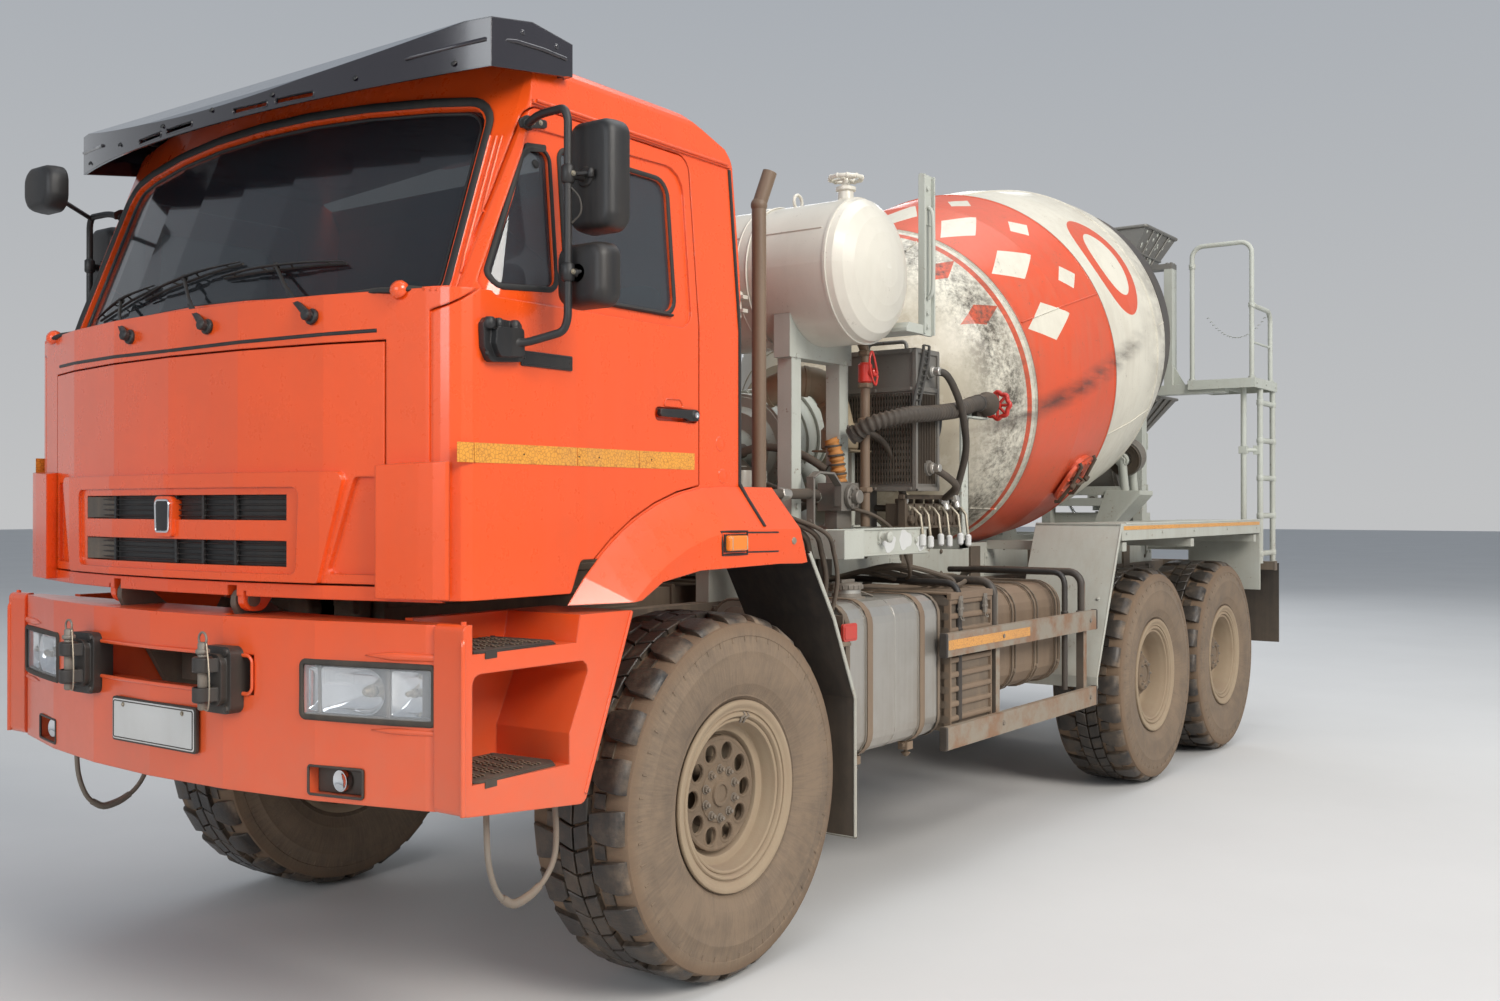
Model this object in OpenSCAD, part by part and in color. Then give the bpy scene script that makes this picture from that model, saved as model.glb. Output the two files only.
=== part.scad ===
// Concrete mixer truck: 6x6 forward-control chassis, tilting cab, rotating drum and folding chute.
// Every module is written from the front axle: +X forward, +Y left, +Z up from the ground.

/* [Chassis] */
// Front axle to middle axle
front_to_middle = 4100; // [3900:10:4300]
// Middle axle to rear axle
tandem_gap = 1320; // [1300:10:1400]
// Distance between the wheels' centre planes
track = 2050; // [2000:10:2100]
// Foremost point, ahead of the front axle
nose_x = 1490; // [1480:1:1510]
// Rearmost point, behind the front axle
tail = 6720; // [6716:1:6800]
// Height of the frame rail's underside
rail_z = 930; // [920:1:950]
// Depth of the frame rail
rail_h = 260; // [240:1:280]
// Outer face of the frame rail, from the middle
rail_y = 405; // [400:1:410]
// Width of the rail's flange
rail_flange = 80; // [70:1:100]
// Thickness of the rail's web
rail_t = 10; // [8:1:14]

/* [Wheels] */
// Outside diameter of the tyre, over the lugs
tyre_d = 1240; // [1220:2:1260]
// Width of the tyre
tyre_w = 420; // [400:2:430]
// Diameter of the rim at the bead
rim_d = 570; // [560:2:580]
// Diameter of the stub axle in the hub
stub_d = 120; // [110:1:130]
// Running clearance round pins and stubs
running_gap = 0.05; // [0.03:0.01:0.1]
// Kingpin, from the middle
kingpin_y = 840; // [830:1:850]
// Kingpin diameter
kingpin_d = 56; // [50:1:60]

/* [Cab] */
// Width of the cab
cab_w = 2260; // [2240:2:2280]
// Foremost point of the front panel
cab_front = 1344; // [1335:1:1350]
// Rear wall, behind the front axle
cab_back = 150; // [140:1:160]
// Underside of the cab
cab_z = 1335; // [1330:1:1340]
// Foot of the windscreen
belt_z = 2205; // [2190:1:2220]
// Top of the roof
roof_z = 2978; // [2970:1:2990]
// Thickness of the cab's walls
wall = 45; // [35:1:55]
// Gap round doors and panels
shut_gap = 6; // [5:0.5:8]
// Thickness of the glass
glass_t = 6; // [5:1:8]
// Height of the cab's front hinge
cab_hinge_z = 1322; // [1318:1:1326]

/* [Bumper] */
// Top of the bumper
bumper_top = 1280; // [1270:1:1285]
// Bottom of the bumper
bumper_bottom = 774; // [760:1:790]
// Face of the bumper, ahead of the front axle
bumper_front = 1403; // [1395:1:1410]
// Width over the steps
steps_w = 2440; // [2420:2:2450]

/* [Drum] */
// Upward tilt of the drum's axis, in degrees
drum_tilt = 14; // [13:0.5:15]
// Start of the coloured band, behind the front axle
band_x = 3080; // [3060:1:3100]
// Height of the axis there
band_z = 2246; // [2240:1:2260]
// Largest radius of the drum
drum_r = 1062; // [1050:1:1070]
// Radius of the drum's mouth
mouth_r = 500; // [480:1:510]
// Thickness of the drum's shell
drum_t = 10; // [8:1:14]
// Radius of the running ring
ring_r = 900; // [880:1:905]
// Radius of a support roller
roller_r = 125; // [120:1:135]

/* [Tanks] */
// Radius of the water tank
water_r = 300; // [290:1:305]
// Height of the water tank's axis
water_z = 2572; // [2560:1:2580]
// Length of the water tank, dome to dome
water_l = 2300; // [2280:2:2320]

/* [Chute] */
// Length of the main chute
chute_l = 1050; // [1000:10:1080]
// Length of the folding tip
tip_l = 640; // [600:10:660]
// Width of the chute
chute_w = 420; // [400:10:440]

/* [Hidden] */
$fn = 48;

// Places
axle_z = tyre_d / 2;
middle_x = -front_to_middle;
rear_x = middle_x - tandem_gap;
bogie_x = middle_x - tandem_gap / 2;
wheel_y = track / 2;
rail_top = rail_z + rail_h;
half_w = cab_w / 2;
step_y = steps_w / 2;
fit = 0.3;
eps = 0.5;
hub_out = 110;
spindle_in = 120;
sub_top = rail_top + 200;
wing_z = sub_top + 20;

// Colours
orange = [0.85, 0.2, 0.05];
black = [0.05, 0.05, 0.05];
steel = [0.6, 0.6, 0.58];
cream = [0.85, 0.83, 0.75];
dark_grey = [0.2, 0.2, 0.2];
pale_grey = [0.62, 0.65, 0.6];

// Moves a part from the front axle's frame to the frame whose origin is under the middle of the truck
module truck() { translate([(tail - nose_x) / 2, 0, 0]) children(); }

// The same thing on the left and on the right
module both() {
    children();
    mirror([0, 1, 0]) children();
}
module right() { mirror([0, 1, 0]) children(); }

// A block from its two limits along each axis
module block(x, y, z) {
    translate([x[0], y[0], z[0]]) cube([x[1] - x[0], y[1] - y[0], z[1] - z[0]]);
}

// A side view (x, z) extruded across the truck, and an end view (y, z) extruded along it
module across(y0, y1) { translate([0, y1, 0]) rotate([90, 0, 0]) linear_extrude(y1 - y0) children(); }
module along(x0, x1) { translate([x0, 0, 0]) rotate([90, 0, 90]) linear_extrude(x1 - x0) children(); }

// A round bar between two points
module rod(a, b, d) {
    v = b - a;
    l = norm(v);
    translate(a) rotate([0, acos(v.z / l), atan2(v.y, v.x)]) cylinder(d = d, h = l);
}

// A bent tube through points: straight runs and elbows of one bend radius
module elbow(a, b, c, d, r) {
    u = unit(b - a);
    w = unit(c - b);
    turn = acos(u * w);
    m = unit(w - u * (u * w));
    o = b - u * r * tan(turn / 2) + m * r;
    k = cross(-m, u);
    multmatrix([[-m.x, u.x, k.x, o.x], [-m.y, u.y, k.y, o.y], [-m.z, u.z, k.z, o.z], [0, 0, 0, 1]])
        rotate_extrude(angle = turn) translate([r, 0]) circle(d = d, $fn = 24);
}
function trim_len(a, b, c, r) = r * tan(acos(unit(b - a) * unit(c - b)) / 2);
module tube(p, d, r) {
    n = len(p);
    for (i = [0:n - 2]) {
        u = unit(p[i + 1] - p[i]);
        t0 = i == 0 ? 0 : trim_len(p[i - 1], p[i], p[i + 1], r);
        t1 = i == n - 2 ? 0 : trim_len(p[i], p[i + 1], p[i + 2], r);
        rod(p[i] + u * t0, p[i + 1] - u * t1, d);
    }
    if (n > 2) for (i = [1:n - 2]) elbow(p[i - 1], p[i], p[i + 1], d, r);
}

// A tube with ball corners
module bent(p, d) {
    for (i = [0:len(p) - 2]) rod(p[i], p[i + 1], d);
    for (i = [1:len(p) - 2]) translate(p[i]) sphere(d = 1.15 * d);
}

// Outlines: each point is [x, y, corner radius], counter-clockwise
function unit(v) = v / norm(v);
function xy(p) = [p.x, p.y];
function corner(a, b, c, r, n) =
    r < 0.01 ? [b] :
    let (u = unit(a - b), v = unit(c - b), h = acos(u * v) / 2, d = r / tan(h),
        o = b + unit(u + v) * r / sin(h))
    [for (i = [0:n]) let (w = unit((b + u * d - o) * (n - i) + (b + v * d - o) * i)) o + w * r];
function rounded(p, n = 4) = let (m = len(p))
    [for (i = [0:m - 1]) each corner(xy(p[(i + m - 1) % m]), xy(p[i]), xy(p[(i + 1) % m]), p[i][2], n)];
function outward(a, b) = let (d = unit(b - a)) [d.y, -d.x];
function inset(p, t) = let (m = len(p))
    [for (i = [0:m - 1])
        let (b = xy(p[i]), n1 = outward(xy(p[(i + m - 1) % m]), b), n2 = outward(b, xy(p[(i + 1) % m])),
            q = b - (n1 + n2) * t / (1 + n1 * n2))
        [q.x, q.y, max(p[i][2] - t, 0)]];
function arc(c, r, a0, a1, n) = [for (i = [0:n]) let (a = a0 + (a1 - a0) * i / n) [c.x + r * cos(a),
    c.y + r * sin(a)]];
function plain(p) = [for (q = p) [q.x, q.y, 0]];

// Frame, axles and springs
module rail_profile() {
    difference() {
        square([rail_flange, rail_h]);
        translate([-eps, rail_t]) square([rail_flange - rail_t + eps, rail_h - 2 * rail_t]);
    }
}
rail_front = 1150;
rail_back = -6560;
cross_x = [1050, -1700, -3000, bogie_x, -6200];
bar_x = [rail_back - 72, rail_back - 12];
bar_z = [1135, 1195];
jaw_x = rail_back - 116;
jaw_bore = 41;
jaw_z = [[990, 1020], [1095, 1125]];
cab_hinge_x = 1290;
hinge_pin = 40;
hinge_plate_y = [300, 325];
hinge_ear_y = [337, 365];
lift_y = -470;
lift_base = [980, 940];
lift_eye = [800, 1300];
lift_pin = 30;
module frame_rails() truck() color(dark_grey) {
    both() translate([0, rail_y - rail_flange, rail_z]) along(rail_back, rail_front) rail_profile();
    for (x = cross_x)
        block([x - 60, x + 60], [-rail_y + rail_t / 2, rail_y - rail_t / 2], [rail_z + 90, rail_top - 60]);
    block([rail_back - 12, rail_back], [-rail_y, rail_y], [rail_z, rail_top]);
    both() for (x = hanger_x)
        block([x - 45, x + 45], [rail_y - rail_t, rail_y + 50], [hanger_z, rail_z + 80]);
    both() block([bogie_x - 90, bogie_x + 90], [rail_y - rail_flange, rail_y], [690, rail_z + eps]);
    // Cross bar behind the frame, with brackets for the flaps
    block(bar_x, [-1225, 1225], bar_z);
    both() block([-tail + 12 + fit, bar_x[0] + eps], [960, 1060], [bar_z[0], bar_z[0] + 20]);
    difference() {
        for (z = jaw_z) {
            block([jaw_x, rail_back - 12 + eps], [-60, 60], z);
            translate([jaw_x, 0, z[0]]) cylinder(d = 76, h = z[1] - z[0]);
        }
        translate([jaw_x, 0, rail_z]) cylinder(d = jaw_bore, h = rail_h);
    }
    // Step box brackets, cab hinge brackets and the lift cylinder's foot
    both() block([1080, 1140], [rail_y - rail_t, 880 - fit], [1000, 1060]);
    both() across(hinge_plate_y[0], hinge_plate_y[1]) polygon(rounded([
        [1040, rail_z + 60, 0], [rail_front, rail_z + 60, 0], [cab_hinge_x + 34, cab_hinge_z - 20, 30],
        [cab_hinge_x + 34, cab_hinge_z + 34, 34], [cab_hinge_x - 34, cab_hinge_z + 34, 34],
            [1040, rail_top - 20, 0]]));
    both() translate([cab_hinge_x, hinge_ear_y[1] + 5, cab_hinge_z]) rotate([90, 0, 0])
        cylinder(d = hinge_pin, h = hinge_ear_y[1] + 5 - hinge_plate_y[0]);
    block([lift_base.x - 40, lift_base.x + 40], [-rail_y - 30, -rail_y + rail_t],
        [lift_base.y - 40, lift_base.y + 60]);
    translate([lift_base.x, -rail_y, lift_base.y]) rotate([90, 0, 0])
        cylinder(d = lift_pin, h = -lift_y - rail_y + 25);
}

spring_y = rail_y;
module diff_case(x, y, r) { translate([x, y, axle_z]) sphere(r = r); }
nose_l = 235;
nose_z = axle_z + 60;
nose_d = 120;
front_diff_y = -170;
module axle_tube(x, y1, d) { translate([x, y1, axle_z]) rotate([90, 0, 0]) cylinder(d = d, h = 2 * y1); }
module axles() truck() color(dark_grey) {
    axle_tube(0, kingpin_y - 40, 150);
    diff_case(0, front_diff_y, 190);
    rod([-nose_l, front_diff_y, nose_z], [-60, front_diff_y, nose_z], nose_d);
    both() {
        translate([0, kingpin_y, axle_z - 85]) cylinder(d = 130, h = 170);
        translate([0, kingpin_y, axle_z - 140]) cylinder(d = kingpin_d, h = 280);
    }
    for (x = [middle_x, rear_x]) {
        axle_tube(x, wheel_y - 60, 170);
        axle_tube(x, wheel_y + spindle_in - 60, stub_d);
        diff_case(x, 0, 215);
        rod([x, 0, nose_z], [x + nose_l, 0, nose_z], nose_d);
    }
    rod([middle_x - nose_l, 0, nose_z], [middle_x, 0, nose_z], nose_d);
    both() for (x = [middle_x - 20, rear_x + 20])
        block([x - 45, x + 45], [spring_y + 15, spring_y + 15 + leaf_w], [axle_z, seat_z]);
}

// A leaf spring: each leaf is [length]; the main leaf is first
leaf_lengths = [1300, 1080, 860, 640, 420];
leaf_t = 18;
leaf_w = 85;
module leaf_pack(camber_r) {
    for (i = [0:len(leaf_lengths) - 1]) {
        r = camber_r + i * leaf_t - (i == 0 ? 0 : eps);
        h = asin(leaf_lengths[i] / 2 / camber_r);
        polygon(concat(arc([0, camber_r], r + leaf_t + eps, 270 - h, 270 + h, 12),
            arc([0, camber_r], r, 270 + h, 270 - h, 12)));
    }
}
leaf_r = 3200;
leaf_rise = leaf_r - sqrt(leaf_r * leaf_r - leaf_lengths[0] * leaf_lengths[0] / 4);
pad_z = axle_z + 75 + fit;
front_leaf_z = pad_z + 25 + len(leaf_lengths) * leaf_t;
hanger_x = [610, -610];
hanger_z = front_leaf_z + leaf_rise + 1;
bogie_leaf_z = 800;
seat_z = bogie_leaf_z - leaf_rise - 4;
module leaf_springs() truck() color(black) {
    both() {
        across(spring_y - 20, spring_y - 20 + leaf_w) translate([0, front_leaf_z]) leaf_pack(leaf_r);
        block([-70, 70], [spring_y - 10, spring_y + 55], [pad_z, pad_z + 26]);
        translate([bogie_x, 0, bogie_leaf_z]) across(spring_y + 15, spring_y + 15 + leaf_w) mirror([0, 1])
            leaf_pack(leaf_r);
        block([bogie_x - 110, bogie_x + 110], [rail_y + fit, spring_y + 100],
            [bogie_leaf_z - 110, bogie_leaf_z + 20]);
    }
}

module powertrain() truck() color(dark_grey) {
    block([-550, 750], [-310, 300], [850, 1560]);
    block([-1500, -500], [-200, 200], [870, 1250]);
    block([-2500, -2150], [-260, 220], [620, 1120]);
    both() for (x = [150, -1100, -2325]) block([x - 50, x + 50], [180, rail_y - rail_t - fit],
        [1000, 1100]);
    rod([-1480, 0, 940], [-2170, 0, 940], 110);
    rod([-2170, front_diff_y, nose_z], [-nose_l - fit, front_diff_y, nose_z], 90);
    rod([middle_x + nose_l + fit, 0, nose_z], [-2480, 0, nose_z], 100);
    rod([rear_x + nose_l + fit, 0, nose_z], [middle_x - nose_l - fit, 0, nose_z], 100);
}

// Bumper, lamps and steps
step_front = 1238;
front_r = 3600;
function front_plan(front, y, back, r) = concat(
    [[back, -y, 0]],
    [[front - front_r + sqrt(front_r * front_r - (y - 75) * (y - 75)) - 40, -y, r]],
    [for (i = [-3:3]) let (v = (y - 150) * i / 3) [front - front_r + sqrt(front_r * front_r - v * v), v,
        0]],
    [[front - front_r + sqrt(front_r * front_r - (y - 75) * (y - 75)) - 40, y, r]],
    [[back, y, 0]]);
lamp_y = [665, 1095];
lamp_z = [1008, 1164];
bumper_t = 70;
module bumper_block(t, z0, z1) {
    translate([0, 0, z0]) linear_extrude(z1 - z0)
        polygon(rounded(inset(front_plan(bumper_front, step_y, 1060 - t, 60), t)));
}
// What a block holds of the bumper's outer skin, down to a depth
module bumper_pocket(depth) {
    intersection() {
        children();
        difference() {
            bumper_block(-1, bumper_bottom + 1, bumper_top - 1);
            bumper_block(depth, bumper_bottom, bumper_top);
        }
    }
}
module bumper() truck() color(orange) {
    difference() {
        bumper_block(0, bumper_bottom, bumper_top);
        bumper_block(bumper_t, bumper_bottom + 40, bumper_top - 40);
        both() bumper_pocket(40) block([1100, 1500], [690, 875], [792, 872]);
        block([1000, 1180], [-step_y + bumper_t, step_y - bumper_t], [bumper_bottom - 1, bumper_top + 1]);
        both() block([1000, 1350], hinge_plate_y + [-6, 6], [bumper_top - 41, bumper_top + 1]);
        both() bumper_pocket(bumper_t - 15) block([1100, 1500], lamp_y, lamp_z);
        block([bumper_front - 160, bumper_front + 50], [-480, 480], [1055, 1172]);
        both() block([1000, step_front + fit], [step_split - fit, step_y + 1], [700, 1300]);
    }
    both() block([rail_front, 1340], [rail_y - 70, rail_y - 20], [rail_z + 20, rail_top - 20]);
}

module lamps() truck() {
    color([0.85, 0.87, 0.9]) both() intersection() {
        block([1100, 1500], lamp_y + [fit, -fit], lamp_z + [fit, -fit]);
        difference() {
            bumper_block(4, lamp_z[0] - 1, lamp_z[1] + 1);
            bumper_block(bumper_t - 15 - fit, lamp_z[0] - 2, lamp_z[1] + 2);
        }
    }
    color("red") both() block([bar_x[0] - 12, bar_x[1]], [660, 1030], [bar_z[0] - 125, bar_z[0] - fit]);
}

module tow_forks() truck() color(black) both() {
    difference() {
        block([bumper_front - 60, bumper_front + 14], [300, 440], [1000, 1195]);
        bumper_block(-fit, bumper_bottom, bumper_top);
    }
    for (z = [1045, 1125]) {
        block([bumper_front + 12, nose_x - 25], [340, 400], [z, z + 34]);
        translate([nose_x - 30, 370, z]) cylinder(d = 60, h = 34);
    }
    translate([nose_x - 30, 370, 1015]) cylinder(d = 24, h = 190);
}

// Side view of a step box: [x, z, corner radius]
step_outline = [[step_front, 774, 20], [step_front, 1284, 20], [545, 1284, 10], [764, 730, 30]];
step_split = 1100;
lower_step_z = 845;
upper_step_z = 1182;
module step_boxes() truck() color(orange) both() difference() {
    across(880, step_y - 5) polygon(rounded(step_outline));
    block([1150, 1300], [870, step_split], [700, 1300]);
    across(915, step_y) polygon(rounded([[848, 905, 30], [1205, 905, 30], [1205, 1150, 30],
        [735, 1150, 30]]));
    across(915, step_y) polygon([[830, lower_step_z + 10], [1205, lower_step_z + 10], [1205, 1000],
        [830, 1000]]);
    across(915, step_y) polygon([[800, upper_step_z + 22], [1205, upper_step_z + 22], [1205, 1300],
        [780, 1300]]);
    across(870, 1150) polygon([[880, 700], [1200, 700], [1200, 820], [880, 820]]);
}

// Black guards behind the front wheels and rubber flaps behind the rear wheels
module mud_flaps() truck() color(black) both() {
    across(830, 1240) polygon(
        [[-408, 1430], [-575, 1180], [-725, 870], [-725, 340], [-712, 340], [-712, 874], [-562, 1185],
            [-396, 1436]]);
    block([-680, -622], [rail_y + fit, 840], [1060, 1100]);
    block([-tail, -tail + 12], [800, 1220], [600, 1180]);
}

// Tanks and boxes along the chassis
fuel_x = [-1540, -772];
module side_tank(x, y, z, r) {
    along(x[0], x[1]) polygon(rounded([[y[0], z[0], r], [y[1], z[0], r], [y[1], z[1], r],
        [y[0], z[1], r]]));
}
module rail_brackets(xs, y, z) {
    for (x = xs) block([x - 25, x + 25], [rail_y + fit, y], z);
}
strap_t = 6;
module side_strap(x, y, z, r) {
    side_tank([x - 26, x + 26], y + [-strap_t, strap_t], z + [-strap_t, strap_t], r + strap_t);
}
module fuel_tank() truck() color(steel) {
    side_tank(fuel_x, [520, 1160], [610, 1220], 90);
    for (x = [fuel_x[0] + 170, fuel_x[1] - 170]) side_strap(x, [520, 1160], [610, 1220], 90);
    translate([fuel_x[1] - 330, 960, 1219]) cylinder(d = 120, h = 40);
    translate([fuel_x[1] - 330, 960, 1258]) cylinder(d = 96, h = 14);
    rail_brackets([-1400, -920], 530, [900, 1050]);
}
battery_x = [-2000, -1600];
module battery_box() truck() color(dark_grey) {
    side_tank(battery_x, [520, 1170], [620, 1215], 40);
    for (z = [655:64:1167]) side_tank(battery_x + [-strap_t, strap_t], [560, 1170 + strap_t], [z, z + 32],
        10);
    rail_brackets([-1800], 530, [900, 1050]);
}
oil_x = [-3000, -2080];
module oil_tank() truck() color([0.35, 0.27, 0.2]) {
    side_tank(oil_x, [520, 1090], [700, 1205], 120);
    for (x = [oil_x[0] + 60:260:oil_x[1] - 60]) side_strap(x, [520, 1090], [700, 1205], 120);
    translate([oil_x[1] - 190, 800, 1204]) cylinder(d = 90, h = 45);
    rail_brackets([-2850, -2250], 530, [900, 1050]);
}
module air_tanks() truck() color(dark_grey) right() {
    for (z = [760, 1050]) rod([-2950, 700, z], [-2050, 700, z], 260);
    block([-2900, -2860], [rail_y + fit, 710], [740, 1080]);
    block([-2140, -2100], [rail_y + fit, 710], [740, 1080]);
    rod([-1900, 780, 950], [-900, 780, 950], 480);
    rod([-1400, rail_y + fit, 950], [-1400, 780, 950], 120);
}

guard_y = 1225;
guard_x = [-3170, -1485];
module side_guards() truck() color(steel) both() {
    for (z = [[955, 1055], [558, 655]]) block(guard_x, [guard_y - 30, guard_y], z);
    for (x = [-3080, -2040]) {
        block([x - 20, x + 20], [guard_y - 70, guard_y - 29], [558, 1055]);
        tube([[x, rail_y + fit, 1000], [x, 485, 1000], [x, 485, 1255], [x, guard_y - 50, 1255],
            [x, guard_y - 50, 1000]], 40, 70);
    }
}

// Subframe with the drum's front and rear stands
drum_u = [-cos(drum_tilt), 0, sin(drum_tilt)];
band_at = [-band_x, 0, band_z];
module drum_axis() { translate(band_at) rotate([0, drum_tilt - 90, 0]) children(); }
// Distances along the drum's axis from the band's front edge
flange_s = -980;
ring_s = [2150, 2260];
mouth_s = 2950;
roller_a = 32;
roller_gap = 0.3;
roller_pin = 50;
roller_c = ring_r + roller_r + roller_gap;
function drum_point(s, r, a) = band_at + s * drum_u + r * [sin(drum_tilt) * -cos(a), sin(a),
    -cos(drum_tilt) * cos(a)];
chute_x = -6480;
sleeve_z = [1425, 1560];
post_d = 120;
module drum_frame() truck() color(pale_grey) difference() {
    drum_steelwork();
    translate([chute_x, 0, 0]) cylinder(d = post_d + 2 * running_gap, h = 2000);
    drum_axis() translate([0, 0, flange_s - 200]) cylinder(d = gear_shaft + 2 * running_gap, h = 300);
}
module drum_steelwork() {
    translate([chute_x, 0, sleeve_z[0]]) cylinder(d = post_d + 60, h = sleeve_z[1] - sleeve_z[0]);
    block([chute_x, -6240], [-60, 60], [sleeve_z[0] + 5, sleeve_z[1] - 15]);
    block([-6350, -6230], [-rail_y + 20, rail_y - 20], [sub_top - 140, sub_top + 160]);
    both() block([-6350, -900], [rail_y - 80, rail_y - 10], [rail_top, sub_top]);
    block([-1010, -860], [-1100, 1100], [sub_top - eps, sub_top + 115]);
    block([-1400, -1250], [-820, 820], [sub_top - eps, sub_top + 115]);
    block([-1700, -1560], [-1010, 1010], [sub_top - eps, sub_top + 115]);
    both() block([-1700, -860], [950, 1010], [sub_top, sub_top + 115]);
    for (x = [-2500, -3600, bogie_x]) block([x - 50, x + 50], [-rail_y + 20, rail_y - 20],
        [rail_top + 20, rail_top + 120]);
    front_stand();
    rear_stand();
}
gear_r = 240;
gear_shaft = 150;
post_x = [-6250, -6150];
module front_stand() {
    drum_axis() translate([0, 0, flange_s - 420]) cylinder(r = gear_r, h = 374);
    c = band_at + (flange_s - 300) * drum_u;
    both() {
        rod([c.x, 150, c.z - 100], [c.x + 80, rail_y - 45, sub_top - 10], 110);
        rod([c.x - 60, 150, c.z - 100], [c.x - 700, rail_y - 45, sub_top - 10], 90);
    }
}
module rear_stand() {
    s = (ring_s[0] + ring_s[1]) / 2;
    p = drum_point(s, roller_c, roller_a);
    both() {
        hull() {
            block([p.x - 120, p.x + 120], [rail_y - 80, rail_y - 10], [sub_top - 30, sub_top]);
            block([p.x - 185, p.x + 70], [p.y - 120, p.y + 120], [p.z - 260, p.z - 230]);
        }
        for (k = [-85, 85]) {
            q = p + k * drum_u;
            rod(q + 272 * [-sin(drum_tilt), 0, -cos(drum_tilt)], q, 60);
        }
        rod(p - 95 * drum_u, p + 95 * drum_u, roller_pin);
        block(post_x, [rail_y - 80, rail_y - 10], [sub_top - eps, 2480]);
        block(post_x, [560, 620], [2420, 3330]);
    }
    block([p.x - 60, p.x + 60], [-p.y, p.y], [p.z - 260, p.z - 200]);
    both() block(post_x, [520, 1000], [2410, 2480]);
    both() block(post_x, [rail_y - 80, 620], [2410, 2480]);
    block(post_x, [-rail_y + 20, rail_y - 20], [1600, 1660]);
}

// Water tank and its cradle
water_x = -1130;
dome = 130;
bead = 3;
valve_y = 940;
module water_tank() truck() color(cream) {
    l = water_l - 2 * dome;
    translate([water_x, 0, water_z]) rotate([90, 0, 0]) rotate_extrude() polygon(concat(
        [[0, -water_l / 2]],
        [for (i = [1:6]) [water_r * sin(i * 15), -l / 2 - dome * cos(i * 15)]],
        [for (i = [6:-1:1]) [water_r * sin(i * 15), l / 2 + dome * cos(i * 15)]],
        [[0, water_l / 2]]));
    // Straps, weld beads, lifting eye and the filling valve with its handwheel
    translate([water_x, 0, water_z]) rotate([90, 0, 0]) for (k = [-1, 1]) {
        translate([0, 0, k * 620]) cylinder(r = water_r + strap_t, h = 50, center = true);
        translate([0, 0, k * l / 2]) cylinder(r = water_r + bead, h = 14, center = true);
    }
    top = water_z + water_r;
    translate([water_x, 700, top + 28]) rotate([90, 0, 0]) rotate_extrude() translate([30, 0])
        circle(d = 14);
    rod([water_x, valve_y, top - 15], [water_x, valve_y, top + 60], 60);
    rod([water_x, valve_y, top + 59], [water_x, valve_y, top + 106], 22);
    translate([water_x, valve_y, top + 96]) rotate_extrude() translate([66, 0]) circle(d = 18);
    rod([water_x - 66, valve_y, top + 96], [water_x + 66, valve_y, top + 96], 12);
    rod([water_x, valve_y - 66, top + 96], [water_x, valve_y + 66, top + 96], 12);
}
cradle_y = 780;
module tank_cradle() truck() color(pale_grey) both() difference() {
    union() {
        block([water_x - 240, water_x + 240], [cradle_y - 40, cradle_y + 40],
            [water_z - water_r - 60, water_z - 120]);
        for (x = [water_x - 185, water_x + 185])
            block([x - 35, x + 35], [cradle_y - 35, cradle_y + 35], [sub_top + 115 + fit, water_z - 250]);
        block([-1500, -1340], [cradle_y - 30, 1110], [water_z - 230, water_z - 190]);
        block([-1580, -1490], [1090, 1102], [water_z - 232, 3040]);
    }
    translate([water_x, 0, water_z]) rotate([90, 0, 0])
        cylinder(r = water_r + fit, h = 3000, center = true);
    translate([water_x, water_l / 2 - dome, water_z]) rotate([90, 0, 0])
        cylinder(r = water_r + bead + fit, h = 14 + 2 * fit, center = true);
}

// Motor of the drum's drive on its skid, with the pump behind and the fan in front
motor_x = [-1520, -1060];
motor_z = 1760;
pump_base = sub_top + 115 + fit;
module pump_unit() truck() color(dark_grey) {
    both() block([-1690, -880], [150, 230], [pump_base, pump_base + 70]);
    block(motor_x, [-170, 170], [pump_base + 40, motor_z]);
    block(motor_x + [60, -60], [-110, 110], [motor_z - 1, motor_z + 60]);
    for (x = [motor_x[0] + 70:107:motor_x[1] - 60]) translate([x, 0, motor_z + 40])
        cylinder(d = 96, h = 130);
    block(motor_x + [10, -10], [-50, 50], [motor_z + 160, motor_z + 215]);
    rod([motor_x[0] + 1, 0, motor_z - 70], [motor_x[0] - 75, 0, motor_z - 70], 300);
    rod([motor_x[0] - 74, 0, motor_z - 70], [-1640, 0, motor_z - 70], 190);
    rod([motor_x[1] - 1, 0, motor_z - 20], [motor_x[1] + 30, 0, motor_z - 20], 90);
    rod([motor_x[1] + 29, 0, motor_z - 20], [motor_x[1] + 80, 0, motor_z - 20], 400);
    for (x = [-1440, -1320]) {
        block([x - 20, x + 20], [160, 260], [1650, 1690]);
        translate([x, 260, 1590]) cylinder(d = 96, h = 190);
    }
    both() for (x = [motor_x[0] + 70:107:motor_x[1] - 60])
        rod([x, 40, motor_z + 100], [x, 150, motor_z + 100], 44);
    both() rod([motor_x[0] + 40, 150, motor_z + 100], [motor_x[1] - 40, 150, motor_z + 100], 70);
    block([-1180, -1060], [150, 350], [pump_base + 30, pump_base + 75]);
    translate([-1120, 275, pump_base + 74]) cylinder(d = 150, h = 250);
    translate([-1120, 275, pump_base + 320]) cylinder(d = 110, h = 30);
}
module pipework() truck() color([0.3, 0.2, 0.15]) {
    bent([[-860 + fit, 900, 1450], [-560, 900, 1450], [-560, 900, 2760], [-590, 930, 2890]], 56);
}
cooler_x = [-1780, -1580];
cooler_y = [620, 1020];
cooler_z = [1680, 2290];
fin_gap = 14;
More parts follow.
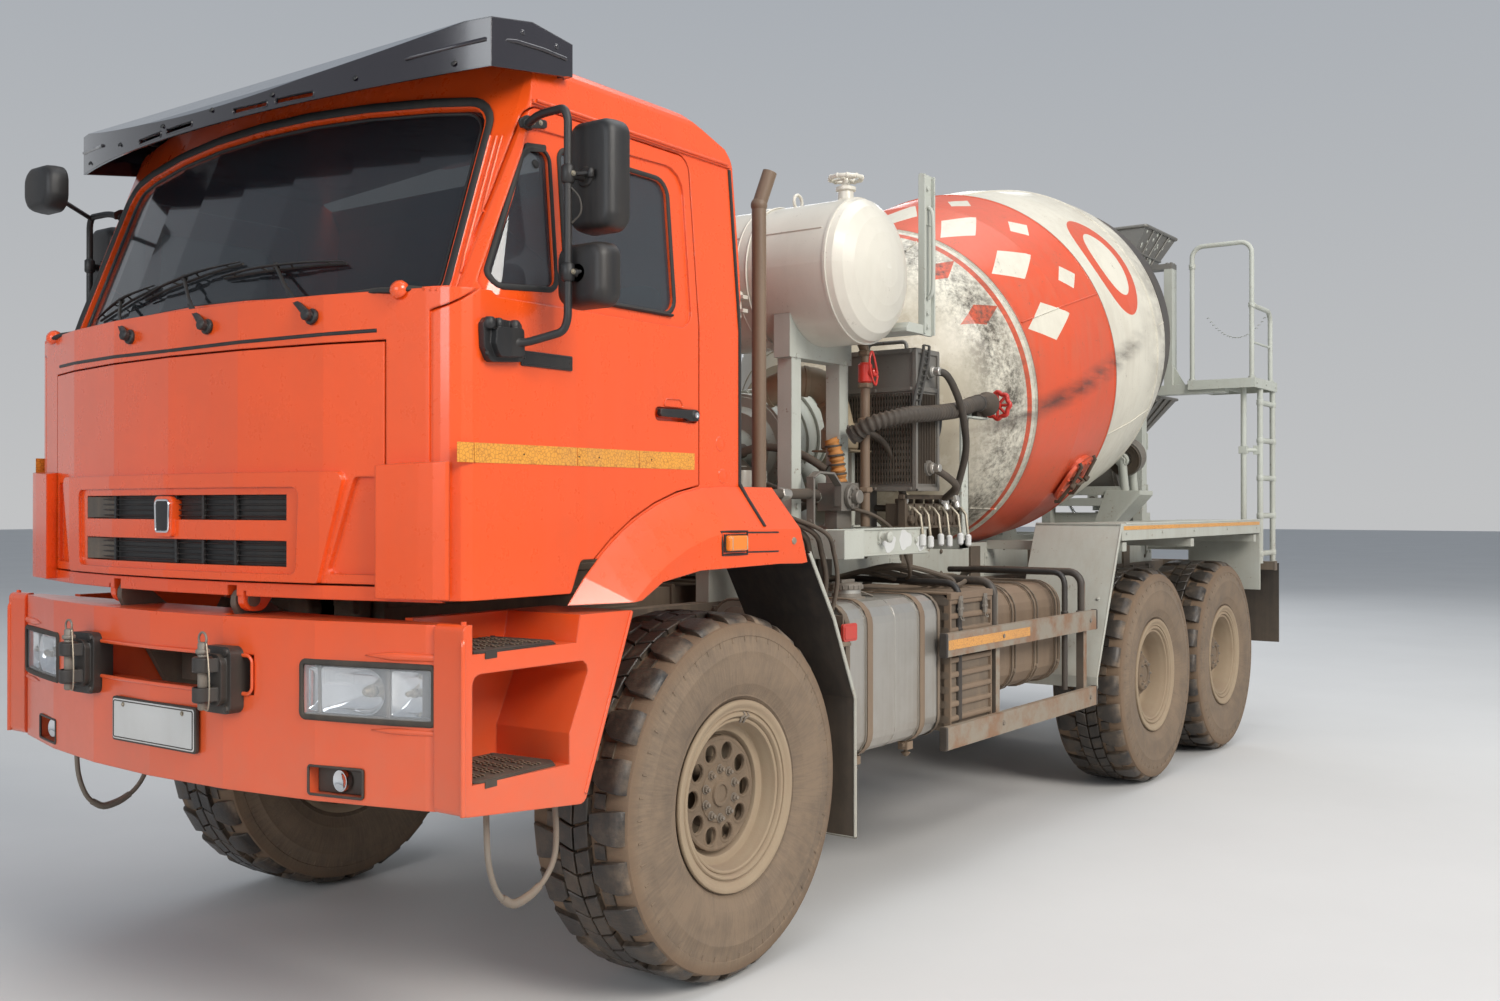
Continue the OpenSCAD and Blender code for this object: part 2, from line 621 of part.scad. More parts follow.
module oil_cooler() truck() color(steel) {
    difference() {
        union() {
            block(cooler_x, cooler_y, cooler_z);
            block(cooler_x + [-8, 8], cooler_y + [-8, 8], [cooler_z[1] - 175, cooler_z[1] - 160]);
            block(cooler_x + [-5, 5], cooler_y + [-5, 5], [cooler_z[1] - 14, cooler_z[1]]);
        }
        for (z = [cooler_z[0] + 30:2 * fin_gap:cooler_z[1] - 200]) {
            block(cooler_x + [25, -25], [cooler_y[1] - 12, cooler_y[1] + 1], [z, z + fin_gap]);
            block([cooler_x[1] - 12, cooler_x[1] + 1], cooler_y + [25, -25], [z, z + fin_gap]);
        }
    }
    block([-1690, -1600], [700, 760], [sub_top + 115 + fit, cooler_z[0] + 10]);
    for (z = [cooler_z[1] - 90, cooler_z[0] + 90])
        rod([cooler_x[0] - 45, 900, z], [cooler_x[0] + 5, 900, z], 50);
}

// Hopper above the mouth and collector below it: hollow, open at the top and the bottom
module funnel(top_x, top_y, top_z, foot_x, foot_y, foot_z, t) {
    hull() {
        block(top_x + [t, -t], [-top_y + t, top_y - t], [top_z - 2, top_z]);
        block(foot_x + [t, -t], [-foot_y + t, foot_y - t], [foot_z, foot_z + 2]);
    }
}
hopper_top = [[-6660, -6000], 480, 3640];
hopper_foot = [[-6230, -5975], 235, 3060];
collector_top = [[-6620, -6090], 500, 2410];
collector_foot = [[-6590, -6370], 120, 2010];
module charge_hopper() truck() color(steel) difference() {
    union() {
        funnel(hopper_top[0], hopper_top[1], hopper_top[2], hopper_foot[0], hopper_foot[1],
            hopper_foot[2], 0);
        both() block(post_x, [350, 620], [3330 + fit, 3370]);
    }
    funnel(hopper_top[0], hopper_top[1], hopper_top[2] + 1, hopper_foot[0], hopper_foot[1],
        hopper_foot[2] - 1, 10);
}
module discharge_collector() truck() color(steel) difference() {
    union() {
        funnel(collector_top[0], collector_top[1], collector_top[2], collector_foot[0], collector_foot[1],
            collector_foot[2], 0);
        both() block(post_x, [rail_y - 80, collector_top[1]],
            [collector_top[2] - 40, collector_top[2] - fit]);
    }
    funnel(collector_top[0], collector_top[1], collector_top[2] + 1, collector_foot[0], collector_foot[1],
        collector_foot[2] - 1, 10);
    both() block(post_x + [-fit, fit], [rail_y - 80 - fit, rail_y - 10 + fit], [2000, 2500]);
}

// Wings over the tandem wheels
module rear_wings() truck() color(pale_grey) both() {
    block([-6200, -3532], [720, 1225], [wing_z + 80, wing_z + 92]);
    block([-6200, -3532], [1213, 1225], [wing_z, wing_z + 92]);
    block([-6212, -6200], [720, 1225], [wing_z - 400, wing_z + 92]);
    across(720, 1225) polygon([[-3532, wing_z + 92], [-3170, 700], [-3170, 640], [-3184, 640],
        [-3184, 695], [-3546, wing_z + 84]]);
    for (x = [-3600, bogie_x, -6120]) {
        block([x - 30, x + 30], [rail_y - 10 + fit, 1214], [wing_z - 60, wing_z - 10]);
        block([x - 30, x + 30], [740, 800], [wing_z - 60, wing_z + 81]);
    }
}

platform_z = 2480;
ladder_x = [-6660, -6340];
module service_platform() truck() color(pale_grey) {
    block([-6690, -6130], [740, 1215], [platform_z + fit, platform_z + 12]);
    tube([[-6170, 760, platform_z + 6], [-6170, 760, 3470], [-6170, 1180, 3470],
        [-6170, 1180, platform_z + 6]], 34, 80);
    tube([[-6170, 1180, 3020], [-6640, 1180, 3020], [-6640, 1180, platform_z + 6]], 34, 80);
    for (x = ladder_x) rod([x, 1190, 1190], [x, 1190, platform_z + 6], 40);
    for (z = [1260:270:2400]) rod([ladder_x[0], 1190, z], [ladder_x[1], 1190, z], 28);
    for (z = [1300, 2000]) rod([ladder_x[1], 1190, z], [-6250, 1100, z], 30);
    rod([-6250, 1100, 1300], [-6250, 1100, platform_z + 6], 40);
    rod([-6250, 1100, 1300], [-6250, rail_y - 10 + fit, 1300], 40);
}

// Cab: plan of the body, side view and cross-section, each as [u, v, corner radius]
function cab_plan() = [
    [-cab_back, -half_w, 40], [1165, -half_w, 90],
    for (i = [-3:3]) let (v = (half_w - 110) * i / 3) [cab_front - front_r + sqrt(front_r * front_r - v * v), v, 0],
    [1165, half_w, 90], [-cab_back, half_w, 40]];
screen_r = 3600;
screen_lean = 21;
screen_foot = 1262;
function upper_plan() = [
    [-3000, -half_w, 0], [-175, -half_w, 110],
    for (i = [-4:4]) let (v = 1010 * i / 4) [screen_r * (cos(asin(v / screen_r)) - 1), v, 0],
    [-175, half_w, 110], [-3000, half_w, 0]];
function cab_side() = [
    [-cab_back, 1440, 20], [690, 1440, 20], [735, cab_z, 20], [1400, cab_z, 20], [1400, roof_z, 0],
        [700, roof_z - 8, 0],
    [-30, roof_z, 60], [-cab_back + 10, roof_z - 160, 60]];
function cab_section() = [
    [-half_w, cab_z - 50, 0], [half_w, cab_z - 50, 0], [half_w, belt_z, 0], [half_w - 48, 2790, 20],
    [half_w - 80, roof_z - 30, 60], [0, roof_z + 2, 0], [-half_w + 80, roof_z - 30, 60],
        [-half_w + 48, 2790, 20],
    [-half_w, belt_z, 0]];
module cab_solid(t) {
    intersection() {
        across(-2000, 2000) polygon(rounded(inset(cab_side(), t)));
        along(-1000, 2000) polygon(rounded(inset(cab_section(), t)));
        union() {
            translate([0, 0, cab_z - 60]) linear_extrude(belt_z - t - cab_z + 60)
                polygon(rounded(inset(cab_plan(), t)));
            intersection() {
                translate([0, 0, belt_z - t - eps]) linear_extrude(1000)
                    polygon(rounded(inset(cab_plan(), t)));
                translate([screen_foot, 0, belt_z]) rotate([0, -screen_lean, 0])
                    translate([0, 0, -700]) linear_extrude(1800) polygon(rounded(inset(upper_plan(), t)));
            }
        }
    }
}
// Door outline: front shut line, pillar, roof line, rear shut line and the arc over the fender
fender_c = [-10, 690];
fender_r = 978;
door_back = 115;
door_front = 1190;
pillar_y = 1030;
function door_outline() =
    let (r = fender_r + 2 * shut_gap, a0 = acos((door_back - fender_c.x) / r),
        a1 = asin((cab_z + 5 - fender_c.y) / r))
    concat(
        [[door_front, cab_z + 5, 20], [door_front, 2140, 20], [1100, belt_z, 20], [862, 2775, 50],
            [door_back, 2775, 50]],
        plain(arc(fender_c, r, a0, a1, 6)));
// Side windows, as seen from the side
function quarter_window() = [[790, 2248, 30], [1048, 2226, 30], [880, 2645, 40], [790, 2655, 30]];
function rear_window() = [[235, 2235, 50], [735, 2235, 30], [735, 2670, 30], [235, 2670, 50]];
// Step round the side windows, and the handle in its pocket
window_step = 8;
window_field = [[150, 2190, 60], [1085, 2190, 40], [868, 2712, 50], [150, 2730, 80]];
handle_depth = 20;
handle_x = [112, 318];
handle_pocket = [[118, 1878, 15], [340, 1878, 15], [340, 1922, 15], [118, 1922, 15]];
module side_pocket(depth) {
    intersection() {
        difference() {
            cab_solid(-1);
            cab_solid(depth);
        }
        across(900, 1300) children();
    }
}
module door(side_y0, side_y1) {
    difference() {
        intersection() {
            difference() {
                cab_solid(0);
                cab_solid(wall);
            }
            across(side_y0, side_y1) polygon(rounded(inset(door_outline(), 0)));
        }
        across(900, 1300) polygon(rounded(quarter_window()));
        across(900, 1300) polygon(rounded(rear_window()));
        side_pocket(window_step) polygon(rounded(window_field));
        side_pocket(handle_depth) polygon(rounded(handle_pocket));
    }
    block([handle_x[0], handle_x[1]], [half_w - handle_depth + 6, half_w + 6], [1890, 1910]);
}
module door_left() truck() color(orange) door(pillar_y, 1300);
module door_right() truck() color(orange) right() door(pillar_y, 1300);
module side_glass() {
    for (w = [quarter_window(), rear_window()]) intersection() {
        difference() {
            cab_solid(18);
            cab_solid(18 + glass_t);
        }
        across(900, 1300) polygon(rounded(inset(w, fit)));
    }
}
module glass_left() truck() color([0.1, 0.12, 0.13]) side_glass();
module glass_right() truck() color([0.1, 0.12, 0.13]) right() side_glass();

tunnel_y = 420;
tunnel_z = 1640;
mask_y = 885;
mask_z = [cab_z, 2062];
module screen_window(t) {
    translate([screen_foot, 0, belt_z]) rotate([0, -screen_lean, 0])
        translate([-420, 0, 0]) rotate([90, 0, 90]) linear_extrude(900)
            polygon(rounded(inset([[-985, 30, 60], [985, 30, 60], [955, 670, 70], [-955, 670, 70]], t)));
}
// Box at each front corner, proud of the cab, beside the mask
corner_step = 38;
corner_back = door_front + shut_gap + 1;
module corner_box() both() intersection() {
    difference() {
        cab_solid(-corner_step);
        cab_solid(wall / 2);
    }
    across(mask_y + shut_gap, 1300) polygon(rounded([
        [corner_back, cab_z + 10, 0], [1440, cab_z + 10, 0], [1440, 1690, 0], [corner_back, 1724, 0]]));
}
module hinge_bore() translate([cab_hinge_x, hinge_ear_y[1] + 11, cab_hinge_z]) rotate([90, 0, 0])
    cylinder(d = hinge_pin + 2 * running_gap, h = hinge_ear_y[1] + 17 - hinge_plate_y[0]);
module cab_shell() truck() color(orange) {
    difference() {
        union() {
            difference() {
                cab_solid(0);
                cab_solid(wall);
            }
            intersection() {
                cab_solid(wall / 2);
                block([-cab_back - 10, 930], [-tunnel_y - 30, tunnel_y + 30], [cab_z, tunnel_z + 30]);
            }
        }
        block([-cab_back - 10, 900], [-tunnel_y, tunnel_y], [cab_z - 100, tunnel_z]);
        both() across(pillar_y, 1300) polygon(rounded(inset(door_outline(), -shut_gap)));
        screen_window(0);
        block([1100, 1500], [-mask_y - shut_gap, mask_y + shut_gap],
            [mask_z[0] + 40, mask_z[1] + shut_gap]);
        // Room for the hinge plates and for the eye of the lift cylinder's rod
        both() block([1215, 1345], [hinge_plate_y[0] - shut_gap, hinge_ear_y[0]],
            [cab_z - 1, cab_hinge_z + 44]);
        both() block([1215, 1345], [hinge_ear_y[1], hinge_ear_y[1] + 11], [cab_z - 1, cab_z + 15]);
        both() hinge_bore();
        block([lift_eye.x - 60, lift_eye.x + 60], [lift_y - 25, lift_y + 21], [cab_z - 1, cab_z + 12]);
    }
    block([1100, 1165], [-mask_y - 20, mask_y + 20], [mask_z[0] + 10, belt_z - 30]);
    corner_box();
    // Drip rail over the doors
    both() intersection() {
        difference() {
            cab_solid(-8);
            cab_solid(5);
        }
        block([-120, 850], [1000, 1300], [2786, 2798]);
    }
    both() for (z = [1460, 1960]) block([1160, 1201], [790, 810], [z - 20, z + 20]);
    both() difference() {
        across(hinge_ear_y[0], hinge_ear_y[1]) polygon(rounded([
            [cab_hinge_x - 36, cab_hinge_z - 34, 34], [cab_hinge_x + 34, cab_hinge_z - 34, 34],
            [cab_hinge_x + 34, cab_hinge_z + 40, 5], [cab_hinge_x - 90, cab_hinge_z + 40, 5]]));
        hinge_bore();
    }
    // Ear for the lift cylinder's rod, and its pin
    block([lift_eye.x - 30, lift_eye.x + 30], [lift_y + 22, lift_y + 40],
        [lift_eye.y - 30, cab_z + wall - 1]);
    translate([lift_eye.x, lift_y + 39, lift_eye.y]) rotate([90, 0, 0]) cylinder(d = lift_pin, h = 64);
}
module windscreen() truck() color([0.08, 0.1, 0.12]) intersection() {
    difference() {
        cab_solid(20);
        cab_solid(20 + glass_t);
    }
    screen_window(fit);
}
slot_z = [[1425, 1500], [1560, 1635]];
grille_in = 15;
// Panel of the mask's lower half, forward of the rest, with a frame round the slots and a bare badge
panel_step = 16;
panel_z = [mask_z[0] + 40 + shut_gap, 1700];
lower_panel = [[-672, panel_z[0], 10], [672, panel_z[0], 10], [766, panel_z[1], 25],
    [-766, panel_z[1], 25]];
slot_frame = [[-590, 1404, 25], [590, 1404, 25], [600, 1656, 25], [-600, 1656, 25]];
side_recess = [[690, 1408, 15], [868, 1408, 15], [868, 1684, 25], [784, 1684, 15]];
module mask_pocket(t, depth) {
    intersection() {
        difference() {
            cab_solid(-t - 1);
            cab_solid(depth - t);
        }
        along(1170, 1500) children();
    }
}
module front_mask() truck() color(orange) {
    difference() {
        union() {
            intersection() {
                difference() {
                    cab_solid(0);
                    cab_solid(wall);
                }
                block([1170, 1500], [-mask_y, mask_y], [panel_z[0], mask_z[1]]);
            }
            intersection() {
                difference() {
                    cab_solid(-panel_step);
                    cab_solid(wall / 2);
                }
                along(1170, 1500) polygon(rounded(lower_panel));
            }
        }
        mask_pocket(panel_step, 10) polygon(rounded(slot_frame));
        both() mask_pocket(0, 16) polygon(rounded(side_recess));
        for (z = slot_z) block([1100, 1500], [-545, 545], z);
    }
    intersection() {
        difference() {
            cab_solid(-panel_step - 3);
            cab_solid(grille_in - fit);
        }
        along(1170, 1500) polygon(rounded([[-46, 1506, 12], [46, 1506, 12], [50, 1632, 22],
            [-50, 1632, 22]]));
    }
}
module grille() truck() color(black) {
    for (z = slot_z) intersection() {
        difference() {
            cab_solid(grille_in);
            cab_solid(wall);
        }
        block([1100, 1500], [-545 + fit, 545 - fit], z + [fit, -fit]);
    }
}
// Visor: side view of the blade and its end plates, and the curve it has from above
visor_r = 3600;
visor_x = 1195;
module visor_body(t) {
    intersection() {
        translate([visor_x - visor_r - t, 0, 2700]) cylinder(r = visor_r, h = 500, $fn = 128);
        across(-1095 + t, 1095 - t) polygon([
            [690, 2900], [1260, 2812 - 100 * t], [1260, 2812], [1168 - t, 2900], [1050 - t, 2985 - t],
                [860, 3020 - t], [690, 3000 - t]]);
    }
}
module sun_visor() truck() color(black) difference() {
    visor_body(0);
    intersection() {
        visor_body(10);
        block([720, 1400], [-1200, 1200], [2700, 3100]);
    }
    both() for (y = [[115, 275], [315, 475]]) block([1000, 1300], y, [2838, 2852]);
    across(-1200, 1200) polygon([[600, 2700], [1250, 2700], [1250, 2812], [900, 2860], [700, 2900],
        [600, 2900]]);
    cab_solid(-fit);
}
// Fender: a hull from the line on the cab's side to the bevel outside, cut by the wheel arch
function fender_line() = concat(arc(fender_c, fender_r, 39, 90, 8), [[-310, 1668], [-350, 1600],
    [-385, 1400]]);
function bevel_line() = concat(arc([0, 620], 900, 50, 90, 6), [[-330, 1520], [-375, 1400]]);
function arch_line() = [[-400, 1395], [-204, 1400], [250, 1393], [440, 1365], [575, 1295], [590, 1200],
    [-400, 1200]];
module fender_hull(t) {
    hull() {
        across(half_w + fit - (t > 0 ? 1 : 0), half_w + 3)
            polygon([for (q = fender_line()) [q.x - t, q.y - t]]);
        across(1243 - t, 1245 - t) polygon([for (q = bevel_line()) [q.x - t, q.y - t]]);
    }
}
module fenders() truck() color(orange) both() difference() {
    fender_hull(0);
    across(1000, 1300) polygon(arch_line());
    intersection() {
        fender_hull(12);
        block([-360, 700], [1000, 1300], [1000, 1700]);
    }
}
module cab_interior() truck() color(black) {
    both() {
        block([-20, 480], [380 + 90, 930], [1700, 1800]);
        block([-80, 30], [470, 930], [1780, 2400]);
        block([100, 380], [520, 880], [1485, 1700]);
    }
    block([900, 1100 - fit], [-950, 950], [1850, 2120]);
    translate([790, 600, 2080]) rotate([0, -60, 0]) rotate_extrude() translate([235, 0]) circle(d = 32);
    rod([790, 600, 2080], [960, 600, 1980], 60);
    translate([790, 600, 2080]) rotate([0, -60, 0]) for (a = [0, 120, 240]) rotate([0, 0, a])
        rod([0, 0, 0], [230, 0, 0], 26);
}

module mirrors() difference() {
    mirror_set();
    cab_solid(-fit);
}
module mirror_set() {
    bent([[862, 1060, 2700], [902, 1276, 2725], [902, 1276, 2070], [1010, half_w + 20, 2060]], 26);
    block([950, 1105], [half_w + fit, half_w + 50], [2000, 2128]);
    block([765, 850], [1215, 1390], [2390, 2705]);
    block([845, 905], [1260, 1290], [2520, 2560]);
    block([800, 895], [1200, 1385], [2170, 2350]);
}
module mirrors_left() truck() color(black) mirrors();
module mirrors_right() truck() color(black) right() {
    mirrors();
    rod([902, 1262, 2723], [1125, 1180, 2790], 20);
    block([1085, 1165], [1080, 1280], [2700, 2870]);
}

// Steering knuckles and wheels
module knuckle() {
    difference() {
        union() {
            for (z = [axle_z - 135, axle_z + 90]) translate([0, kingpin_y, z]) cylinder(d = 120, h = 45);
            block([-60, 60], [kingpin_y + 72, wheel_y - 60], [axle_z - 135, axle_z + 135]);
            for (z = [axle_z - 135, axle_z + 90])
                block([-60, 60], [kingpin_y, kingpin_y + 80], [z, z + 45]);
            translate([0, wheel_y - 60 - eps, axle_z]) rotate([-90, 0, 0])
                cylinder(d = stub_d, h = spindle_in);
        }
        translate([0, kingpin_y, axle_z - 200]) cylinder(d = kingpin_d + 2 * running_gap, h = 400);
    }
}
module knuckle_left() truck() color(dark_grey) knuckle();
module knuckle_right() truck() color(dark_grey) right() knuckle();

// Tyre with open shoulders, and a rim whose flange lies outside the tyre's bead
lug_n = 24;
lug_gap = 24;
lug_depth = 26;
module tyre(r, w, R) difference() {
    rotate_extrude() polygon(rounded([
        [r + fit, 150, 0], [r + fit, -150, 0], [r + 60, -w + 20, 40], [(r + R) / 2, -w, 60],
            [R - 70, -w + 15, 40], [R, -w + 60, 30],
        [R, w - 60, 30], [R - 70, w - 15, 40], [(r + R) / 2, w, 60], [r + 60, w - 20, 40]]));
    for (i = [0:lug_n - 1], k = [0, 1]) rotate([0, 0, (i + k / 2) * 360 / lug_n])
        translate([R - lug_depth, -lug_gap / 2, k * (w - 120 + w + 10) - w - 10])
            cube([2 * lug_depth, lug_gap, 120]);
}
function rim_lip(r) = [[r, -150], [r, 151], [r + 36, 175], [r + 36, 186], [r + 24, 190], [r + 12, 180],
    [r + 2, 178],
    [r - 4, 168], [r - 18, 166], [r - 24, 150], [r - 36, 146], [r - 42, 118]];
module steer_disc(r) difference() {
    rotate_extrude() polygon(concat([[0, -40], [150, -40], [170, 40], [r - 35, 60], [r - 35, -150]],
        rim_lip(r),
        [[r - 60, 108], [r - 64, 84], [196, 78], [190, 96], [180, 100], [176, hub_out - 4],
            [168, hub_out], [0, hub_out]]));
    for (i = [0:9]) rotate([0, 0, i * 36]) translate([135, 0, 70]) cylinder(d = 42, h = 60);
}
module drive_disc(r) {
    rotate_extrude() polygon(concat([[0, -40], [150, -40], [165, -5], [r - 35, 20], [r - 35, -150]],
        rim_lip(r),
        [[r - 52, 60], [195, 36], [160, 30], [155, 46], [118, 52], [112, hub_out], [96, hub_out + 16],
            [0, hub_out + 16]]));
    for (i = [0:9]) rotate([0, 0, i * 36]) translate([137, 0, 40]) cylinder(d = 24, h = 34);
}
module wheel(x, steered) {
    r = rim_d / 2;
    translate([x, wheel_y, axle_z]) rotate([-90, 0, 0]) {
        color(black) tyre(r, tyre_w / 2, tyre_d / 2);
        color([0.5, 0.45, 0.35]) difference() {
            union() {
                if (steered) steer_disc(r);
                if (!steered) drive_disc(r);
            }
            translate([0, 0, -61]) cylinder(d = stub_d + 2 * running_gap, h = spindle_in + 2);
        }
    }
}
module wheel_front_left() truck() wheel(0, true);
module wheel_front_right() truck() right() wheel(0, true);
module wheel_middle_left() truck() wheel(middle_x, false);
module wheel_middle_right() truck() right() wheel(middle_x, false);
module wheel_rear_left() truck() wheel(rear_x, false);
module wheel_rear_right() truck() right() wheel(rear_x, false);

// Drum: [distance along the axis, radius]
drum_profile = [[flange_s, 330], [-860, 420], [-560, 650], [-260, 830], [0, 925], [400, 1020],
    [800, drum_r - 4],
    [1200, drum_r], [1600, drum_r - 22], [1900, 985], [2120, 880], [mouth_s, mouth_r]];
seam_s = [0, 816, 1600];
hatch_s = 600;
hatch_turn = 128;
module drum() truck() color(cream) drum_axis() {
    rotate_extrude($fn = 96) polygon(concat(
        [for (p = drum_profile) [p[1], p[0]]],
        [for (i = [len(drum_profile) - 1:-1:0])
            let (p = drum_profile[i]) [p[1] - drum_t, p[0] + (i == 0 ? drum_t : 0)]],
        [[0, flange_s + drum_t], [0, flange_s]]));
    translate([0, 0, flange_s - 40]) cylinder(r = 200, h = 45);
    translate([0, 0, flange_s - 190]) cylinder(d = gear_shaft, h = 160);
    // Weld seams and the cleaning hatch
    for (s = seam_s) translate([0, 0, s - 8]) difference() {
        cylinder(r = lookup(s, drum_profile) + 4, h = 16, $fn = 96);
        translate([0, 0, -1]) cylinder(r = lookup(s, drum_profile) - 6, h = 18, $fn = 96);
    }
    rotate([0, 0, hatch_turn]) translate([lookup(hatch_s, drum_profile) - 30, 0, hatch_s])
        rotate([0, 90, 0])
        linear_extrude(42) polygon(rounded([[-110, -150, 90], [110, -150, 90], [110, 150, 90],
            [-110, 150, 90]]));
    difference() {
        translate([0, 0, ring_s[0]]) cylinder(r = ring_r, h = ring_s[1] - ring_s[0], $fn = 96);
        translate([0, 0, ring_s[0] - 1]) cylinder(r = 812, h = ring_s[1] - ring_s[0] + 2, $fn = 96);
    }
}
module roller() {
    translate(drum_point((ring_s[0] + ring_s[1]) / 2, roller_c, roller_a)) rotate([0, drum_tilt - 90, 0])
        difference() {
        translate([0, 0, -49]) cylinder(r = roller_r, h = 98);
        translate([0, 0, -51]) cylinder(d = roller_pin + 2 * running_gap, h = 102);
    }
}
module roller_left() truck() color(dark_grey) roller();
module roller_right() truck() color(dark_grey) right() roller();

// Chute, stowed to the right: it swings on a post, tilts on the yoke, and its tip folds
yoke = [-60, 1650];
yoke_pin = 30;
trough_z = 1700;
trough_r = chute_w / 2;
trough_t = 8;
trough_in = 150;
fold = [-chute_l, trough_z + trough_r + 8];
strut_base = [-160, 1380];
strut_eye = [-350, 1672];
module cross_pin(p, w, d) { translate([chute_x - w / 2, p[0], p[1]]) rotate([0, 90, 0])
    cylinder(d = d, h = w); }
module chute_swing() truck() color(steel) {
    translate([chute_x, 0, strut_base[1] - 40]) cylinder(d = post_d, h = 1600 - strut_base[1] + 40);
    translate([chute_x, 0, sleeve_z[1] + 6]) cylinder(d = 220, h = 1600 - sleeve_z[1] - 6);
    block([chute_x - 147, chute_x + 147], [-110, 60], [1600 - eps, 1615]);
    for (k = [-1, 1]) {
        x = chute_x + k * 139.5;
        block([x - 7.5, x + 7.5], [-100, -20], [1600, 1690]);
    }
    cross_pin(yoke, 294, yoke_pin);
    for (k = [-1, 1]) {
        x = chute_x + k * 40;
        block([x - 10, x + 10], [strut_base[0] - 25, 0], [strut_base[1] - 30, strut_base[1] + 30]);
    }
    cross_pin(strut_base, 100, strut_pin);
}
module trough(y0, y1, z) {
    translate([chute_x, y1, z + trough_r]) rotate([90, 0, 0]) linear_extrude(y1 - y0) difference() {
        circle(r = trough_r);
        circle(r = trough_r - trough_t);
        translate([-trough_r - 1, 0]) square([2 * trough_r + 2, trough_r + 1]);
    }
}
fold_pin = 20;
module chute() truck() color(steel) {
    difference() {
        union() {
            trough(-chute_l + 8, trough_in, trough_z);
            for (k = [-1, 1]) {
                x = chute_x + k * 119.5;
                block([x - 7, x + 7], [yoke[0] - 28, yoke[0] + 28], [yoke[1], trough_z + 50]);
                translate([x - 7, yoke[0], yoke[1]]) rotate([0, 90, 0]) cylinder(d = 60, h = 14);
                y = chute_x + k * (trough_r - 5);
                block([y - 5, y + 5], [-chute_l - 7, -chute_l + 90],
                    [trough_z + trough_r - 40, trough_z + trough_r + 15]);
            }
        }
        cross_pin(yoke, 400, yoke_pin + 2 * running_gap);
    }
    for (k = [-1, 1]) translate([chute_x + k * (trough_r + 9), fold[0], fold[1]]) rotate([0, 90, 0])
        cylinder(d = fold_pin, h = 28, center = true);
    for (k = [-1, 1]) {
        x = chute_x + k * 32;
        block([x - 7, x + 7], [strut_eye[0] - 28, strut_eye[0] + 28], [strut_eye[1] - 24, trough_z + 12]);
    }
    cross_pin(strut_eye, 76, strut_eye_pin);
}
module chute_tip() truck() color(steel) difference() {
    union() {
        translate([0, 2 * fold[0], 2 * fold[1]]) translate([chute_x, 0, 0]) rotate([180, 0, 0])
            translate([-chute_x, 0, 0])
            trough(fold[0] - tip_l, fold[0] - 8, trough_z);
        for (k = [-1, 1]) {
            x = chute_x + k * (trough_r + 6);
            block([x - 5.7, x + 5.7], [fold[0] - 18, fold[0] + 120], [fold[1] - 18, fold[1] + 50]);
        }
        for (k = [-1, 1]) {
            x = chute_x + k * (trough_r + 1);
            block([x - 8, x + 8], [fold[0] + 95, fold[0] + 119], [fold[1] + 12, fold[1] + 48]);
        }
    }
    cross_pin(fold, 600, fold_pin + 2 * running_gap);
}

// Cylinders: an eye, a hollow barrel, and a rod whose eye has room round its pin
strut_pin = 20;
strut_eye_pin = 16;
eye_play = 6;
module eye(pin, d, w) {
    rotate([90, 0, 0]) difference() {
        cylinder(d = d, h = w, center = true);
        cylinder(d = pin, h = w + 2, center = true);
    }
}
module barrel(l, d, bore, pin, w) {
    difference() {
        union() {
            translate([0, 0, pin / 2 + 4]) cylinder(d = d, h = l - pin / 2 - 4);
            rotate([90, 0, 0]) cylinder(d = 2.2 * pin, h = w, center = true);
        }
        translate([0, 0, 1.1 * pin + 4]) cylinder(d = bore, h = l);
        rotate([90, 0, 0]) cylinder(d = pin + 2 * running_gap, h = 2 * d, center = true);
    }
}
ram_eye = 10;
module ram(z0, l, d, pin, w) {
    difference() {
        union() {
            translate([0, 0, z0]) cylinder(d = d, h = l - z0 - pin / 2);
            translate([0, 0, l]) rotate([90, 0, 0]) cylinder(d = pin + ram_eye, h = w, center = true);
        }
        translate([0, 0, l]) rotate([90, 0, 0]) cylinder(d = pin, h = 2 * pin + 2 * w, center = true);
    }
}
strut_v = strut_eye - strut_base;
strut_len = norm(strut_v);
strut_a = atan2(-strut_v[0], strut_v[1]);
module at_strut() { translate([chute_x, strut_base[0], strut_base[1]]) rotate([strut_a, 0, 0])
    rotate([0, 0, 90]) children(); }
module chute_strut() truck() color(dark_grey) at_strut()
    barrel(190, 44, 28 + 2 * running_gap, strut_pin, 40);
module chute_strut_rod() truck() color(steel) at_strut()
    ram(165, strut_len, 28, strut_eye_pin + 2 * eye_play, 40);
lift_v = lift_eye - lift_base;
lift_len = norm(lift_v);
lift_a = atan2(lift_v[0], lift_v[1]);
lift_play = 11;
module at_lift() { translate([lift_base.x, lift_y, lift_base.y]) rotate([0, lift_a, 0]) children(); }
module cab_lift() truck() color(dark_grey) at_lift() barrel(360, 62, 40 + 2 * running_gap, lift_pin, 40);
module cab_lift_rod() truck() color(steel) at_lift() ram(40, lift_len, 40, lift_pin + 2 * lift_play, 30);

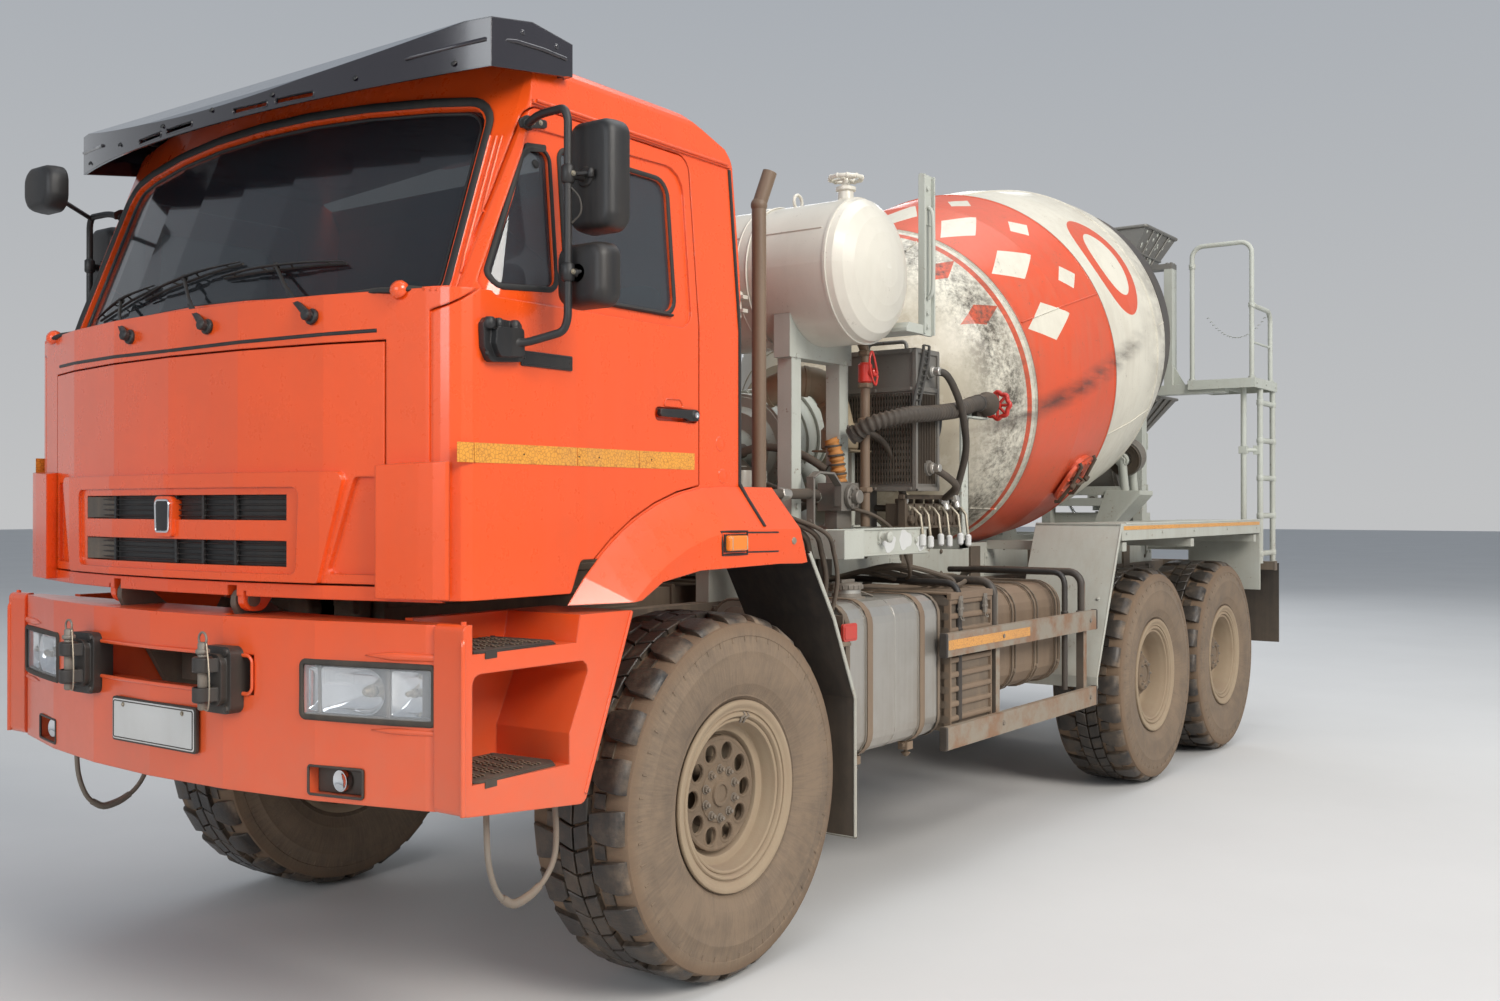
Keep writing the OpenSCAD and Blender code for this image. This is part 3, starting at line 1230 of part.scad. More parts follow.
frame_rails();
axles();
leaf_springs();
powertrain();
bumper();
lamps();
tow_forks();
step_boxes();
mud_flaps();
fuel_tank();
battery_box();
oil_tank();
air_tanks();
side_guards();
drum_frame();
water_tank();
tank_cradle();
pump_unit();
pipework();
oil_cooler();
charge_hopper();
discharge_collector();
rear_wings();
service_platform();
cab_shell();
front_mask();
grille();
windscreen();
sun_visor();
cab_interior();
fenders();
door_left();
door_right();
glass_left();
glass_right();
mirrors_left();
mirrors_right();
knuckle_left();
knuckle_right();
wheel_front_left();
wheel_front_right();
wheel_middle_left();
wheel_middle_right();
wheel_rear_left();
wheel_rear_right();
drum();
roller_left();
roller_right();
chute_swing();
chute();
chute_tip();
chute_strut();
chute_strut_rod();
cab_lift();
cab_lift_rod();
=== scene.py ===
import math
import random
from math import cos, sin, pi, radians

import bmesh
import bpy
from mathutils import Matrix, Vector
from mathutils.bvhtree import BVHTree
from mathutils.geometry import tessellate_polygon


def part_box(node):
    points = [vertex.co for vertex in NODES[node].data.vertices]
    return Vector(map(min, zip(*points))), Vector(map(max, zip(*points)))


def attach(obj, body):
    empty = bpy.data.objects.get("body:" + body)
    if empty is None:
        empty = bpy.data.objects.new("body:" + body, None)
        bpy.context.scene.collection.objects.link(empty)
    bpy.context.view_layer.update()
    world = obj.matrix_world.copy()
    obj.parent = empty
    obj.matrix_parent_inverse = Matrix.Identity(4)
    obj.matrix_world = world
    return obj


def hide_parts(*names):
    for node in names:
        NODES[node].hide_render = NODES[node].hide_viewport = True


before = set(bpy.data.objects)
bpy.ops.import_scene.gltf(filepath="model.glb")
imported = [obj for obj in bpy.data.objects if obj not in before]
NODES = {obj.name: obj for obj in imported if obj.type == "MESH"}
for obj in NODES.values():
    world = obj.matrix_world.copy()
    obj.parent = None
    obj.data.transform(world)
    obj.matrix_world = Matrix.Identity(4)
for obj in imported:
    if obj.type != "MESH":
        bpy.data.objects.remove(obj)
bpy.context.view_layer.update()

# Places are in millimetres from the front axle, on the ground: +X forward, +Y left, +Z up.
MM = 0.001
AXLE_X = sum(c.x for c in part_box("wheel_front_left")) / 2
AXLE_Z = sum(c.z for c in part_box("wheel_front_left")) / 2 / MM
MIDDLE_X = (sum(c.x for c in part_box("wheel_middle_left")) / 2 - AXLE_X) / MM
REAR_X = (sum(c.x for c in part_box("wheel_rear_left")) / 2 - AXLE_X) / MM
WHEEL_Y = sum(c.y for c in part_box("wheel_front_left")) / 2 / MM
HALF_CAB = 1130
SIDES = {"left": 1, "right": -1}


def place(x, y, z):
    """A point of the truck, in the row frame, in metres."""
    return Vector((x * MM + AXLE_X, y * MM, z * MM))


# Materials: shared effects are node groups, and each material sets its own shader

def group(name, inputs, outputs):
    tree = bpy.data.node_groups.new(name, "ShaderNodeTree")
    for label, kind, default in inputs:
        socket = tree.interface.new_socket(label, in_out="INPUT", socket_type="NodeSocket" + kind)
        socket.default_value = default
    for label, kind in outputs:
        tree.interface.new_socket(label, in_out="OUTPUT", socket_type="NodeSocket" + kind)
    return tree, tree.nodes.new("NodeGroupInput"), tree.nodes.new("NodeGroupOutput")


class Graph:
    """Short calls for the nodes of one tree."""

    def __init__(self, tree):
        self.tree = tree

    def node(self, kind, **settings):
        made = self.tree.nodes.new("ShaderNode" + kind)
        for key, value in settings.items():
            setattr(made, key, value)
        return made

    def link(self, source, target):
        if isinstance(source, (int, float, tuple)):
            target.default_value = source
        else:
            self.tree.links.new(source, target)

    def math(self, operation, a, b=0.0, clamp=False):
        made = self.node("Math", operation=operation, use_clamp=clamp)
        self.link(a, made.inputs[0])
        self.link(b, made.inputs[1])
        return made.outputs[0]

    def times(self, a, b, clamp=False):
        return self.math("MULTIPLY", a, b, clamp)

    def plus(self, a, b, clamp=False):
        return self.math("ADD", a, b, clamp)

    def minus(self, a, b):
        return self.math("SUBTRACT", a, b)

    def apart(self, a, b):
        """How far two values are from each other."""
        return self.math("ABSOLUTE", self.minus(a, b))

    def length(self, a, b):
        return self.math("SQRT", self.plus(self.times(a, a), self.times(b, b)))

    def mix(self, factor, a, b):
        made = self.node("Mix", data_type="RGBA")
        self.link(factor, made.inputs["Factor"])
        self.link(a, made.inputs[6])
        self.link(b, made.inputs[7])
        return made.outputs[2]

    def ramp(self, value, low, high):
        """0 below low, 1 above high, or the other way round."""
        made = self.node("MapRange", clamp=True)
        self.link(value, made.inputs["Value"])
        self.link(low, made.inputs["From Min"])
        self.link(high, made.inputs["From Max"])
        return made.outputs[0]

    def noise(self, vector, scale, detail=4.0, roughness=0.6):
        made = self.node("TexNoise")
        self.link(vector, made.inputs["Vector"])
        made.inputs["Scale"].default_value = scale
        made.inputs["Detail"].default_value = detail
        made.inputs["Roughness"].default_value = roughness
        return made.outputs["Fac"]

    def stretch(self, vector, x, y, z):
        made = self.node("Mapping")
        self.link(vector, made.inputs["Vector"])
        made.inputs["Scale"].default_value = (x, y, z)
        return made.outputs[0]

    def split(self, vector):
        made = self.node("SeparateXYZ")
        self.link(vector, made.inputs[0])
        return made.outputs

    def position(self):
        return self.node("TexCoord").outputs["Object"]


def weathering_group():
    """Colour variation, dust that lies low down and on top, streaks, chips and a fine grain."""
    tree, inside, outside = group("Weathering", [("Color", "Color", (0.5, 0.5, 0.5, 1)),
        ("Dust Color", "Color", (0.30, 0.22, 0.15, 1)), ("Dust", "Float", 0.3), ("Dust Top", "Float", 1.4),
        ("Streaks", "Float", 0.2), ("Roughness", "Float", 0.4), ("Chips", "Float", 0.0),
        ("Chip Color", "Color", (0.1, 0.06, 0.04, 1)), ("Grain", "Float", 60.0)],
        [("Color", "Color"), ("Roughness", "Float"), ("Height", "Float")])
    g = Graph(tree)
    value = inside.outputs
    where = g.position()
    z = g.split(where)[2]
    up = g.split(g.node("NewGeometry").outputs["Normal"])[2]
    broad = g.noise(where, 1.7, 5.0)
    mottle = g.noise(where, 9.0, 6.0, 0.7)
    fine = g.noise(where, 70.0, 3.0, 0.7)
    runs = g.noise(g.stretch(where, 26.0, 26.0, 1.2), 1.0, 3.0)
    low = g.ramp(z, value["Dust Top"], 0.25)
    low = g.times(low, g.plus(g.times(mottle, 1.3), 0.25))
    top = g.times(g.ramp(up, 0.55, 1.0), g.ramp(mottle, 0.25, 0.75))
    dust = g.plus(low, g.times(top, 0.55))
    dust = g.plus(dust, g.times(g.ramp(g.times(broad, runs), 0.22, 0.42), value["Streaks"]))
    dust = g.times(dust, value["Dust"], clamp=True)
    tone = g.mix(g.ramp(broad, 0.3, 0.75), value["Color"], g.mix(0.16, value["Color"],
        (0.02, 0.015, 0.01, 1)))
    speck = g.times(g.ramp(g.times(mottle, fine), 0.36, 0.42), value["Chips"], clamp=True)
    colour = g.mix(speck, tone, value["Chip Color"])
    colour = g.mix(dust, colour, value["Dust Color"])
    g.link(colour, outside.inputs["Color"])
    rough = g.plus(value["Roughness"], g.times(dust, 0.55))
    rough = g.plus(rough, g.times(g.minus(mottle, 0.5), 0.12), clamp=True)
    g.link(rough, outside.inputs["Roughness"])
    grain = g.node("TexNoise")
    g.link(where, grain.inputs["Vector"])
    g.link(value["Grain"], grain.inputs["Scale"])
    g.link(g.plus(grain.outputs["Fac"], g.times(dust, 0.6)), outside.inputs["Height"])
    return tree


WEATHERING = weathering_group()


def shader(name, metallic=0.0, coat=0.0):
    """A new material, with its metallic, coat and IOR settings."""
    material = bpy.data.materials.new(name)
    material.use_nodes = True
    g = Graph(material.node_tree)
    bsdf = material.node_tree.nodes["Principled BSDF"]
    bsdf.inputs["Metallic"].default_value = metallic
    bsdf.inputs["Coat Weight"].default_value = coat
    bsdf.inputs["Coat Roughness"].default_value = 0.12
    bsdf.inputs["IOR"].default_value = 1.5
    return material, g, bsdf


def weather(g, bsdf, colour, bump=0.12, round_edges=0.0, **levels):
    """Adds the weathering group and a bump to a shader, with edges rounded over a few millimetres."""
    made = g.node("Group", node_tree=WEATHERING)
    g.link(colour, made.inputs["Color"])
    for label, value in levels.items():
        made.inputs[label.replace("_", " ").title()].default_value = value
    g.link(made.outputs["Color"], bsdf.inputs["Base Color"])
    g.link(made.outputs["Roughness"], bsdf.inputs["Roughness"])
    relief = g.node("Bump")
    relief.inputs["Strength"].default_value = bump
    relief.inputs["Distance"].default_value = 0.002
    g.link(made.outputs["Height"], relief.inputs["Height"])
    if round_edges:
        soft = g.node("Bevel", samples=4)
        soft.inputs["Radius"].default_value = round_edges * MM
        g.link(soft.outputs["Normal"], relief.inputs["Normal"])
    g.link(relief.outputs["Normal"], bsdf.inputs["Normal"])
    return made


def painted(name, slot, colour, metallic=0.0, coat=0.0, bump=0.1, round_edges=0.0, **levels):
    material, g, bsdf = shader(name, metallic, coat)
    weather(g, bsdf, (*colour, 1), bump, round_edges, **levels)
    return material


ORANGE = painted("orange paint", "orange_paint", (0.83, 0.085, 0.008), coat=0.6, round_edges=7, dust=0.42,
    dust_top=1.35, roughness=0.28, streaks=0.06, grain=300.0, bump=0.04)
VISOR = painted("visor black", "black_paint", (0.012, 0.010, 0.016), coat=0.9, round_edges=6, dust=0.2,
    roughness=0.14, grain=250.0, bump=0.03, streaks=0.05)
BLACK = painted("black plastic", "black_plastic", (0.012, 0.012, 0.013), round_edges=5, dust=0.25,
    roughness=0.42, grain=900.0, bump=0.25)
RUBBER = painted("black rubber", "black_plastic", (0.014, 0.014, 0.014), dust=0.35, roughness=0.7,
    grain=500.0, bump=0.2)
CHASSIS = painted("chassis grey", "chassis_grey", (0.045, 0.042, 0.038), dust=0.75, dust_top=2.0,
    roughness=0.55, chips=0.4, grain=120.0, bump=0.35, streaks=0.3)
IRON = painted("dusty iron", "dark_iron", (0.06, 0.048, 0.038), metallic=0.35, dust=0.7, dust_top=2.2,
    roughness=0.6, chips=0.5, grain=150.0, bump=0.5, streaks=0.3)
PALE = painted("pale grey paint", "pale_grey_paint", (0.47, 0.49, 0.44), round_edges=4, dust=0.42,
    dust_top=1.9, roughness=0.5, chips=0.8, chip_color=(0.17, 0.10, 0.06, 1), grain=120.0, bump=0.25,
    streaks=0.35)
CREAM = painted("tank paint", "cream_paint", (0.66, 0.63, 0.55), round_edges=5, dust=0.22, dust_top=1.2,
    roughness=0.33, coat=0.25, chips=0.25, grain=160.0, bump=0.06, streaks=0.4)
SILVER = painted("tank metal", "tank_silver", (0.52, 0.50, 0.46), metallic=0.75, dust=0.4, dust_top=1.25,
    roughness=0.34, grain=90.0, bump=0.12, streaks=0.5)
BROWN = painted("brown tank paint", "brown_paint", (0.17, 0.115, 0.075), dust=0.6, dust_top=1.5,
    roughness=0.5, chips=0.5, grain=120.0, bump=0.25, streaks=0.4, round_edges=5)
GREY_STEEL = painted("worn steel", "steel_grey", (0.20, 0.195, 0.18), metallic=0.4, dust=0.5, dust_top=2.4,
    roughness=0.5, chips=0.7, chip_color=(0.09, 0.05, 0.03, 1), grain=110.0, bump=0.3, streaks=0.4)
BEIGE = painted("wheel paint", "wheel_beige", (0.36, 0.29, 0.19), dust=0.75, dust_top=2.4, roughness=0.55,
    chips=0.3, grain=160.0, bump=0.3, streaks=0.1)
RUST_ORANGE = painted("banded hose", "brown_paint", (0.50, 0.20, 0.035), dust=0.5, dust_top=2.4,
    roughness=0.6, chips=0.6, grain=200.0, bump=0.25)
RED = painted("red enamel", "orange_paint", (0.55, 0.03, 0.02), coat=0.2, dust=0.25, dust_top=1.5,
    roughness=0.35, grain=300.0)
AMBER = painted("amber lens", "lamp_glass", (0.85, 0.22, 0.02), coat=0.8, dust=0.12, roughness=0.18,
    grain=500.0)
TAIL_RED = painted("red lens", "lamp_glass", (0.5, 0.01, 0.01), coat=0.8, dust=0.3, roughness=0.18,
    grain=500.0)
HOSE = painted("rubber hose", "black_plastic", (0.02, 0.019, 0.018), dust=0.5, dust_top=2.6, roughness=0.6,
    grain=260.0, bump=0.3)
PLATE = painted("blank plate", "pale_grey_paint", (0.62, 0.62, 0.60), coat=0.3, dust=0.25, roughness=0.35,
    grain=300.0)
CHROME = painted("reflector", "lamp_glass", (0.85, 0.86, 0.88), metallic=1.0, dust=0.04, roughness=0.08,
    grain=300.0, bump=0.02)
MIRROR = painted("mirror face", "lamp_glass", (0.75, 0.78, 0.8), metallic=1.0, dust=0.05, roughness=0.03,
    grain=300.0, bump=0.0)
BRASS = painted("worn fitting", "steel_grey", (0.42, 0.38, 0.30), metallic=0.7, dust=0.35, dust_top=2.6,
    roughness=0.4, grain=200.0)
SEAT = painted("seat cloth", "black_plastic", (0.05, 0.05, 0.06), dust=0.1, roughness=0.9, grain=700.0,
    bump=0.4)


def clear(name, colour, alpha, roughness):
    """Glass: tinted and see-through by its alpha, with light dust."""
    material, g, bsdf = shader(name, coat=0.5)
    weather(g, bsdf, (*colour, 1), bump=0.0, dust=0.06, dust_top=2.4, roughness=roughness)
    bsdf.inputs["Alpha"].default_value = alpha
    return material


WINDSCREEN = clear("dark glass", (0.010, 0.014, 0.018), 0.72, 0.03)
SIDE_GLASS = clear("side glass", (0.045, 0.055, 0.065), 0.66, 0.04)
LENS = clear("lamp lens", (0.75, 0.78, 0.8), 0.22, 0.03)


def tape_material():
    """Reflective tape: yellow-orange with a fine honeycomb."""
    material, g, bsdf = shader("reflective tape", coat=0.5)
    where = g.position()
    cells = g.node("TexVoronoi", feature="DISTANCE_TO_EDGE")
    g.link(where, cells.inputs["Vector"])
    cells.inputs["Scale"].default_value = 90.0
    joint = g.ramp(g.split(g.stretch(where, 3.3, 3.3, 3.3))[0], 0.0, 1.0)
    colour = g.mix(g.ramp(cells.outputs["Distance"], 0.02, 0.10), (0.50, 0.19, 0.02, 1),
        (0.83, 0.37, 0.04, 1))
    colour = g.mix(g.times(joint, 0.12), colour, (0.35, 0.12, 0.02, 1))
    weather(g, bsdf, colour, 0.05, dust=0.4, dust_top=1.6, roughness=0.35, streaks=0.25, chips=0.25)
    return material


TAPE = tape_material()


# The drum: axis, coloured band and its ornament
DRUM_TILT = radians(14)
BAND_AT = (-3080, 0, 2246)
BAND_W = 816
DRUM_U = Vector((-cos(DRUM_TILT), 0, sin(DRUM_TILT)))
DRUM_UP = Vector((sin(DRUM_TILT), 0, cos(DRUM_TILT)))


def drum_material():
    """Cream shell with an orange band, lozenges, rings and scuffs, with a painted shadow band on the front
    dome, mortar dirt with painted shade over the front, and painted shade over the rear cone.
    """
    material, g, bsdf = shader("drum paint", coat=0.15)
    centre = place(*BAND_AT)
    where = g.node("VectorMath", operation="SUBTRACT")
    g.link(g.position(), where.inputs[0])
    where.inputs[1].default_value = centre

    def along(axis):
        dot = g.node("VectorMath", operation="DOT_PRODUCT")
        g.link(where.outputs[0], dot.inputs[0])
        dot.inputs[1].default_value = axis
        return dot.outputs["Value"]

    s = along(DRUM_U)
    angle = g.math("ARCTAN2", along((0, 1, 0)), along(DRUM_UP))

    def lozenges(s0, half_s, step, half_a, shift):
        """1 inside a row of diamonds round the drum."""
        turn = g.math("FRACT", g.plus(g.math("DIVIDE", angle, radians(step)), shift))
        u = g.apart(turn, 0.5)
        u = g.times(u, step / half_a)
        v = g.math("DIVIDE", g.apart(s, s0), half_s)
        return g.math("LESS_THAN", g.plus(u, v), 1.0)

    def near(value, centre_value, half, edge):
        off = g.apart(value, centre_value)
        return g.ramp(off, half + edge, half)

    def from_centre(s0, radius):
        """Distance from the nearest of three points round the shell, measured on its surface."""
        turn = g.minus(g.math("FRACT", g.plus(g.math("DIVIDE", angle, radians(120)), 0.0)), 0.5)
        u = g.times(turn, radians(120) * radius)
        v = g.minus(s, s0)
        return g.length(u, v)

    orange = (0.66, 0.085, 0.028, 1)
    cream = (0.70, 0.665, 0.56, 1)
    upper = near(angle, 0.0, radians(78.1), 0.002)
    band = near(s, BAND_W / 2 * MM, BAND_W / 2 * MM, 0.001)
    colour = g.mix(band, cream, orange)
    inner = g.math("MAXIMUM", lozenges(0.24, 0.19, 22.0, 6.5, 0.25), lozenges(0.60, 0.10, 22.0, 4.2, 0.75))
    colour = g.mix(g.times(inner, upper), colour, cream)
    ahead = lozenges(-0.20, 0.13, 22.0, 4.3, 0.75)
    colour = g.mix(g.times(ahead, upper), colour, orange)
    colour = g.mix(near(s, -0.055, 0.016, 0.001), colour, orange)
    colour = g.mix(near(from_centre(1.22, 0.78), 0.21, 0.045, 0.002), colour, orange)
    lines = g.math("MAXIMUM", near(s, 0.0, 0.004, 0.001), near(s, BAND_W * MM, 0.004, 0.001))
    colour = g.mix(g.times(lines, 0.75), colour, (0.12, 0.07, 0.05, 1))
    blot = g.noise(where.outputs[0], 3.0, 6.0, 0.75)
    fine = g.noise(where.outputs[0], 34.0, 5.0, 0.75)
    # Painted shadow of the flat bar: a dark band round the front dome, broken up by noise
    bar_shadow_band = g.times(near(s, -0.20, 0.04, 0.22), g.ramp(g.plus(fine, blot), 0.82, 1.15))
    colour = g.mix(g.times(bar_shadow_band, 0.93), colour, (0.035, 0.028, 0.018, 1))
    # Over the front dome: a darker beige that is mortar dirt and painted shade together, broken up by noise
    front = g.times(g.ramp(s, -0.26, -0.52), g.ramp(blot, 0.15, 0.5))
    colour = g.mix(g.times(front, 0.72), colour, (0.27, 0.215, 0.13, 1))
    # Painted shade over the rear cone: a darker tone, broken up by noise
    rear = g.times(g.ramp(s, 1.30, 2.05), g.ramp(g.noise(g.stretch(where.outputs[0], 2.2, 2.2, 5.0), 1.6, 6.0,
        0.7), 0.36, 0.62))
    colour = g.mix(g.times(rear, 0.85), colour, (0.13, 0.105, 0.08, 1))
    scuff_line = g.plus(1.72, g.times(s, -0.16))
    scuff = g.ramp(g.apart(angle, scuff_line), 0.085, 0.0)
    scuff = g.times(scuff, g.ramp(g.noise(g.stretch(where.outputs[0], 3.0, 3.0, 14.0), 1.3, 5.0), 0.3, 0.62))
    scuff = g.times(scuff, near(s, 0.45, 0.55, 0.5))
    colour = g.mix(g.times(scuff, 0.88), colour, (0.045, 0.03, 0.025, 1))
    steel = near(s, 2.205, 0.060, 0.004)
    colour = g.mix(steel, colour, (0.06, 0.052, 0.045, 1))
    weather(g, bsdf, colour, 0.10, dust=0.35, dust_top=1.6, roughness=0.42, streaks=0.4, chips=0.5,
        chip_color=(0.12, 0.08, 0.05, 1), grain=60.0)
    return material


DRUM = drum_material()


def tyre_materials():
    """Sidewall rubber, brown with dust and marked by fine radial lines, and darker tread rubber."""
    found = []
    for name, dark in (("tyre sidewall", 0.0), ("tyre tread", 1.0)):
        material, g, bsdf = shader(name)
        where = g.position()
        x, _, z = g.split(where)[0:3]
        turn = g.math("ARCTAN2", z, x)
        radius = g.length(x, z)
        lines = g.node("CombineXYZ")
        g.link(g.times(turn, 22.0), lines.inputs[0])
        g.link(g.times(radius, 4.0), lines.inputs[1])
        radial = g.noise(lines.outputs[0], 2.6, 5.0, 0.7)
        blot = g.noise(where, 7.0, 6.0, 0.7)
        dry = (0.215, 0.155, 0.105, 1)
        rubber = (0.028, 0.024, 0.021, 1)
        wall_dust = g.ramp(g.plus(radial, blot), 0.62, 1.12)
        tread_dust = g.times(g.ramp(blot, 0.38, 0.68), g.ramp(radius, 0.622, 0.590))
        tread_dust = g.plus(tread_dust, g.times(g.ramp(blot, 0.5, 0.8), 0.35), clamp=True)
        share = tread_dust if dark else g.plus(g.times(wall_dust, 0.55), 0.42, clamp=True)
        colour = g.mix(share, rubber, dry)
        crown = g.ramp(radius, 0.535, 0.575)
        if not dark:
            colour = g.mix(g.times(crown, 0.55), colour, (0.15, 0.09, 0.05, 1))
        g.link(colour, bsdf.inputs["Base Color"])
        g.link(g.ramp(share, -0.6, 1.1), bsdf.inputs["Roughness"])
        relief = g.node("Bump")
        relief.inputs["Strength"].default_value = 0.35
        relief.inputs["Distance"].default_value = 0.003
        g.link(g.plus(radial, g.noise(where, 130.0, 3.0)), relief.inputs["Height"])
        g.link(relief.outputs["Normal"], bsdf.inputs["Normal"])
        found.append(material)
    return found


SIDEWALL, TREAD = tyre_materials()


def guard_material():
    """Dusty side rails with black tubes behind them."""
    material, g, bsdf = shader("guard rails")
    y = g.math("ABSOLUTE", g.split(g.position())[1])
    rust = g.ramp(g.noise(g.position(), 5.0, 6.0, 0.7), 0.45, 0.62)
    rail = g.mix(rust, (0.26, 0.235, 0.19, 1), (0.22, 0.10, 0.045, 1))
    colour = g.mix(g.ramp(y, 1.193, 1.196), (0.022, 0.022, 0.022, 1), rail)
    weather(g, bsdf, colour, 0.3, round_edges=3, dust=0.5, dust_top=1.5, roughness=0.45, chips=0.4,
        grain=120.0)
    return material


GUARD = guard_material()


# Forms

AHEAD, LEFT, UP = Vector((1, 0, 0)), Vector((0, 1, 0)), Vector((0, 0, 1))
POLE = 0.001  # The radius at which a turned profile meets its axis


def angles(count, start=0.0):
    """Angles spaced evenly round a circle."""
    return [start + 2 * pi * k / count for k in range(count)]


def sided(sign, a, b):
    """The span between two distances from the middle, on one side of the truck, its lower end first."""
    return tuple(sorted((sign * a, sign * b)))


def smooth(points, steps=6):
    """A smooth line through points."""
    p = [Vector(q) for q in points]
    p = [2 * p[0] - p[1]] + p + [2 * p[-1] - p[-2]]
    line = []
    for i in range(1, len(p) - 2):
        for k in range(steps):
            t = k / steps
            line.append(0.5 * (2 * p[i] + (p[i + 1] - p[i - 1]) * t + (2 * p[i - 1] - 5 * p[i] + 4 * p[i + 1]
                - p[i + 2]) * t * t + (3 * p[i] - p[i - 1] - 3 * p[i + 1] + p[i + 2]) * t ** 3))
    return line + [p[-2]]


def bend(points, radius, steps=5):
    """Straight runs with round corners."""
    p = [Vector(q) for q in points]
    line = [p[0]]
    for a, b, c in zip(p, p[1:], p[2:]):
        r = min(radius, (a - b).length * 0.49, (c - b).length * 0.49)
        start = b + (a - b).normalized() * r
        end = b + (c - b).normalized() * r
        for k in range(steps + 1):
            t = k / steps
            line.append((1 - t) ** 2 * start + 2 * t * (1 - t) * b + t * t * end)
    return line + [p[-1]]


def rounded(corners, steps=5):
    """A closed outline from corners [u, v, radius]."""
    out = []
    n = len(corners)
    for i in range(n):
        a, b, c = (Vector(corners[k % n][:2]) for k in (i - 1, i, i + 1))
        r = corners[i][2]
        if r < 0.01:
            out.append(tuple(b))
            continue
        u, v = (a - b).normalized(), (c - b).normalized()
        half = u.angle(v) / 2
        d = r / math.tan(half)
        centre = b + (u + v).normalized() * r / sin(half)
        p, q = b + u * d - centre, b + v * d - centre
        for k in range(steps + 1):
            out.append(tuple(centre + (p * (steps - k) + q * k).normalized() * r))
    return out


def circle(u, v, r, steps=24):
    """A round outline about (u, v)."""
    return [(u + r * cos(2 * pi * k / steps), v + r * sin(2 * pi * k / steps)) for k in range(steps)]


def rectangle(u, v, r, steps=5):
    """An outline between two values of u and two of v, with its corners rounded by r."""
    return rounded([(u[0], v[0], r), (u[1], v[0], r), (u[1], v[1], r), (u[0], v[1], r)], steps)


# How an outline (u, v) at height w lies along each axis
AXES = {"x": lambda u, v, w: (w, u, v), "y": lambda u, v, w: (u, w, v), "z": lambda u, v, w: (u, v, w)}


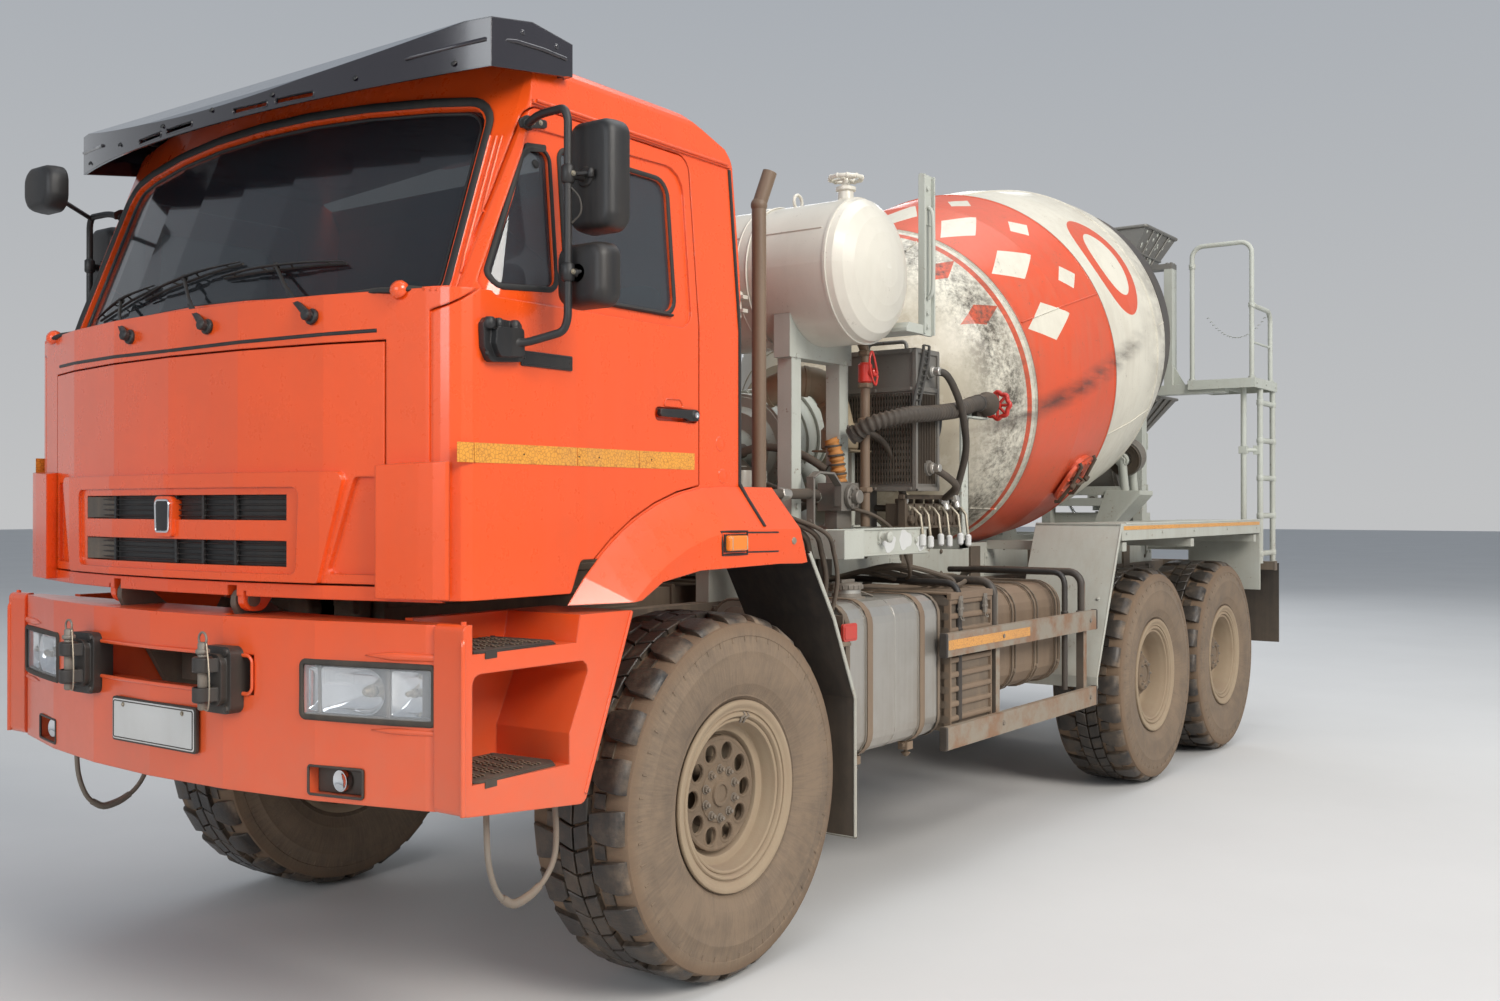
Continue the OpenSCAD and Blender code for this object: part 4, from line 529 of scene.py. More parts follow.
class Piece:
    """Gathers forms into one mesh, in truck millimetres, or in its own frame where it is local."""

    def __init__(self, name, local=False):
        self.name = name
        self.local = local
        self.bm = bmesh.new()

    def add(self, points, faces):
        made = [self.bm.verts.new(p) for p in points]
        for face in faces:
            self.bm.faces.new([made[i] for i in face])

    def prism(self, outline, axis, low, high):
        """An outline extruded along an axis: (y, z) along x, (x, z) along y or (x, y) along z."""
        turn = AXES[axis]
        n = len(outline)
        points = [turn(u, v, w) for w in (low, high) for u, v in outline]
        sides = [(i, (i + 1) % n, n + (i + 1) % n, n + i) for i in range(n)]
        self.add(points, [tuple(range(n)), tuple(range(2 * n - 1, n - 1, -1))] + sides)
        return self

    def plate(self, loops, axis, low, high):
        """An outline with holes, extruded along an axis. loops holds the outline, then each hole."""
        turn = AXES[axis]
        flat = [p for loop in loops for p in loop]
        n = len(flat)
        filled = tessellate_polygon([[Vector((u, v, 0)) for u, v in loop] for loop in loops])
        faces = [tuple(t) for t in filled] + [tuple(i + n for i in reversed(t)) for t in filled]
        start = 0
        for loop in loops:
            m = len(loop)
            faces += [(start + i, start + (i + 1) % m, n + start + (i + 1) % m, n + start + i)
                for i in range(m)]
            start += m
        self.add([turn(u, v, w) for w in (low, high) for u, v in flat], faces)
        return self

    def loft(self, rings, caps=True):
        """Faces between rings that have the same number of points."""
        n = len(rings[0])
        faces = [(i * n + k, i * n + (k + 1) % n, (i + 1) * n + (k + 1) % n, (i + 1) * n + k)
            for i in range(len(rings) - 1) for k in range(n)]
        if caps:
            faces += [tuple(range(n)), tuple(range(len(rings) * n - 1, (len(rings) - 1) * n - 1, -1))]
        self.add([p for ring in rings for p in ring], faces)
        return self

    def brick(self, x, y, z):
        return self.prism([(x[0], y[0]), (x[1], y[0]), (x[1], y[1]), (x[0], y[1])], "z", *z)

    def sweep(self, line, radius, sides=12, closed=False, flat=1.0, up=(0, 0, 1)):
        """A tube along a line.

        radius is a number or a function of the share of the line; flat squeezes it along up.
        """
        line = [Vector(p) for p in line]
        n = len(line)
        normal = None
        rings = []
        for i in range(n):
            before = line[i - 1] if i or closed else line[0]
            after = line[(i + 1) % n] if i < n - 1 or closed else line[-1]
            direction = (after - before).normalized()
            if normal is None:
                normal = direction.cross(Vector(up) if abs(direction.dot(Vector(up))) < 0.95 else AHEAD)
            normal = (normal - direction * normal.dot(direction)).normalized()
            other = direction.cross(normal)
            r = radius(i / max(n - 1, 1)) if callable(radius) else radius
            rings.append([line[i] + r * (cos(a) * normal + flat * sin(a) * other)
                for a in (2 * pi * k / sides for k in range(sides))])
        count = n if closed else n - 1
        faces = [(i * sides + k, i * sides + (k + 1) % sides, (i + 1) % n * sides + (k + 1) % sides,
            (i + 1) % n * sides + k) for i in range(count) for k in range(sides)]
        if not closed:
            faces += [tuple(range(sides)), tuple(range(n * sides - 1, (n - 1) * sides - 1, -1))]
        self.add([p for ring in rings for p in ring], faces)
        return self

    def lathe(self, profile, centre, axis=LEFT, segments=48, closed=False):
        """A profile of [radius, height] turned about an axis. closed joins its last point to its first."""
        w = Vector(axis).normalized()
        u = w.orthogonal().normalized()
        v = w.cross(u)
        n = len(profile)
        points = [Vector(centre) + w * h + r * (cos(a) * u + sin(a) * v)
            for a in (2 * pi * k / segments for k in range(segments)) for r, h in profile]
        faces = [(k * n + i, k * n + (i + 1) % n, (k + 1) % segments * n + (i + 1) % n,
            (k + 1) % segments * n + i) for k in range(segments) for i in range(n if closed else n - 1)]
        self.add(points, faces)
        return self

    def disc(self, centre, axis, radius, low, high, edge=0.0, segments=32):
        """A round bar or plate with its rims broken by edge."""
        return self.lathe([(POLE, low), (radius - edge, low), (radius, low + edge), (radius, high - edge),
            (radius - edge, high), (POLE, high)], centre, axis, segments)

    def bolts(self, places, axis, radius=11, height=9):
        for p in places:
            self.disc(p, axis, radius * 1.35, 0, height * 0.25, segments=16)
            self.disc(p, axis, radius, 0, height, height * 0.15, segments=6)
        return self

    def end(self, material, body="chassis", bevel=0.0, replaces=(), angle=38, bevel_steps=2, matrix=None):
        bmesh.ops.remove_doubles(self.bm, verts=self.bm.verts, dist=0.002)
        bmesh.ops.recalc_face_normals(self.bm, faces=self.bm.faces)
        mesh = bpy.data.meshes.new(self.name)
        for v in self.bm.verts:
            v.co = v.co * MM if self.local else place(*v.co)
        self.bm.to_mesh(mesh)
        self.bm.free()
        return finish_piece(self.name, mesh, material, body, bevel, replaces, angle, bevel_steps, matrix)


def finish_piece(name, mesh, material, body, bevel=0.0, replaces=(), angle=38, bevel_steps=2, matrix=None):
    """The object of a mesh, with its shading, bevel, body and the nodes it replaces."""
    made = bpy.data.objects.new(name, mesh)
    bpy.context.scene.collection.objects.link(made)
    if not mesh.materials:
        mesh.materials.append(material)
    mesh.polygons.foreach_set("use_smooth", [True] * len(mesh.polygons))
    mesh.set_sharp_from_angle(angle=radians(angle))
    if matrix is not None:
        made.matrix_world = matrix
    if bevel:
        edge = made.modifiers.new("edges", "BEVEL")
        edge.width = bevel * MM
        edge.segments = bevel_steps
        edge.limit_method = "ANGLE"
        edge.angle_limit = radians(32)
        edge.use_clamp_overlap = True
    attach(made, body)
    if replaces:
        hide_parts(*replaces)
    return made


OUTSIDE = 1700  # Further from the axle's middle than any skin of the cab


class Skin:
    """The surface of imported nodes, for seating what lies on it."""

    def __init__(self, *names):
        points, faces = [], []
        for name in names:
            mesh = NODES[name].data
            faces += [[len(points) + i for i in face.vertices] for face in mesh.polygons]
            points += [v.co.copy() for v in mesh.vertices]
        self.tree = BVHTree.FromPolygons(points, faces)

    def hit(self, x, y, z, direction, stand=0.0):
        """Where a ray from a point of the truck lands, raised by stand along the surface's normal."""
        way = Vector(direction).normalized()
        found, normal, _, _ = self.tree.ray_cast(place(x, y, z), way)
        if normal.dot(way) > 0:
            normal = -normal
        found = found / MM + normal * stand
        return Vector((found.x - AXLE_X / MM, found.y, found.z))

    def front(self, y, z, stand=0.0):
        return self.hit(OUTSIDE, y, z, -AHEAD, stand)

    def side(self, x, z, stand=0.0, sign=1):
        return self.hit(x, sign * OUTSIDE, z, LEFT * -sign, stand)


def spread(points, step=60, closed=False):
    """More points along straight runs, so that a line can follow a curved surface."""
    line = []
    pairs = list(zip(points, points[1:] + points[:1]))
    for a, b in pairs if closed else pairs[:-1]:
        n = max(1, round(math.dist(a, b) / step))
        line += [tuple(p + (q - p) * k / n for p, q in zip(a, b)) for k in range(n)]
    return line if closed else line + [tuple(points[-1])]


def mirrored(make, **settings):
    """The same piece on the truck's left and right."""
    for side, sign in SIDES.items():
        make(side, sign, **settings)


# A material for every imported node

FINISH = {name: material for material, names in (
    (CHASSIS, "frame_rails battery_box air_tanks"),
    (IRON, "axles leaf_springs powertrain tow_forks pump_unit knuckle_left knuckle_right "
           "chute_strut cab_lift"),
    (ORANGE, "bumper step_boxes cab_shell front_mask fenders door_left door_right"),
    (CHROME, "lamps chute_strut_rod cab_lift_rod"),
    (RUBBER, "mud_flaps"),
    (SILVER, "fuel_tank"),
    (BROWN, "oil_tank pipework"),
    (GUARD, "side_guards"),
    (PALE, "drum_frame tank_cradle rear_wings service_platform chute_swing"),
    (CREAM, "water_tank"),
    (GREY_STEEL, "oil_cooler charge_hopper discharge_collector roller_left roller_right chute "
                 "chute_tip"),
    (BLACK, "grille cab_interior mirrors_left mirrors_right"),
    (WINDSCREEN, "windscreen"),
    (VISOR, "sun_visor"),
    (SIDE_GLASS, "glass_left glass_right"),
    (DRUM, "drum")) for name in names.split()}
for name, node in NODES.items():
    material = SIDEWALL if name.startswith("wheel") else FINISH[name]
    for slot in node.material_slots:
        slot.material = material


# Wheels, each about its own centre, with its outer side along +Y

TYRE_R = AXLE_Z
LUGS = 24
LUG_STEP = 2 * pi / LUGS


def lug(piece, rows, turn):
    """A tread block. Each row is [offset, start, end, top, foot], with start and end along the tread."""
    chamfer = 3.0
    points = []
    for y, start, end, top, foot in rows:
        ring = ((start, foot), (start, top - chamfer), (start + chamfer, top), (end - chamfer, top),
            (end, top - chamfer), (end, foot))
        points += [(r * cos(turn + a / TYRE_R), y, r * sin(turn + a / TYRE_R)) for a, r in ring]
    faces = [(6 * i + k, 6 * i + k + 1, 6 * i + k + 7, 6 * i + k + 6) for i in range(len(rows) - 1)
        for k in range(5)]
    faces += [tuple(range(6)), tuple(range(len(points) - 1, len(points) - 7, -1))]
    piece.add(points, faces)


def tread(piece):
    """Broad shoulder blocks in two staggered rows, and skewed blocks between them."""
    base = TYRE_R - 24
    top = TYRE_R - 2
    shoulder = [[68, -18, 34, top - 3, base], [71, -24, 38, top, base], [104, -48, 46, top, base],
        [150, -56, 54, top - 3, base], [166, -57, 55, top - 8, base - 2], [180, -57, 55, top - 17, base - 9],
        [189, -56, 54, top - 30, base - 18]]
    middle = [[4, 0, 0, top - 3, base], [7, 0, 0, top, base], [58, 0, 0, top, base],
        [61, 0, 0, top - 3, base]]
    for side in (1, -1):
        for i in range(LUGS):
            turn = (i + (0.5 if side < 0 else 0)) * LUG_STEP
            lug(piece, [[side * y, a, b, high, low] for y, a, b, high, low in shoulder], turn)
            for start, end in ((-79, -5), (3, 75)):
                lug(piece, [[side * y, start + y * 0.35 - 10, end + y * 0.35 - 10, high, low]
                    for y, _, _, high, low in middle], turn)
            # A low tie between neighbouring shoulder blocks
            lug(piece, [[side * y, 52, 104, base + 7, base - 4] for y in (76, 120)], turn)


def carcass(piece):
    """Sidewalls with a smooth band at the shoulder and fine rings above the bead."""
    half = [(290, 148), (297, 158), (309, 165), (322, 171), (334, 181), (337, 185), (341, 185), (344, 186),
        (360, 194), (378, 201), (381, 203), (385, 203), (388, 204), (420, 208), (452, 209.5), (484, 208),
        (487, 209), (491, 209), (494, 207.5), (520, 204), (540, 201), (543, 203.5), (560, 203), (582, 196.5),
        (585, 192), (589, 178), (594, 160), (596, 120), (596, 40)]
    piece.lathe([(r, y) for r, y in half] + [(r, -y) for r, y in reversed(half)], (0, 0, 0), segments=120,
        closed=True)
    # Wear marks round the shoulder band
    for side in (1, -1):
        for i in range(LUGS * 2):
            turn = i * LUG_STEP / 2 + 0.03
            piece.sweep([(r * cos(turn), side * y, r * sin(turn)) for r, y in ((523, 203.4), (540, 201.5))],
                3, 6)


RIM_LIP = [(286, 148), (298, 163), (312, 171), (321, 175), (324, 180), (324, 186), (321, 190), (314, 191.5),
    (306, 190), (300, 184), (293, 180), (287, 179.5), (285, 174), (283, 173), (281, 177), (276, 180),
    (269, 179), (265, 174), (264, 165), (262, 164), (260, 168), (255, 169), (250, 166), (247, 158),
    (246, 146), (243, 142), (242, 120)]
RIM_INSIDE = [(262, 20), (262, -120), (282, -150), (300, -164), (320, -176), (320, -184), (305, -184),
    (286, -170), (284, -148)]


def front_rim(piece):
    dish = [(239, 113), (232, 110), (217, 109), (213, 106), (211, 98), (209, 82), (204, 78), (197, 77),
        (197, 60), (120, 50), (120, 30), (220, 40)]
    piece.lathe(RIM_LIP + dish + RIM_INSIDE, (0, 0, 0), segments=96, closed=True)


def drive_rim(piece):
    dish = [(238, 110), (235, 70), (230, 52), (222, 42), (205, 36), (172, 32), (168, 34), (160, 34),
        (160, 20), (225, 15), (245, 25)]
    piece.lathe(RIM_LIP + dish + RIM_INSIDE, (0, 0, 0), segments=96, closed=True)


def front_hub(piece):
    """Dark disc with ten round holes, a rim round each, and a ringed boss."""
    holes = [circle(146 * cos(k * pi / 5), 146 * sin(k * pi / 5), 30) for k in range(10)]
    piece.plate([circle(0, 0, 195, 60)] + holes, "y", 92, 103)
    for k in range(10):
        x, z = 146 * cos(k * pi / 5), 146 * sin(k * pi / 5)
        piece.lathe([(30, 92), (30, 103), (33, 106), (37, 106), (41, 103), (41, 92)], (x, 0, z), segments=24,
            closed=True)
    piece.lathe([(195, 70), (195, 103), (190, 106), (184, 106), (180, 103), (180, 70)], (0, 0, 0),
        segments=60, closed=True)
    piece.lathe([(POLE, 103), (100, 103), (97, 107), (60, 108), (46, 110), (43, 118), (36, 120), (31, 118),
        (29, 112), (POLE, 111)], (0, 0, 0), segments=40)
    piece.lathe([(POLE, 46), (190, 46), (190, 40), (POLE, 40)], (0, 0, 0), segments=40)


def drive_hub(piece):
    """Planetary hub, deep in the rim: a flange, a ribbed drum and its cover."""
    piece.lathe([(POLE, 30), (168, 30), (168, 46), (160, 50), (122, 52), (117, 58), (114, 84), (117, 88),
        (117, 96), (112, 100), (100, 104), (96, 118), (88, 124), (56, 126), (52, 118), (46, 116), (42, 122),
        (POLE, 123)], (0, 0, 0), segments=60)
    for k in range(10):
        turn = (k + 0.5) * pi / 5
        x, z = cos(turn), sin(turn)
        piece.prism([(112 * x - 5 * z, 112 * z + 5 * x), (150 * x - 5 * z, 150 * z + 5 * x),
            (150 * x + 5 * z, 150 * z - 5 * x), (112 * x + 5 * z, 112 * z - 5 * x)], "y", 48, 74)


def hub_studs(piece, radius, foot, count, size, start=0.0):
    """Studs with their nuts round a hub."""
    for k in range(count):
        turn = start + 2 * pi * k / count
        place_at = (radius * cos(turn), foot, radius * sin(turn))
        piece.disc(place_at, LEFT, size * 1.35, 0, 3, 0.6, 20)
        piece.disc(place_at, LEFT, size, 3, size * 1.1, 1.5, 6)
        piece.disc(place_at, LEFT, size * 0.55, 3, size * 1.75, 1.2, 12)


def lock_notch(piece):
    """The gap in the lock ring, with its pry slot."""
    for turn in (1.72, 1.80):
        c, s = cos(turn), sin(turn)
        piece.sweep([(r * c + w * -s, y, r * s + w * c) for r, y, w in ((283, 177, 0), (272, 182, 5),
            (262, 176, -5), (246, 166, 0))], 4.5, 8)


WHEEL_FORMS = {}


def wheel_piece(make, material, name, node, matrix):
    """The first of its form is built, and the others share its mesh."""
    if make in WHEEL_FORMS:
        finish_piece(name, WHEEL_FORMS[make], material, node, replaces=[node], matrix=matrix)
        return
    piece = Piece(name, local=True)
    make(piece)
    WHEEL_FORMS[make] = piece.end(material, node, replaces=[node], matrix=matrix).data


def front_studs(piece):
    hub_studs(piece, 84, 107, 10, 12, pi / 10)
    lock_notch(piece)


def drive_studs(piece):
    hub_studs(piece, 143, 50, 10, 15)
    hub_studs(piece, 72, 124, 8, 8)


TYRE_FORMS = ((carcass, SIDEWALL, "tyre"), (tread, TREAD, "tread"))
FRONT_FORMS = ((front_rim, BEIGE, "rim"), (front_hub, IRON, "hub"), (front_studs, GREY_STEEL, "studs"))
DRIVE_FORMS = ((drive_rim, BEIGE, "rim"), (drive_hub, IRON, "hub"), (drive_studs, GREY_STEEL, "studs"))
for index, (row, x, forms) in enumerate((("front", 0, FRONT_FORMS), ("middle", MIDDLE_X, DRIVE_FORMS),
        ("rear", REAR_X, DRIVE_FORMS))):
    for side, sign in SIDES.items():
        wheel = "%s_%s" % (row, side)
        there = Matrix.Translation(place(x, sign * WHEEL_Y, AXLE_Z))
        out = there @ Matrix.Rotation(0 if sign > 0 else pi, 4, "Z") @ Matrix.Rotation(pi / 2 * index, 4, "Y")
        for make, material, label in TYRE_FORMS + forms:
            wheel_piece(make, material, label + "_" + wheel, "wheel_" + wheel, out)


# Windscreen, wipers and what stands on the cab's front

CAB = Skin("cab_shell", "front_mask", "windscreen", "fenders", "bumper")
FRONT = Skin("front_mask")
BELT_Z = 2205
SCREEN_FOOT = 1262
SCREEN_LEAN = radians(21)
SCREEN_RAY = 400


def screen_point(y, up, stand=0.0):
    """A point of the leaning windscreen's plane, up along it from its foot, dropped onto the glass or cab."""
    x = SCREEN_FOOT - up * sin(SCREEN_LEAN)
    z = BELT_Z + up * cos(SCREEN_LEAN)
    way = (-cos(SCREEN_LEAN), 0, -sin(SCREEN_LEAN))
    return CAB.hit(x - SCREEN_RAY * way[0], y, z - SCREEN_RAY * way[2], way, stand)


def screen_seal():
    """The rubber round the windscreen, and the lip inside it."""
    outline = rounded([(-985, 30, 60), (985, 30, 60), (955, 670, 70), (-955, 670, 70)], 6)
    wide = rounded([(-1003, 12, 75), (1003, 12, 75), (972, 688, 85), (-972, 688, 85)], 6)
    seal = Piece("windscreen_seal")
    loop = [screen_point(y, up, 2) for y, up in spread(wide, 60, closed=True)]
    seal.sweep(loop, 15, 10, closed=True, flat=0.55, up=(1, 0, 0.38))
    seal.end(RUBBER, "cab")
    lip = Piece("windscreen_lip")
    loop = [screen_point(y, up * 0.97 + 12, 1) for y, up in spread([(y * 0.975, up) for y, up in outline], 60,
        True)]
    lip.sweep(loop, 5, 8, closed=True)
    lip.end(BLACK, "cab")


def wipers():
    """Three wipers, each with its spindle, arm, bridge and blade."""
    arms = Piece("wiper_arms")
    blades = Piece("wiper_blades")
    for pivot, left, right, low, high in ((-230, -760, -330, 95, 150), (200, -390, 150, 110, 175),
            (640, 80, 610, 130, 150)):
        foot = CAB.front(pivot, BELT_Z - 62, -4)
        arms.disc(foot, (1, 0, 0.2), 24, 0, 16, 4, 24)
        arms.disc(foot, (1, 0, 0.2), 17, 14, 38, 5, 24)
        middle = screen_point((left + right) / 2, (low + high) / 2, 30)
        knee = foot.lerp(middle, 0.42) + Vector((26, 0, 0))
        line = smooth([foot + Vector((24, 0, 8)), knee, middle], 6)
        arms.sweep(line[:8], lambda t: 12 - 4 * t, 8, flat=0.6, up=(1, 0, 0.3))
        arms.sweep(line[6:], 5.5, 8)
        arms.sweep([foot + Vector((28, -16, 10)), knee + Vector((6, -6, 0))], 3, 6)
        spine = [screen_point(left + (right - left) * t, low + (high - low) * t, 20 + 14 * sin(pi * t))
            for t in (k / 8 for k in range(9))]
        edge = [screen_point(left + (right - left) * t, low + (high - low) * t, 7)
            for t in (k / 10 for k in range(11))]
        blades.sweep(spine, lambda t: 3 + 4 * sin(pi * t), 8, flat=0.6)
        blades.sweep(edge, 4.5, 6)
        for t in (1, 3, 5, 7):
            blades.sweep([spine[t], edge[round(t * 1.25)]], 3, 6)
        blades.disc(middle, (1, 0, 0.4), 11, -10, 6, 2, 16)
    arms.end(BLACK, "cab")
    blades.end(RUBBER, "cab")


def belt_knobs():
    """Round stops at the belt's corners, and the dark groove under the windscreen."""
    knobs = Piece("belt_knobs")
    for sign in (1, -1):
        foot = CAB.front(sign * 936, BELT_Z - 6, -6)
        knobs.lathe([(POLE, 0), (27, 0), (28, 10), (24, 22), (14, 30), (POLE, 32)], foot, (1, 0, 0.75), 24)
    knobs.end(ORANGE, "cab", angle=60)
    groove = Piece("scuttle_groove")
    groove.sweep([CAB.front(y, 2084 + abs(y) * 0.012, 0.5) for y in range(-860, 861, 40)], 5.5, 8, flat=0.35,
        up=AHEAD)
    groove.end(BLACK, "cab")


# Louvres in the mask's slots, and the bare badge

def slot_fill():
    slats = Piece("slot_slats")
    panels = Piece("slot_panels")
    for low, high in ((1425, 1500), (1560, 1635)):
        for z in range(low + 12, high, 17):
            line = [FRONT_BASE.front(y, z, 6) for y in range(-535, 536, 107)]
            slats.sweep(line, 5, 6, flat=0.5, up=UP)
        for y in (-330, 40, 175, 330):
            foot = FRONT_BASE.front(y, (low + high) / 2, 4)
            slats.brick((foot.x, foot.x + 12), (y - 5, y + 5), (low + 1, high - 1))
        deep = FRONT_BASE.front(-440, (low + high) / 2, 8)
        panels.brick((deep.x - 4, deep.x + 3), (-536, -352), (low + 3, high - 3))
    slats.end(BLACK, "cab")
    panels.end(CHASSIS, "cab", bevel=2)


def badge():
    """A bare plate with a bright rim on the mask's boss."""
    shape = [(-34, 1522, 10), (34, 1522, 10), (38, 1620, 14), (-38, 1620, 14)]
    front = max(FRONT.front(y, z).x for y in (-30, 30) for z in (1530, 1610))
    plate = Piece("badge_plate")
    plate.prism(rounded(shape), "x", front - 2, front + 3)
    plate.end(BLACK, "cab", bevel=1)
    rim = Piece("badge_rim")
    rim.sweep([(front + 2.5, u, v) for u, v in rounded(shape, 6)], 3.6, 8, closed=True)
    rim.end(CHROME, "cab", angle=60)


FRONT_BASE = Skin("grille")
screen_seal()
wipers()
belt_knobs()
slot_fill()
badge()


# Doors: window surrounds, handle, bare plate, tape, and the mirrors on their tubes

QUARTER = [(790, 2248, 30), (1048, 2226, 30), (880, 2645, 40), (790, 2655, 30)]
REAR = [(235, 2235, 50), (735, 2235, 30), (735, 2670, 30), (235, 2670, 50)]


def grow(outline, by):
    """The outline moved outward on every side, about its middle."""
    cu = sum(p[0] for p in outline) / len(outline)
    cv = sum(p[1] for p in outline) / len(outline)
    return [(u + math.copysign(by, u - cu), v + math.copysign(by, v - cv), r + by) for u, v, r in outline]


def window_surrounds(side, sign):
    """Seals round both panes of a door, the corner cover, the sill and the catch."""
    door = Skin("door_" + side)
    seal = Piece("window_seals_" + side)
    for outline, wide in ((QUARTER, 9), (REAR, 8)):
        loop = spread(rounded(grow(outline, 7), 6), 60, closed=True)
        seal.sweep([door.side(x, z, 1, sign) for x, z in loop], wide, 8, closed=True, flat=0.7, up=LEFT)
    # Corner cover of the quarter window, and the run channel of the sliding one
    top = door.side(868, 2660, 2, sign)
    seal.prism(rounded([(905, 2600, 6), (884, 2662, 14), (800, 2672, 6), (800, 2652, 3), (866, 2640, 10)]),
        "y", top.y - sign * 4, top.y + sign * 6)
    sill = [door.side(x, 2226, 1, sign) + Vector((0, sign * 3, 0)) for x in (250, 380, 510, 640, 722)]
    seal.sweep(sill, 11, 8, flat=0.5)
    seal.end(RUBBER, "door_" + side, angle=50)

    catch = Piece("quarter_catch_" + side)
    foot = Skin("glass_" + side).side(834, 2610, 0, sign)
    catch.disc(foot, (0, sign, 0.12), 13, 0, 7, 3, 24)
    catch.end(BLACK, "door_" + side)


def door_handle(side, sign):
    """Pull handle with its hinge, the lock and the pressed scoop behind it."""
    y = sign * (HALF_CAB - 12)
    out = sign * (HALF_CAB + 14)
    handle = Piece("door_handle_" + side)
    handle.prism(rounded([(128, 1884, 13), (176, 1882, 10), (200, 1890, 14), (322, 1891, 8), (330, 1898, 4),
        (326, 1916, 8), (190, 1919, 10), (150, 1922, 14), (124, 1914, 14)]), "y", sign * (HALF_CAB - 2), out)
    for x in (140, 308):
        handle.disc((x, y, 1903), LEFT * sign, 12, 0, 14, 2, 20)
    handle.disc((146, out - sign * 2, 1903), LEFT * sign, 19, 0, 5, 2.5, 32)
    handle.end(BLACK, "door_" + side, bevel=4)
    lock = Piece("door_lock_" + side)
    lock.lathe([(POLE, 2), (6, 2), (6.5, 4), (10, 4.5), (10.5, 2), (10.5, 0)], (146, out + sign * 2, 1903),
        (0, sign, 0), 24)
    lock.brick((142, 150), (out + sign * 3, out + sign * 4.6), (1902, 1904))
    lock.end(CHROME, "door_" + side)
    scoop = Piece("handle_scoop_" + side)
    scoop.sweep([(x, sign * (HALF_CAB + 0.4), z) for x, z in rounded([(196, 1926, 6), (298, 1926, 6),
        (290, 1950, 16), (212, 1952, 18)], 6)], 3, 6, closed=True)
    scoop.end(ORANGE, "door_" + side, angle=60)


def door_marks(side, sign):
    """Bare plate with a rim, and the reflective tape with its studs."""
    y = sign * HALF_CAB
    plate = Piece("door_plate_" + side)
    plate.prism(rectangle((732, 944), (2004, 2048), 4), "y", y + sign * 0.4, y + sign * 6)
    plate.end(BLACK, "door_" + side, bevel=1.5)
    rim = Piece("door_plate_rim_" + side)
    rim.sweep([(u, y + sign * 5.6, v) for u, v in rectangle((738, 938), (2010, 2042), 3)], 1.2, 6,
        closed=True)
    for x in (744, 932):
        rim.disc((x, y + sign * 5, 2026), LEFT * sign, 3.5, 0, 2.2, 0.8, 12)
    rim.end(BLACK, "door_" + side)
    tape = Piece("door_tape_" + side)
    for low, high in ((137, 420), (422, 706), (708, 1120), (1122, 1183)):
        tape.prism(rectangle((low, high), (1722, 1777), 2), "y", y + sign * 0.3, y + sign * 1.5)
    tape.end(TAPE, "door_" + side)
    studs = Piece("tape_studs_" + side)
    for x in (360, 610, 700, 930):
        studs.disc((x, y + sign * 1.3, 1750), LEFT * sign, 3, 0, 1.2, 0.5, 10)
    studs.end(BLACK, "door_" + side)


def cab_edges(side, sign):
    """Seal down the cab's rear edge, plugs in its corner post, and the line of the roof seam."""
    seal = Piece("rear_edge_seal_" + side)
    seal.sweep([CAB.side(-118, z, 1, sign) for z in range(1530, 2781, 50)], 7, 8)
    seal.end(RUBBER, "cab")
    plugs = Piece("corner_plugs_" + side)
    for x, z in ((-6, 1814), (-20, 1704)):
        foot = CAB.side(x, z, -1, sign)
        plugs.lathe([(POLE, 2), (17, 2.2), (21, 1.4), (24, 3), (26, 1)], foot, LEFT * sign, 32)
    plugs.end(ORANGE, "cab", angle=60)
    drip = Piece("drip_rail_lip_" + side)
    drip.sweep([CAB.side(x, 2795, 3, sign) for x in range(-100, 841, 47)], 5, 8)
    drip.end(ORANGE, "cab", angle=60)
    post = Piece("screen_post_ribs_" + side)
    for shift, r in ((0, 6), (22, 5), (40, 4)):
        post.sweep([screen_point(sign * (1012 + shift - up * 0.04), up, 1) for up in range(20, 620, 50)], r,
            8)
    post.end(ORANGE, "cab", angle=60)


def head_shell(piece, x, y, z, r, deep):
    """A mirror's shell: domed in front, with a rim round its open back. x is the back face."""
    steps = ((0, 0), (0.35, 0), (0.7, 3), (0.88, 9), (0.97, 18), (1.0, 30))
    rings = []
    for share, inset in steps:
        outline = rectangle((y[0] + inset, y[1] - inset), (z[0] + inset, z[1] - inset),
            max(r - inset * 0.6, 6), 6)
        rings.append([(x + deep * share, u, v) for u, v in outline])
    n = len(rings[0])
    points = [p for ring in rings for p in ring]
    faces = [(i * n + k, i * n + (k + 1) % n, (i + 1) * n + (k + 1) % n, (i + 1) * n + k)
        for i in range(len(rings) - 1) for k in range(n)]
    faces += [tuple(range((len(rings) - 1) * n, len(rings) * n))]
    lip = [(x + 3, u, v) for u, v in rectangle((y[0] + 9, y[1] - 9), (z[0] + 9, z[1] - 9), r - 5, 6)]
    faces += [(k, (k + 1) % n, n * len(rings) + (k + 1) % n, n * len(rings) + k) for k in range(n)]
    piece.add(points + lip, faces + [tuple(range(len(points) + n - 1, len(points) - 1, -1))])


